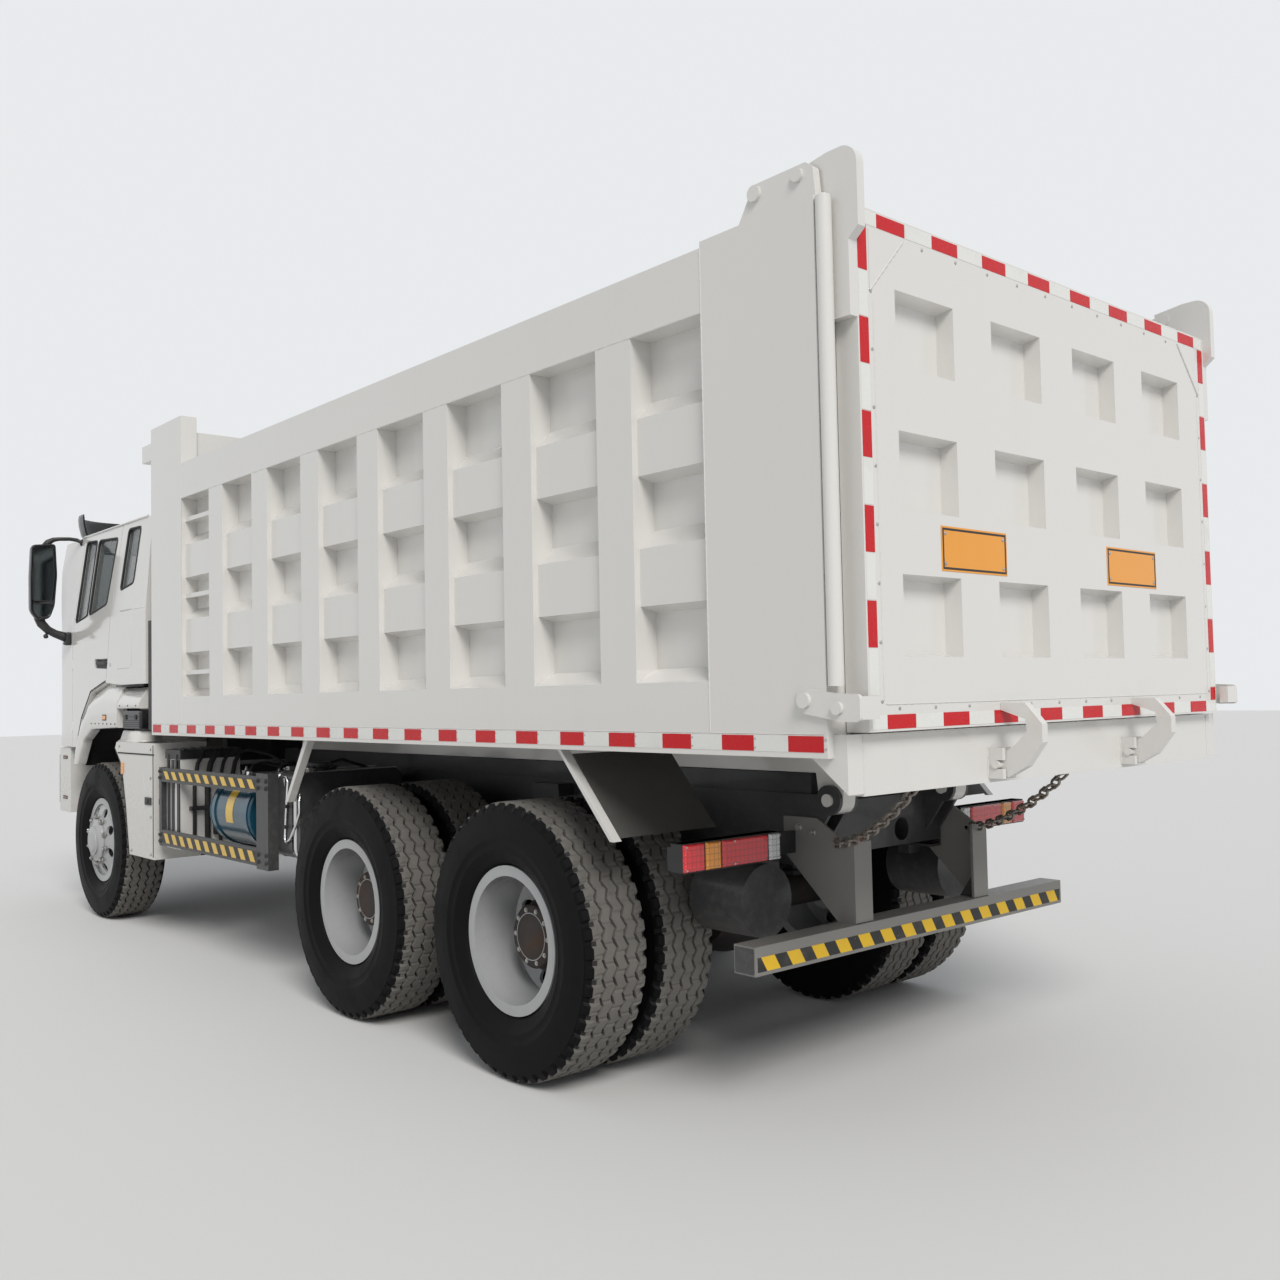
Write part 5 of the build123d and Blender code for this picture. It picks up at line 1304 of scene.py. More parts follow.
class MakeGuards(bpy.types.Operator):
    """Lays the hazard stripes on the side guards and bolts their posts"""
    bl_idname = "truck.guards"
    bl_label = "Side guards"

    def execute(self, context):
        form = Form()
        for low, high in GUARD_RAILS:
            self.stripes(form, 0.125, 1.535, low + 0.016, high - 0.016)
        form.slot = 2
        for x in (-0.015, 0.085, 1.560):
            for z in (0.66, 0.70, 1.06, 1.10):
                form.nut((x, GUARD_Y, z), (0, 1, 0), 0.020, 0.010)
        form.slot = 3
        for x in (0.110, 1.540):
            for low, high in GUARD_RAILS:
                bead(form, (x, GUARD_Y - 0.001, low), (x, GUARD_Y - 0.001, high), 0.003)
        for low, high in GUARD_RAILS:
            for z in (low, high):
                form.rod((0.09, GUARD_Y - 0.012, z), (1.565, GUARD_Y - 0.012, z), 0.0035, 8)
        form.mirrored().done(
            "guard_stripes", "chassis",
            ("stripe_yellow", "plastic_black", "enamel_chassis", "enamel_chassis"), "grey_steel")
        return {"FINISHED"}

    def stripes(self, form, start, end, low, high):
        """Slanted yellow blocks on a black ground."""
        y = GUARD_Y
        form.slot = 1
        form.box((start, y - 0.0005, low), (end, y + 0.0010, high))
        form.slot = 0
        for index in range(int((end - start - STRIPE_LEAN) / STRIPE_PITCH) + 1):
            x = start + index * STRIPE_PITCH
            head = x + STRIPE_LEAN
            if head + STRIPE_WIDTH < end:
                corners = (
                    (x, low + 0.002), (x + STRIPE_WIDTH, low + 0.002), (head + STRIPE_WIDTH, high - 0.002),
                    (head, high - 0.002))
                form.prism([(px, y + 0.0008, pz) for px, pz in corners], (0, 0.0009, 0))


SIDE_TANK_AXIS = (1.000, 0.890)
SIDE_TANK_RADIUS = 0.200


class MakeSideTank(bpy.types.Operator):
    """Makes the label band, straps, valve and pipes of the side cylinder"""
    bl_idname = "truck.side_tank"
    bl_label = "Side cylinder"

    def execute(self, context):
        form = Form()
        y, z = SIDE_TANK_AXIS
        centre = Vector((0, y, z))
        radius = SIDE_TANK_RADIUS
        rows = []
        for step in range(13):
            angle = math.radians(-15 + 62 * step / 12)
            out = Vector((0, math.cos(angle), math.sin(angle))) * (radius + 0.0012)
            rows.append([centre + out + Vector((x, 0, 0)) for x in (0.500, 0.55, 0.600)])
        form.sheet(rows)
        form.slot = 1
        for x in (0.275, 0.815):
            form.revolve(
                [(radius - 0.001, -0.006), (radius + 0.006, -0.003), (radius + 0.006, 0.003),
                 (radius - 0.001, 0.006)], (x, y, z), (1, 0, 0), 40)
        form.slot = 2
        for x in (0.320, 0.770):
            form.box(
                (x - 0.018, y - 0.02, z + radius + 0.006), (x + 0.018, y + 0.02, z + radius + 0.030), 0.004)
            form.rod((x, y, z + radius + 0.02), (x, y, z + radius + 0.055), 0.006, 10)
            form.nut((x, y, z + radius + 0.030), (0, 0, 1), 0.020, 0.011)
        form.slot = 3
        for px, py in ((0.40, 0.97), (0.66, 1.03)):
            pz = z + math.sqrt(radius ** 2 - (py - y) ** 2)
            form.revolve(
                [(0.0005, 0.034), (0.014, 0.034), (0.017, 0.028), (0.017, 0.006), (0.026, 0.002), (0.026, -0.012)],
                (px, py, pz), (0, 0, 1), 20)
        form.slot = 4
        path = [
            (0.40, 0.97, 1.120), (0.40, 0.95, 1.150), (0.44, 0.88, 1.165), (0.52, 0.70, 1.155),
            (0.56, 0.52, 1.12), (0.56, 0.440, 1.08)]
        form.tube(path, 0.011, 10)
        path = [
            (0.66, 1.03, 1.118), (0.67, 1.00, 1.150), (0.74, 0.92, 1.160), (0.95, 0.80, 1.150),
            (1.10, 0.60, 1.11), (1.10, 0.440, 1.07)]
        form.tube(path, 0.011, 10)
        form.done(
            "side_tank_fittings", "chassis",
            ("stripe_yellow", "enamel_blue", "zinc", "bright_steel", "rubber_flap"), "blue_paint")
        return {"FINISHED"}


FUEL_TANK_BOTTOM = 0.690
FUEL_TANK_RADIUS = 0.060
CRANK_Y = 1.176


class MakeFuelTanks(bpy.types.Operator):
    """Makes the straps, caps, sender and drain of the main tanks, and the bent rod beside them"""
    bl_idname = "truck.fuel_tanks"
    bl_label = "Main tanks"

    def execute(self, context):
        high = box_of("fuel_tank")[1]
        form = Form()
        outer = high.y
        bottom, top = FUEL_TANK_BOTTOM, high.z
        for x in (-0.235, -0.005):
            self.strap(form, x, outer, bottom, top)
        form.slot = 1
        cap = Vector((-0.20, outer - 0.16, top))
        form.revolve(
            [(0.052, -0.004), (0.052, 0.018), (0.060, 0.020), (0.060, 0.044), (0.054, 0.050),
             (0.0005, 0.051)], cap, (0, 0, 1), 32)
        for index in range(12):
            angle = 2 * math.pi * index / 12
            rib = cap + Vector((0.060 * math.cos(angle), 0.060 * math.sin(angle), 0.022))
            form.rod(rib, rib + Vector((0, 0, 0.020)), 0.0032, 6)
        sender = Vector((-0.08, outer - 0.28, top))
        form.rod(sender, sender + Vector((0, 0, 0.010)), 0.040, 24)
        for index in range(5):
            angle = 2 * math.pi * index / 5
            place = sender + Vector((0.031 * math.cos(angle), 0.031 * math.sin(angle), 0.010))
            form.nut(place, (0, 0, 1), 0.009, 0.006)
        form.slot = 2
        form.tube(
            [sender + Vector((0, 0, 0.008)), sender + Vector((0, -0.01, 0.035)),
             sender + Vector((0.0, -0.08, 0.05)),
             (-0.08, 0.52, 1.10), (-0.08, 0.44, 1.08)], 0.008, 8)
        form.slot = 3
        form.rod((-0.12, outer - 0.25, bottom + 0.002), (-0.12, outer - 0.25, bottom - 0.016), 0.014, 12)
        form.nut((-0.12, outer - 0.25, bottom - 0.014), (0, 0, -1), 0.026, 0.012)
        form.mirrored().done(
            "fuel_tank_fittings", "chassis", ("bright_steel", "plastic_black", "rubber_flap", "zinc"),
            "chassis_paint")
        self.crank()
        return {"FINISHED"}

    def strap(self, form, x, outer, bottom, top):
        """Steel band that follows the tank's rounded section."""
        form.slot = 0
        radius = FUEL_TANK_RADIUS
        section = [(0.57, top)]
        section += arc((outer - radius, top - radius), radius, 90, 0, 6)
        section += arc((outer - radius, bottom + radius), radius, 0, -90, 6)
        section.append((0.57, bottom))
        rows = []
        for offset_x, grow in ((-0.025, 0.0), (-0.025, 0.0032), (0.025, 0.0032), (0.025, 0.0)):
            row = []
            for y, z in section:
                near_y = min(max(y, 0.5), outer - radius)
                near_z = min(max(z, bottom + radius), top - radius)
                step = Vector((0, y - near_y, z - near_z)).normalized()
                row.append(Vector((x + offset_x, y, z)) + step * grow)
            rows.append(row)
        form.sheet(rows)
        form.slot = 3
        form.box((x - 0.02, outer - 0.10, top + 0.003), (x + 0.02, outer - 0.07, top + 0.022), 0.003)
        form.rod((x, outer - 0.12, top + 0.012), (x, outer - 0.05, top + 0.012), 0.005, 8)

    def crank(self):
        """Bent steel rod that hangs beside the left tank."""
        form = Form()
        y = CRANK_Y
        path = [
            (-0.135, y, 1.079), (-0.140, y + 0.004, 1.120), (-0.165, y + 0.004, 1.128),
            (-0.180, y + 0.004, 1.100), (-0.150, y + 0.002, 0.93), (-0.130, y, 0.798),
            (-0.150, y + 0.002, 0.775), (-0.200, y + 0.004, 0.80), (-0.285, y + 0.006, 0.89),
            (-0.318, y + 0.004, 0.945), (-0.310, y + 0.002, 1.01), (-0.290, y - 0.02, 1.06)]
        form.tube(path, 0.007, 10)
        form.slot = 1
        for x, z in ((-0.155, 0.97), (-0.14, 0.86)):
            form.box((x - 0.012, y - 0.010, z - 0.010), (x + 0.012, y + 0.013, z + 0.010), 0.003)
        form.done("side_crank", "chassis", ("bright_steel", "plastic_black"), "bright_steel")


# Cab

CAB_HALF = 1.200
SHOULDER_Z = 2.150
EAVES_Z = 2.790
EAVES_HALF = 1.150
NOSE_X = 4.060
SCREEN_FOOT = (4.030, 2.080)
SCREEN_HEAD = (3.790, 2.780)
NOSE_RADIUS = 0.350

DOOR_WINDOW = ((2.575, 2.710), (2.985, 2.735), (3.092, 2.190), (2.711, 2.249))
QUARTER_WINDOW = ((3.030, 2.738), (3.270, 2.752), (3.400, 2.150), (3.138, 2.188))
REAR_SIDE_WINDOW = ((2.354, 2.747), (2.110, 2.740), (2.181, 2.359), (2.440, 2.325))
WINDSCREEN = ((-1.010, 2.120), (-0.960, 2.740), (0.960, 2.740), (1.010, 2.120))
REAR_WINDOW = ((-0.420, 2.200), (-0.420, 2.560), (0.420, 2.560), (0.420, 2.200))
CAB_REAR_X = 1.905
DRIP_Z = 2.797
MARKER_PLACE = (3.679, 2.840)
CREASES = (
    ((2.413, 2.178), (1.915, 2.178)), ((2.470, 1.776), (1.915, 1.776)), ((2.181, 2.170), (2.181, 1.784)))


def side_y(z):
    """Half width of the cab's side skin at a height."""
    if z <= SHOULDER_Z:
        return CAB_HALF
    return CAB_HALF + (EAVES_HALF - CAB_HALF) * (z - SHOULDER_Z) / (EAVES_Z - SHOULDER_Z)


def nose_x(y, z):
    """Reach of the cab's front skin at a place across and up."""
    foot, head = SCREEN_FOOT, SCREEN_HEAD
    slope = foot[0] + (head[0] - foot[0]) * (z - foot[1]) / (head[1] - foot[1])
    if z < foot[1]:
        slope = min(NOSE_X, foot[0] + (NOSE_X - foot[0]) * (foot[1] - z) / (foot[1] - 1.950))
    out = max(0.0, abs(y) - (CAB_HALF - NOSE_RADIUS))
    plan = NOSE_X - NOSE_RADIUS + math.sqrt(max(0.0, NOSE_RADIUS ** 2 - out ** 2))
    return min(slope, plan)


def rounded_path(points, radius, steps=5):
    """Closed flat outline with its corners rounded."""
    path = []
    count = len(points)
    for index in range(count):
        before, corner, after = (Vector(points[(index + shift) % count]) for shift in (-1, 0, 1))
        start = corner + (before - corner).normalized() * radius
        end = corner + (after - corner).normalized() * radius
        for step in range(steps + 1):
            share = step / steps
            path.append(start * (1 - share) ** 2 + corner * 2 * share * (1 - share) + end * share ** 2)
    return path


def spread(path, gap):
    """Adds points so that no stretch of a closed path is longer than the gap."""
    dense = []
    for index, point in enumerate(path):
        after = path[(index + 1) % len(path)]
        pieces = max(1, int((after - point).length / gap))
        dense.extend(point + (after - point) * step / pieces for step in range(pieces))
    return dense


class MakeWindowSeals(bpy.types.Operator):
    """Makes the rubber seals round the panes"""
    bl_idname = "truck.window_seals"
    bl_label = "Window seals"

    def execute(self, context):
        for side, sign in SIDES:
            form = Form()
            for window in (DOOR_WINDOW, QUARTER_WINDOW):
                self.side_seal(form, window, sign)
            form.slot = 1
            form.tube(
                [(3.040, sign * (side_y(2.735) - 0.004), 2.730),
                 (3.132, sign * (side_y(2.18) - 0.004), 2.185)], 0.009, 8)
            form.done(f"door_seals_{side}", f"{side}_door", ("rubber_flap", "plastic_black"), "black_plastic")
        form = Form()
        for side, sign in SIDES:
            self.side_seal(form, REAR_SIDE_WINDOW, sign)
        path = spread(rounded_path(WINDSCREEN, 0.07), 0.05)
        form.tube([(nose_x(p.x, p.y) - 0.002, p.x, p.y) for p in path], 0.011, 8, closed=True)
        path = spread(rounded_path(REAR_WINDOW, 0.05), 0.1)
        form.tube([(1.907, p.x, p.y) for p in path], 0.010, 8, closed=True)
        form.done("cab_seals", "cab", ("rubber_flap",), "black_plastic")
        return {"FINISHED"}

    def side_seal(self, form, window, sign):
        path = spread(rounded_path(window, 0.035), 0.1)
        form.tube([(p.x, sign * (side_y(p.y) - 0.003), p.y) for p in path], 0.0085, 8, closed=True)


class MakeDoorFittings(bpy.types.Operator):
    """Makes the door handles and their locks"""
    bl_idname = "truck.door_fittings"
    bl_label = "Door handles"

    def execute(self, context):
        for side, sign in SIDES:
            form = Form()
            y = CAB_HALF
            rows = []
            for step in range(13):
                x = 2.662 + 0.286 * step / 12
                level = 1.822 + 0.010 * step / 12
                arch = math.sin(math.pi * step / 12)
                out = y - 0.012 + 0.016 * min(1.0, arch * 2.2)
                ring = []
                for turn in range(9):
                    angle = 2 * math.pi * turn / 8
                    ring.append((x, sign * (out + 0.007 * math.cos(angle)), level + 0.015 * math.sin(angle)))
                rows.append(ring)
            form.sheet(rows)
            form.box(
                (2.652, min(sign * (y - 0.0222), sign * (y - 0.0190)), 1.788),
                (2.958, max(sign * (y - 0.0222), sign * (y - 0.0190)), 1.857), 0.001)
            form.slot = 1
            form.rod((2.615, sign * (y - 0.001), 1.812), (2.615, sign * (y + 0.003), 1.812), 0.012, 20, 0.010)
            form.rod((2.615, sign * (y + 0.003), 1.812), (2.615, sign * (y + 0.0034), 1.812), 0.004, 8)
            form.done(f"door_handle_{side}", f"{side}_door", ("plastic_black", "zinc"), "black_plastic")
        return {"FINISHED"}


class MakeWipers(bpy.types.Operator):
    """Makes the windscreen wipers and their spindles"""
    bl_idname = "truck.wipers"
    bl_label = "Wipers"

    def execute(self, context):
        form = Form()
        for foot_y, reach in ((-0.72, 0.62), (0.0, 0.62), (0.72, 0.40)):
            foot = Vector((nose_x(foot_y, 2.075) + 0.004, foot_y, 2.075))
            form.rod(foot, foot + Vector((0.022, 0, 0.006)), 0.020, 16, 0.014)
            tip_y = foot_y - 0.40 if foot_y > -0.5 else foot_y + 0.42
            tip_z = 2.165
            knee = Vector((nose_x(tip_y, tip_z) + 0.022, tip_y, tip_z))
            start = foot + Vector((0.020, 0, 0.006))
            middle = (start + knee) / 2 + Vector((0.006, 0, 0.0))
            form.tube([start, start + (middle - start) * 0.5, middle, knee], 0.006, 8)
            blade = []
            for step in range(9):
                y = tip_y + reach * 0.5 * (step / 4 - 1) * 0.9
                y = max(-0.93, min(0.93, y))
                z = tip_z + 0.012 * math.sin(math.pi * step / 8)
                blade.append(Vector((nose_x(y, z) + 0.012, y, z)))
            form.tube(blade, 0.005, 6)
        form.done("wipers", "cab", ("plastic_black",), "black_plastic")
        return {"FINISHED"}


class MakeCabTrim(bpy.types.Operator):
    """Makes the drip rails, side creases, marker lamps and rear panel ribs"""
    bl_idname = "truck.cab_trim"
    bl_label = "Cab trim"

    def execute(self, context):
        form = Form()
        self.drip_rail(form)
        self.creases(form)
        form.slot = 2
        for y in (0.0, 0.42, 0.84):
            self.marker(form, y)
        form.mirrored().done(
            "cab_trim", "cab", ("enamel_cab", "plastic_black", "lens_amber"), "black_plastic")
        self.rear_wall()
        return {"FINISHED"}

    def drip_rail(self, form):
        path = []
        for step in range(15):
            x = 1.985 + 1.36 * step / 14
            path.append(Vector((x, side_y(2.795) + 0.002, DRIP_Z)))
        for step in range(1, 8):
            share = step / 7
            path.append(
                Vector((3.345 + 0.30 * share, side_y(2.795) - 0.004 - 0.020 * share, DRIP_Z - 0.02 * share)))
        form.tube(path, 0.008, 8)

    def creases(self, form):
        """Low pressed ridges behind the door."""
        for crease in CREASES:
            form.tube([(x, CAB_HALF - 0.0045, z) for x, z in crease], 0.0055, 8)

    def marker(self, form, y):
        x, z = MARKER_PLACE
        form.box((x, y - 0.055, z), (x + 0.050, y + 0.055, z + 0.028), 0.009)

    def rear_wall(self):
        """Pressed ribs and air vents on the cab's rear wall."""
        form = Form()
        x = CAB_REAR_X
        for y, low, high in (
                (-0.95, 1.80, 2.70), (-0.75, 1.80, 2.70), (0.75, 1.80, 2.70), (0.95, 1.80, 2.70),
                (-0.55, 1.72, 2.12), (0.0, 1.72, 2.12), (0.55, 1.72, 2.12)):
            form.tube([(x + 0.001, y, low), (x + 0.001, y, high)], 0.009, 8)
        form.slot = 1
        for index in range(6):
            z = 1.80 + index * 0.022
            form.box((x - 0.008, 0.66, z), (x + 0.001, 0.70, z + 0.012), 0.002)
            form.box((x - 0.008, -0.70, z), (x + 0.001, -0.66, z + 0.012), 0.002)
        form.done("cab_rear_ribs", "cab", ("enamel_cab", "plastic_black"), "white_paint")


# Front end, fenders and boxes

BUMPER_NOSE = 4.200
BUMPER_HALF = 1.190
BUMPER_RADIUS = 0.430
LAMP_FACE = (0.762, 1.008, 0.862, 1.048)
FENDER_Y = box_of("cab_fenders")[1].y
BOX_Y = box_of("mud_boxes")[1].y


def bumper_x(y, inset=0.0):
    """Reach of the bumper's outer face at a place across, moved in by the inset."""
    radius = BUMPER_RADIUS - inset
    out = max(0.0, abs(y) - (BUMPER_HALF - BUMPER_RADIUS))
    return BUMPER_NOSE - inset - radius + math.sqrt(max(0.0, radius ** 2 - out ** 2))


class MakeHeadlamps(bpy.types.Operator):
    """Makes the headlamps: housing, two bowls, bulbs and a clear lens"""
    bl_idname = "truck.headlamps"
    bl_label = "Headlamps"

    def execute(self, context):
        form = Form()
        inner, outer, low, high = LAMP_FACE
        form.slot = 3
        back = bumper_x(outer, 0.012) - 0.075
        form.box((back, inner, low), (back + 0.012, outer, high), 0.002)
        for y, radius in ((0.828, 0.056), (0.945, 0.052)):
            depth = bumper_x(y, 0.012) - 0.016
            centre = Vector((depth, y, (low + high) / 2))
            form.slot = 1
            bowl = []
            for step in range(9):
                share = step / 8
                bowl.append((radius * (0.16 + 0.84 * share ** 0.5), -0.062 + 0.060 * share))
            form.revolve(bowl, centre, (1, 0, 0), 40)
            form.revolve(
                [(radius, -0.002), (radius + 0.006, 0.0), (radius + 0.006, -0.010)], centre, (1, 0, 0), 40)
            form.slot = 0
            form.rod(centre - Vector((0.060, 0, 0)), centre - Vector((0.022, 0, 0)), 0.009, 16, 0.007)
        form.slot = 2
        self.lens(form, inner, outer, low, high)
        form.slot = 3
        frame_path = [
            Vector((bumper_x(y, 0.006), y, z))
            for y, z in self.lens_edge(inner + 0.003, outer - 0.003, low + 0.003, high - 0.003)]
        form.tube(frame_path, 0.0045, 6, closed=True)
        piece = form.mirrored().done(
            "headlamp_units", "chassis", ("lens_clear", "chrome", "lens_glass", "plastic_black"),
            "lamp_clear")
        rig.replaces(piece, "headlamps")
        return {"FINISHED"}

    def lens_edge(self, inner, outer, low, high):
        count = 10
        bottom = [(inner + (outer - inner) * step / count, low) for step in range(count + 1)]
        return bottom + [(place[0], high) for place in reversed(bottom)]

    def lens(self, form, inner, outer, low, high):
        across = [inner + (outer - inner) * column / 12 for column in range(13)]
        levels = [low + (high - low) * step / 6 for step in range(7)]
        form.sheet([[(bumper_x(y, 0.008), y, z) for y in across] for z in levels])


class MakeBumperFittings(bpy.types.Operator):
    """Makes the bumper's fog lamps, tow covers, mouldings and the blank plate"""
    bl_idname = "truck.bumper_fittings"
    bl_label = "Bumper fittings"

    def execute(self, context):
        form = Form()
        form.slot = 1
        self.band(form, 1.160, 1.196, 0.0022, 1.05)
        self.band(form, 0.722, 0.760, 0.0022, 1.12)
        form.slot = 2
        centre = Vector((BUMPER_NOSE, 0.56, 0.860))
        form.revolve(
            [(0.052, -0.002), (0.052, 0.002), (0.046, 0.0032), (0.043, 0.0012)], centre, (1, 0, 0), 36)
        form.slot = 3
        form.revolve([(0.043, 0.0012), (0.030, 0.0022), (0.0005, 0.0028)], centre, (1, 0, 0), 36)
        form.slot = 1
        cover = rounded_path(((0.34, 0.80), (0.43, 0.80), (0.43, 0.90), (0.34, 0.90)), 0.015, 3)
        form.prism([(BUMPER_NOSE + 0.0005, p.x, p.y) for p in cover], (0.002, 0, 0), 0.0006)
        form.slot = 4
        for y in (0.10, 0.30, 0.50, 0.70):
            for z in (1.178, 0.741):
                screw(form, (BUMPER_NOSE + 0.0015, y, z), (1, 0, 0), 0.008)
        form.mirrored()
        form.slot = 5
        form.box((BUMPER_NOSE + 0.0005, -0.22, 0.960), (BUMPER_NOSE + 0.0035, 0.22, 1.100), 0.001)
        form.slot = 1
        form.box((BUMPER_NOSE - 0.0005, -0.235, 0.948), (BUMPER_NOSE + 0.0015, 0.235, 1.112), 0.0005)
        form.box((BUMPER_NOSE - 0.001, -0.34, 0.784), (BUMPER_NOSE + 0.0015, 0.34, 0.900), 0.0005)
        for index in range(7):
            z = 0.794 + index * 0.0155
            form.box((BUMPER_NOSE + 0.0005, -0.33, z), (BUMPER_NOSE + 0.0032, 0.33, z + 0.0065), 0.001)
        form.done(
            "bumper_fittings", "chassis",
            ("enamel_low", "plastic_black", "bright_steel", "lens_glass", "zinc", "plate_blank"),
            "white_paint")
        return {"FINISHED"}

    def band(self, form, low, high, lift, reach):
        """Moulding that follows the bumper's curved face."""
        columns = 26
        ys = [reach * column / columns for column in range(columns + 1)]
        section = ((low, 0.0), (low + 0.003, lift), (high - 0.003, lift), (high, 0.0))
        form.sheet([[(bumper_x(y) + out, y, z) for y in ys] for z, out in section])


class MakeGrille(bpy.types.Operator):
    """Makes the mesh, the frame and the bright bars of the grille"""
    bl_idname = "truck.grille"
    bl_label = "Grille"

    def execute(self, context):
        form = Form()
        x = NOSE_X
        path = rounded_path(((-0.672, 1.308), (0.672, 1.308), (0.672, 1.892), (-0.672, 1.892)), 0.04, 5)
        form.tube([(x + 0.015, p.x, p.y) for p in path], 0.010, 8, closed=True)
        form.slot = 1
        for index in range(6):
            z = 1.330 + 0.095 * index
            form.box((x + 0.0255, -0.636, z + 0.019), (x + 0.0295, 0.636, z + 0.031), 0.0018)
        form.slot = 0
        for index in range(5):
            low = 1.382 + 0.095 * index
            for column in range(42):
                y = -0.625 + column * 1.25 / 41
                form.box((x + 0.0118, y - 0.0022, low), (x + 0.0165, y + 0.0022, low + 0.041))
            form.box((x + 0.0118, -0.63, low + 0.0185), (x + 0.0150, 0.63, low + 0.0225))
        form.done("grille_mesh", "cab", ("plastic_black", "bright_steel"), "black_plastic")
        return {"FINISHED"}


class MakeFenderFittings(bpy.types.Operator):
    """Makes the side repeaters and the clips of the fenders"""
    bl_idname = "truck.fender_fittings"
    bl_label = "Fender fittings"

    def execute(self, context):
        form = Form()
        y = FENDER_Y
        form.slot = 1
        form.box((2.630, y - 0.001, 1.425), (2.698, y + 0.007, 1.453), 0.003)
        form.slot = 2
        form.box((2.622, y - 0.001, 1.418), (2.706, y + 0.003, 1.460), 0.002)
        for px in (2.02, 2.18, 2.34):
            screw(form, (px, y + 0.001, 1.520), (0, 1, 0), 0.007)
        for index in range(7):
            px = 2.44 + index * 0.085
            form.rod((px, y - 0.001, 1.395), (px, y + 0.0035, 1.395), 0.0065, 10, 0.0045)
        form.mirrored().done(
            "fender_fittings", "cab", ("rubber_flap", "lens_amber", "plastic_black"), "black_plastic")
        return {"FINISHED"}


class MakeMudBoxFittings(bpy.types.Operator):
    """Makes the treads, catches, reflectors, lids and cables of the boxes behind the front wheels"""
    bl_idname = "truck.mud_box_fittings"
    bl_label = "Mud box fittings"

    def execute(self, context):
        form = Form()
        y = BOX_Y
        form.slot = 1
        form.box((2.215, y - 0.001, 1.058), (2.262, y + 0.006, 1.138), 0.003)
        form.slot = 0
        edge = [(2.392, 1.226), (2.258, 1.116), (2.178, 0.848), (2.111, 0.532)]
        form.tube([(px, y - 0.003, pz) for px, pz in edge], 0.006, 8)
        form.box((1.655, y - 0.0005, 0.545), (1.663, y + 0.0025, 1.262), 0.001)
        form.box((1.640, y - 0.0005, 1.196), (2.330, y + 0.0035, 1.205), 0.001)
        form.slot = 2
        form.box((1.560, 1.198, 0.882), (1.745, 1.212, 0.918), 0.004)
        form.rod((1.590, 1.205, 0.900), (1.590, 1.222, 0.900), 0.013, 14)
        form.box((1.690, y - 0.002, 0.875), (1.800, y + 0.008, 0.925), 0.006)
        form.rod((1.745, y + 0.006, 0.900), (1.745, y + 0.014, 0.900), 0.016, 16, 0.013)
        form.slot = 3
        for px, pz in ((1.70, 0.56), (2.06, 0.56), (1.70, 1.235), (2.30, 1.245), (1.70, 0.80), (1.70, 1.05)):
            form.nut((px, y, pz), (0, 1, 0), 0.014, 0.006)
        form.slot = 2
        for row in range(4):
            for column in range(9):
                place = Vector((1.70 + column * 0.06, y - 0.13 + row * 0.035, 1.275))
                form.box(place - Vector((0.018, 0.003, 0.001)), place + Vector((0.018, 0.003, 0.003)), 0.001)
        self.battery(form)
        form.slot = 4
        self.flange(form)
        form.mirrored().done(
            "mud_box_fittings", "chassis",
            ("rubber_flap", "lens_amber", "plastic_black", "zinc", "enamel_low"), "black_plastic")
        return {"FINISHED"}

    def flange(self, form):
        """Folded upper guard between the box and the locker above it, narrower at its top."""
        rings = []
        for z, front, rear, outer in (
                (1.2745, 2.352, 1.985, 1.232), (1.284, 2.352, 1.985, 1.232), (1.290, 2.340, 1.990, 1.222),
                (1.346, 2.318, 1.996, 1.210), (1.352, 2.312, 2.000, 1.206)):
            rings.append([(front, outer, z), (rear, outer, z), (rear, 1.06, z), (front, 1.06, z)])
        form.loft(rings)

    def battery(self, form):
        """Ribbed lid, clips and leads of the box behind."""
        x0, x1, y0, y1, top = 1.290, 1.530, 0.820, 1.200, 1.230
        form.slot = 2
        form.box((x0 - 0.008, y0 - 0.008, top - 0.050), (x1 + 0.008, y1 + 0.008, top + 0.008), 0.006)
        for index in range(6):
            py = y0 + 0.045 + index * 0.058
            form.box((x0 + 0.020, py, top + 0.006), (x1 - 0.020, py + 0.020, top + 0.014), 0.003)
        for px in (x0 + 0.05, x1 - 0.05):
            form.box((px - 0.012, y1 + 0.006, top - 0.16), (px + 0.012, y1 + 0.014, top - 0.02), 0.003)
        for px in (x0 + 0.012, x0 + 0.105, x1 - 0.065):
            form.box((px, y1 - 0.0005, 0.630), (px + 0.042, y1 + 0.006, top - 0.055), 0.003)
        form.slot = 0
        for py, radius in ((0.880, 0.014), (0.955, 0.011), (1.040, 0.018), (1.120, 0.012)):
            form.tube(
                [(x0 - radius - 0.002, py, 0.650), (x0 - radius - 0.002, py, 1.05),
                 (x0 - radius - 0.004, py - 0.02, 1.15), (x0 - radius + 0.01, py - 0.07, 1.225)], radius, 10)
        form.slot = 2
        form.box((x0 - 0.040, 0.860, 0.860), (x0 + 0.001, 1.150, 0.885), 0.004)
        form.box((x0 - 0.060, 0.900, 0.700), (x0 + 0.001, 1.000, 0.800), 0.008)
        form.slot = 0
        form.tube(
            [(1.32, 0.84, 1.20), (1.30, 0.76, 1.22), (1.31, 0.62, 1.19), (1.33, 0.50, 1.12),
             (1.33, 0.435, 1.05)], 0.010, 8)


# Visor, mirrors and wheel arches

VISOR_NOSE = 3.904
VISOR_HALF = 1.119
VISOR_RADIUS = 0.330
VISOR_TAIL = 3.502


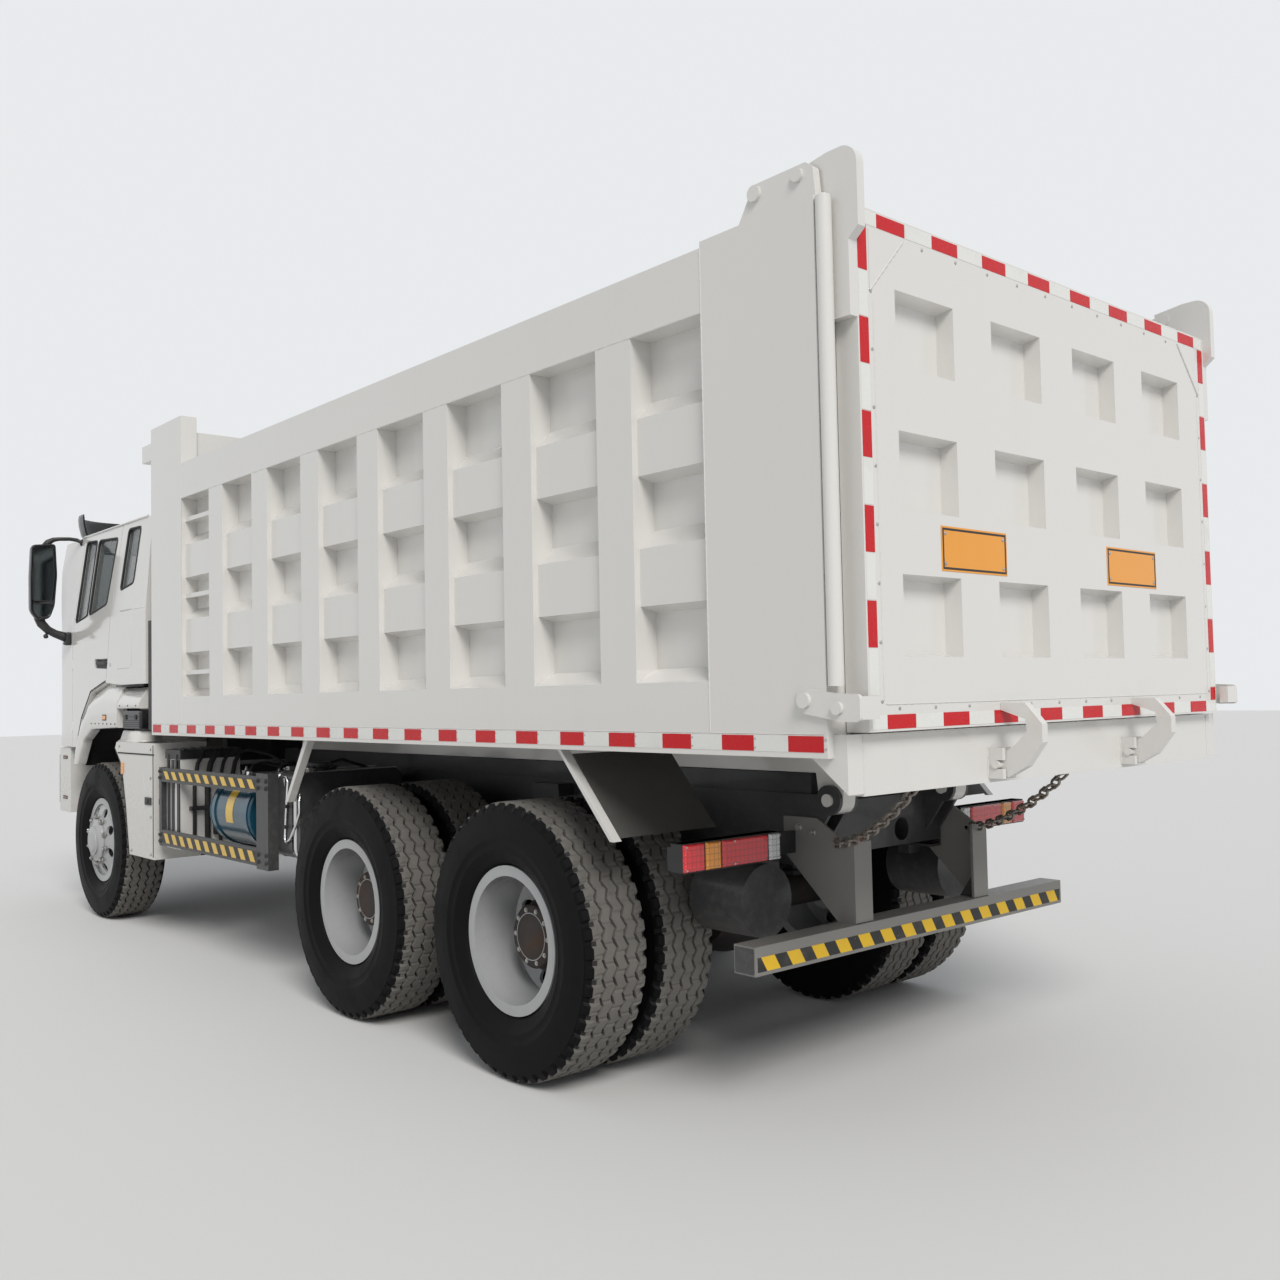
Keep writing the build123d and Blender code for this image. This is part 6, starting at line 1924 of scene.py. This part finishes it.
def visor_plan(inset):
    """Half of the visor's plan from its left rear end to the middle, moved in by the inset."""
    nose, half, radius = VISOR_NOSE - inset, VISOR_HALF - inset, VISOR_RADIUS - inset
    points = [(VISOR_TAIL, half), (VISOR_TAIL + 0.035, half)]
    for step in range(13):
        angle = math.pi / 2 * (1 - step / 12)
        points.append((nose - radius + radius * math.cos(angle), half - radius + radius * math.sin(angle)))
    points += [(nose, half - radius - (half - radius) * step / 6) for step in range(1, 7)]
    return points


class MakeVisor(bpy.types.Operator):
    """Makes the upswept sun visor that wraps round the roof's front"""
    bl_idname = "truck.visor"
    bl_label = "Sun visor"

    def execute(self, context):
        form = Form()
        section = (
            (0.052, 2.792), (0.020, 2.850), (0.004, 2.920), (0.0, 2.975), (0.004, 2.998), (0.010, 2.9985),
            (0.013, 2.975), (0.017, 2.920), (0.033, 2.850), (0.062, 2.796), (0.052, 2.792))
        rows = []
        for inset, level in section:
            half = visor_plan(inset)
            full = half + [(x, -y) for x, y in reversed(half[:-1])]
            rows.append([(x, y, level) for x, y in full])
        form.sheet(rows)
        for end in (0, -1):
            form.keep([form.mesh.faces.new([form.mesh.verts.new(row[end]) for row in rows[:-1]])])
        form.slot = 1
        for y in (-0.80, -0.27, 0.27, 0.80):
            form.tube(
                [(3.640, y, 2.878), (3.720, y, 2.900), (3.880, y, 2.925)], 0.009, 8)
            form.box((3.625, y - 0.022, 2.868), (3.665, y + 0.022, 2.884), 0.003)
            form.nut((3.645, y, 2.882), (0, 0, 1), 0.014, 0.007)
        piece = form.done("visor_wing", "cab", ("plastic_smoky", "plastic_black"), "black_plastic")
        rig.replaces(piece, "sun_visor")
        return {"FINISHED"}


MIRROR_OUTLINE = (
    (1.312, 2.760), (1.478, 2.742), (1.488, 2.500), (1.486, 2.236), (1.436, 2.168), (1.352, 2.188),
    (1.318, 2.285), (1.300, 2.520))
MIRROR_PANE = ((1.328, 2.738), (1.464, 2.722), (1.472, 2.500), (1.471, 2.318), (1.336, 2.324), (1.317, 2.520))
MIRROR_LOW_PANE = (
    (1.337, 2.302), (1.471, 2.296), (1.470, 2.244), (1.430, 2.190), (1.362, 2.206), (1.340, 2.250))
MIRROR_CENTRE = (1.395, 2.465)


class MakeMirrors(bpy.types.Operator):
    """Makes the mirrors: tapered housing, two panes, upper arm, lower arm and its foot"""
    bl_idname = "truck.mirrors"
    bl_label = "Mirrors"

    def execute(self, context):
        form = Form()
        form.slot = 0
        self.housing(form)
        form.slot = 1
        arm = [(3.565, 1.372, 2.735), (3.565, 1.350, 2.772), (3.560, 1.315, 2.793), (3.552, 1.280, 2.800),
               (3.500, 1.215, 2.799), (3.450, 1.178, 2.788), (3.404, 1.160, 2.768)]
        form.tube(arm, (0.030, 0.024, 0.018, 0.0145, 0.0140, 0.0145, 0.013), 12)
        form.revolve(
            [(0.0005, 0.0), (0.026, 0.0), (0.026, 0.008), (0.016, 0.016), (0.0005, 0.018)],
            (3.408, 1.150, 2.765), (0.4, 0.88, 0.2), 20)
        foot = [(3.562, 1.418, 2.200), (3.562, 1.398, 2.150), (3.560, 1.355, 2.105), (3.555, 1.305, 2.076),
                (3.548, 1.255, 2.058), (3.542, 1.215, 2.045)]
        form.tube(foot, (0.036, 0.034, 0.030, 0.030, 0.034, 0.040), 14)
        form.box((3.500, 1.199, 1.988), (3.580, 1.241, 2.088), 0.016)
        form.revolve(
            [(0.0005, -0.018), (0.014, -0.014), (0.018, 0.0), (0.014, 0.014), (0.0005, 0.018)],
            (3.560, 1.368, 2.056), (0, 0.3, 1), 16)
        form.rod((3.560, 1.366, 2.066), (3.560, 1.358, 2.095), 0.008, 8)
        for z in (2.002, 2.074):
            for x in (3.516, 3.564):
                form.rod((x, 1.240, z), (x, 1.243, z), 0.006, 10)
        form.slot = 3
        for z in (2.310, 2.690):
            form.box((3.609, 1.330, z), (3.6145, 1.455, z + 0.006), 0.001)
        form.slot = 2
        for shape in (MIRROR_PANE, MIRROR_LOW_PANE):
            path = rounded_path(shape, 0.018, 4)
            form.prism([(3.5205, p.x, p.y) for p in path], (0.003, 0, 0))
        form.slot = 1
        for shape in (MIRROR_PANE, MIRROR_LOW_PANE):
            path = rounded_path(shape, 0.018, 4)
            form.tube([(3.520, p.x, p.y) for p in path], 0.0035, 6, closed=True)
        piece = form.mirrored().done(
            "mirror_units", "cab", ("plastic_gloss", "plastic_black", "mirror_glass", "plastic_grey"),
            "black_plastic")
        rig.replaces(piece, "mirrors")
        return {"FINISHED"}

    def housing(self, form):
        """Moulded shell, deepest in its middle, with a recess for the panes."""
        outline_path = spread(rounded_path(MIRROR_OUTLINE, 0.028), 0.05)
        y, z = MIRROR_CENTRE
        rings = []
        sections = (
            (3.5215, 0.30), (3.5215, 0.915), (3.508, 0.935), (3.506, 0.965), (3.510, 0.990), (3.530, 1.0),
            (3.560, 0.992), (3.588, 0.955), (3.604, 0.880), (3.6115, 0.760), (3.6142, 0.40))
        for x, scale in sections:
            rings.append([(x, y + (p.x - y) * scale, z + (p.y - z) * scale) for p in outline_path])
        form.loft(rings)


FENDER_STATIONS = (
    ((3.400, 1.092), (3.296, 1.092)), ((3.385, 1.215), (3.253, 1.149)), ((3.262, 1.424), (3.150, 1.270)),
    ((3.052, 1.612), (2.968, 1.352)), ((2.713, 1.685), (2.700, 1.3595)), ((2.400, 1.665), (2.400, 1.368)))
FENDER_SECTION = (
    (0.006, 1.160), (0.02, 1.165), (0.34, 1.2215), (0.40, 1.2252), (0.47, 1.2262), (0.90, 1.2252),
    (0.965, 1.222), (1.0, 1.213), (1.0, 1.156))


def fender_stations():
    """Upper and lower edge points of the fender, from its front foot to its rear end."""
    pieces = 5
    stations = []
    for (upper, lower), (upper_next, lower_next) in zip(FENDER_STATIONS, FENDER_STATIONS[1:]):
        for step in range(pieces):
            share = step / pieces
            stations.append((
                Vector(upper).lerp(Vector(upper_next), share), Vector(lower).lerp(Vector(lower_next), share)))
    stations.append((Vector(FENDER_STATIONS[-1][0]), Vector(FENDER_STATIONS[-1][1])))
    return stations


class MakeFenders(bpy.types.Operator):
    """Makes the sloped fenders with their black ribbed liners and the covers behind them"""
    bl_idname = "truck.fenders"
    bl_label = "Fenders"

    def execute(self, context):
        form = Form()
        stations = fender_stations()
        self.skin(form, stations)
        self.rear_cover(form)
        form.slot = 1
        self.liner(form, stations)
        piece = form.mirrored().done("fender_skins", "cab", ("enamel_cab", "rubber_flap"), "white_paint")
        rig.replaces(piece, "cab_fenders")
        return {"FINISHED"}

    def skin(self, form, stations):
        rows = []
        for upper, lower in stations:
            row = [(upper.lerp(lower, share), y) for share, y in FENDER_SECTION]
            rows.append([(point.x, y, point.y) for point, y in row])
        form.sheet(rows)
        for row in (rows[0], rows[-1]):
            form.keep([form.mesh.faces.new([form.mesh.verts.new(point) for point in row])])

    def liner(self, form, stations):
        rows = []
        for upper, lower in stations:
            roof = upper + Vector((-0.020, -0.018))
            row = [(lower.x, 1.2125, lower.y), (lower.x + 0.001, 1.165, lower.y + 0.003)]
            for share, y in ((0.45, 1.150), (0.85, 1.140), (1.0, 1.110)):
                point = lower.lerp(roof, share)
                row.append((point.x, y, point.y))
            for step in range(10):
                y = 1.085 - 0.030 * step
                rib = 0.008 if step % 2 else 0.0
                row.append((roof.x - rib, y, roof.y - rib))
            rows.append(row)
        form.sheet(rows)

    def rear_cover(self, form):
        """White cover behind the arch, sloped like it."""
        section = (
            (1.150, 1.640), (1.166, 1.640), (1.2205, 1.548), (1.2262, 1.532), (1.2262, 1.508), (1.220, 1.500),
            (1.150, 1.500))
        form.loft([[(x, y, z) for y, z in section] for x in (1.960, 1.968, 2.392, 2.3995)])


class MakeCabLockers(bpy.types.Operator):
    """Makes the black lockers under the covers, their catches and the seals along the doors' lower edges"""
    bl_idname = "truck.cab_lockers"
    bl_label = "Cab lockers and lower seals"

    def execute(self, context):
        form = Form()
        form.box((1.962, 1.060, 1.362), (2.306, 1.220, 1.488), 0.016)
        form.slot = 1
        form.box((1.975, 1.2185, 1.442), (2.293, 1.2225, 1.447), 0.001)
        for x in (2.04, 2.23):
            form.box((x - 0.018, 1.2185, 1.426), (x + 0.018, 1.2265, 1.458), 0.003)
            form.rod((x - 0.014, 1.224, 1.454), (x + 0.014, 1.224, 1.454), 0.004, 8)
        for index in range(4):
            z = 1.378 + index * 0.013
            form.box((1.985, 1.2185, z), (2.283, 1.2215, z + 0.005), 0.001)
        form.slot = 0
        form.tube([(x, 1.1985, z) for x, z in ((2.470, 1.658), (2.400, 1.656), (1.930, 1.656))], 0.0095, 8)
        form.mirrored().done("cab_lockers", "cab", ("plastic_gloss", "plastic_black"), "black_plastic")
        for side, sign in SIDES:
            form = Form()
            path = [(2.722, 1.699), (3.050, 1.630), (3.266, 1.437), (3.345, 1.300)]
            form.tube([(x, sign * 1.1985, z) for x, z in path], 0.0050, 8)
            form.done(f"door_lower_seal_{side}", f"{side}_door", ("rubber_flap",), "black_plastic")
        return {"FINISHED"}


class MakeBumperCorners(bpy.types.Operator):
    """Makes the black lamp surrounds that wrap round the bumper's corners"""
    bl_idname = "truck.bumper_corners"
    bl_label = "Bumper corners"

    def execute(self, context):
        form = Form()
        self.wrap(form, 37.5, 76, 0.775, 1.150)
        self.wrap(form, 2, 37.5, 1.056, 1.150)
        self.wrap(form, 2, 37.5, 0.775, 0.853)
        form.slot = 1
        for low in (0.812, 1.118):
            form.box((3.640, BUMPER_HALF - 0.0025, low), (3.745, BUMPER_HALF + 0.0035, low + 0.026), 0.003)
            form.slot = 2
            form.box(
                (3.650, BUMPER_HALF + 0.002, low + 0.010), (3.735, BUMPER_HALF + 0.0055, low + 0.016), 0.001)
            form.slot = 1
        form.mirrored().done(
            "bumper_corners", "chassis", ("plastic_gloss", "plastic_black", "lens_amber"), "black_plastic")
        return {"FINISHED"}

    def wrap(self, form, start, end, low, high):
        """Moulding round part of the corner, between two angles from the front, in degrees."""
        rows = []
        section = ((low, 0.0), (low + 0.004, 0.0032), (high - 0.004, 0.0032), (high, 0.0))
        centre_x, centre_y = BUMPER_NOSE - BUMPER_RADIUS, BUMPER_HALF - BUMPER_RADIUS
        for z, lift in section:
            row = []
            for step in range(17):
                angle = math.radians(start + (end - start) * step / 16)
                edge = 0.0 if step in (0, 16) else lift
                reach = BUMPER_RADIUS + edge
                row.append((centre_x + reach * math.cos(angle), centre_y + reach * math.sin(angle), z))
            rows.append(row)
        form.sheet(rows)


# Seats and dashboard

SEAT_Y = 0.600
PAD_SIDES = 96
PAD_PROFILE = (
    (0.88, -1.0), (0.955, -0.96), (0.985, -0.80), (0.990, -0.30), (0.975, 0.02), (0.970, 0.08),
    (0.978, 0.14), (1.0, 0.42), (0.990, 0.66), (0.955, 0.83), (0.90, 0.915), (0.80, 0.960),
    (0.66, 0.982), (0.48, 0.994), (0.28, 1.0), (0.03, 1.0))


class Cushion:
    """Crowned pad with pulled-in sides, a waist seam and sewn channels."""

    def __init__(self, centre, along, face, size, channels=(), cross=()):
        self.centre = Vector(centre)
        self.along = Vector(along).normalized()
        self.face = Vector(face).normalized()
        self.across = self.face.cross(self.along)
        self.size = size
        self.channels = channels
        self.cross = cross

    def dip(self, u, v):
        """Depth of the channels at a place on the face, as a share of half the thickness."""
        depth = sum(0.16 * math.exp(-((u - place) / 0.035) ** 2) for place in self.channels)
        return depth + sum(0.14 * math.exp(-((v - place) / 0.030) ** 2) for place in self.cross)

    def point(self, angle, scale, height):
        c, s = math.cos(angle), math.sin(angle)
        u = math.copysign(abs(c) ** 0.34, c)
        v = math.copysign(abs(s) ** 0.34, s)
        pull = 1 - 0.022 * (abs(math.cos(2 * angle)) ** 2)
        u, v = u * scale * pull, v * scale * pull
        if height > 0.5:
            height -= self.dip(u, v) * min(1.0, (height - 0.5) * 3)
        wide, long, thick = (value / 2 for value in self.size)
        return self.centre + self.across * (u * wide) + self.along * (v * long) + self.face * (height * thick)

    def build(self, form):
        rings = []
        for scale, height in PAD_PROFILE:
            rings.append(
                [self.point(2 * math.pi * step / PAD_SIDES, scale, height) for step in range(PAD_SIDES)])
        form.loft(rings)
        form.slot = 1
        seam = [self.point(2 * math.pi * step / PAD_SIDES, 0.977, 0.05) for step in range(PAD_SIDES)]
        form.tube(seam, 0.0032, 6, closed=True)
        form.slot = 0


class MakeSeats(bpy.types.Operator):
    """Makes the seats: padded cushion, back and headrest on a bellows base with posts, levers and buckles"""
    bl_idname = "truck.seats"
    bl_label = "Seats"

    def execute(self, context):
        for side, sign in SIDES:
            y = sign * SEAT_Y
            shapes = {
                "cushion": Cushion(
                    (2.695, y, 1.836), (1, 0, 0), (0, 0, 1), (0.492, 0.505, 0.126), (-0.46, 0.46),
                    (-0.34, 0.02, 0.38)),
                "back": Cushion(
                    (2.4525, y, 2.140), (-0.2057, 0, 0.9786), (0.9786, 0, 0.2057), (0.474, 0.680, 0.098),
                    (-0.52, 0.52), (-0.52, -0.20, 0.12, 0.46)),
                "headrest": Cushion(
                    (2.3715, y, 2.600), (-0.102, 0, 0.995), (0.995, 0, 0.102), (0.256, 0.176, 0.086), (),
                    (0.0, ))}
            for part, shape in shapes.items():
                form = Form()
                shape.build(form)
                piece = form.done(f"seat_{part}_{side}", "cab", ("seat_cloth", "plastic_black"), "seat_cloth")
                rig.padded(piece, fill=0.8)
                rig.replaces(piece, "seats")
            self.base(side, sign, y)
        return {"FINISHED"}

    def base(self, side, sign, y):
        form = Form()
        for index in range(5):
            grow = 0.010 if index % 2 else 0.0
            low = 1.734 + index * 0.008
            form.box(
                (2.535 - grow, y - 0.138 - grow, low), (2.865 + grow, y + 0.138 + grow, low + 0.0075), 0.003)
        form.slot = 1
        for offset in (-0.060, 0.060):
            form.rod((2.385, y + offset, 2.450), (2.376, y + offset, 2.530), 0.0065, 14)
        form.slot = 0
        for edge in (-1, 1):
            form.revolve(
                [(0.0005, 0.0), (0.046, 0.0), (0.046, 0.006), (0.038, 0.010), (0.0005, 0.011)],
                (2.520, y + edge * 0.236, 1.850), (0, edge, 0), 28)
        form.box((2.560, y + sign * 0.238, 1.842), (2.700, y + sign * 0.247, 1.862), 0.004)
        form.slot = 1
        form.tube(
            [(2.500, y - sign * 0.235, 1.800), (2.520, y - sign * 0.242, 1.880),
             (2.530, y - sign * 0.242, 1.930)], 0.005, 8)
        form.slot = 2
        form.box((2.514, y - sign * 0.242 - 0.008, 1.925), (2.550, y - sign * 0.242 + 0.008, 1.985), 0.004)
        piece = form.done(f"seat_base_{side}", "cab", ("plastic_black", "chrome", "tape_red"), "seat_cloth")
        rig.replaces(piece, "seats")


# Stage

WORLD_LIGHT = (0.93, 0.96, 1.0, 1.0)
WORLD_LIGHT_STRENGTH = 0.42
WORLD_SEEN = (0.90, 0.92, 0.94, 1.0)
WORLD_SEEN_STRENGTH = 0.90
FLOOR_REACH = 60
SUN_FROM = (-1.0, 0.50, 0.95)


class MakeStage(bpy.types.Operator):
    """Makes the floor, the lights, the world and the camera"""
    bl_idname = "truck.stage"
    bl_label = "Stage"

    def execute(self, context):
        self.floor()
        self.world(context.scene)
        self.lamps()
        self.camera(context)
        context.scene.view_settings.view_transform = "Standard"
        return {"FINISHED"}

    def floor(self):
        form = Form()
        reach = FLOOR_REACH
        low = CAD_BOUNDS[0][2] - 0.001
        form.sheet(
            [[(-reach, -reach, low), (reach, -reach, low)], [(-reach, reach, low), (reach, reach, low)]])
        data = bpy.data.meshes.new("floor")
        form.mesh.to_mesh(data)
        form.mesh.free()
        paint = Paint("floor_pale")
        cloud = paint.noise(0.6, 4)
        data.materials.append(paint.set(
            Base_Color=paint.mix(cloud * 0.1, (0.80, 0.80, 0.79), (0.72, 0.72, 0.70)), Roughness=0.85))
        floor = bpy.data.objects.new("floor", data)
        bpy.context.scene.collection.objects.link(floor)
        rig.stage(floor)

    def world(self, scene):
        world = bpy.data.worlds.new("studio")
        world.use_nodes = True
        tree = world.node_tree
        tree.nodes.clear()
        rays = tree.nodes.new("ShaderNodeLightPath").outputs
        backgrounds = []
        for colour, strength in ((WORLD_LIGHT, WORLD_LIGHT_STRENGTH), (WORLD_SEEN, WORLD_SEEN_STRENGTH)):
            background = tree.nodes.new("ShaderNodeBackground")
            background.inputs[0].default_value = colour
            background.inputs[1].default_value = strength
            backgrounds.append(background.outputs[0])
        direct = rays["Is Camera Ray"]
        for ray in ("Is Glossy Ray", "Is Transmission Ray"):
            either = tree.nodes.new("ShaderNodeMath")
            either.operation = "MAXIMUM"
            tree.links.new(direct, either.inputs[0])
            tree.links.new(rays[ray], either.inputs[1])
            direct = either.outputs[0]
        choice = tree.nodes.new("ShaderNodeMixShader")
        output = tree.nodes.new("ShaderNodeOutputWorld")
        for socket, source in zip(choice.inputs, (direct, *backgrounds)):
            tree.links.new(source, socket)
        tree.links.new(choice.outputs[0], output.inputs[0])
        scene.world = world

    def lamps(self):
        sun = bpy.data.lights.new("key_sun", "SUN")
        sun.energy = 2.05
        sun.angle = math.radians(24)
        sun.color = (1.0, 0.98, 0.95)
        key = bpy.data.objects.new("key_sun", sun)
        key.rotation_euler = Vector(SUN_FROM).to_track_quat("Z", "Y").to_euler()
        bpy.context.scene.collection.objects.link(key)

    def camera(self, context):
        kit = context.scene.truck_camera
        yaw, pitch, roll = kit.yaw, kit.pitch, kit.roll
        ahead = Vector((math.cos(yaw) * math.cos(pitch), math.sin(yaw) * math.cos(pitch), math.sin(pitch)))
        level = Vector((math.sin(yaw), -math.cos(yaw), 0))
        upright = level.cross(ahead)
        right = level * math.cos(roll) + upright * math.sin(roll)
        up = right.cross(ahead)
        lens = bpy.data.cameras.new("camera")
        lens.lens = kit.focal_mm
        lens.sensor_width = 36
        lens.clip_end = 200
        camera = bpy.data.objects.new("camera", lens)
        turn = Matrix((right, up, -ahead)).transposed()
        camera.matrix_world = Matrix.Translation(Vector(kit.place)) @ turn.to_4x4()
        context.scene.collection.objects.link(camera)
        context.scene.camera = camera


# Add-on

class TruckPanel(bpy.types.Panel):
    """Lists the truck's settings and pieces"""
    bl_idname = "VIEW3D_PT_truck"
    bl_label = "Dump truck"
    bl_space_type = "VIEW_3D"
    bl_region_type = "UI"
    bl_category = "Truck"

    def draw(self, context):
        for group_name in SETTINGS:
            group = getattr(context.scene, group_name)
            column = self.layout.column(align=True)
            for key in group.bl_rna.properties.keys():
                if key not in ("rna_type", "name"):
                    column.prop(group, key)
        for operator in OPERATORS:
            self.layout.operator(operator.bl_idname)


OPERATORS = tuple(
    item for item in list(globals().values())
    if isinstance(item, type) and issubclass(item, bpy.types.Operator) and item.__module__ == __name__)


def register():
    for item in (*SETTINGS.values(), *OPERATORS, TruckPanel):
        bpy.utils.register_class(item)
    for group_name, group in SETTINGS.items():
        setattr(bpy.types.Scene, group_name, bpy.props.PointerProperty(type=group))


def unregister():
    for group_name in SETTINGS:
        delattr(bpy.types.Scene, group_name)
    for item in (TruckPanel, *reversed(OPERATORS), *SETTINGS.values()):
        bpy.utils.unregister_class(item)


def main():
    register()
    for operator in OPERATORS:
        group, name = operator.bl_idname.split(".")
        getattr(getattr(bpy.ops, group), name)()
    with open("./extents.json", "w") as out:
        json.dump({"cad": [list(corner) for corner in CAD_BOUNDS],
                   "visual": [list(corner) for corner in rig.bounds()]}, out)


if __name__ == "__main__":
    main()
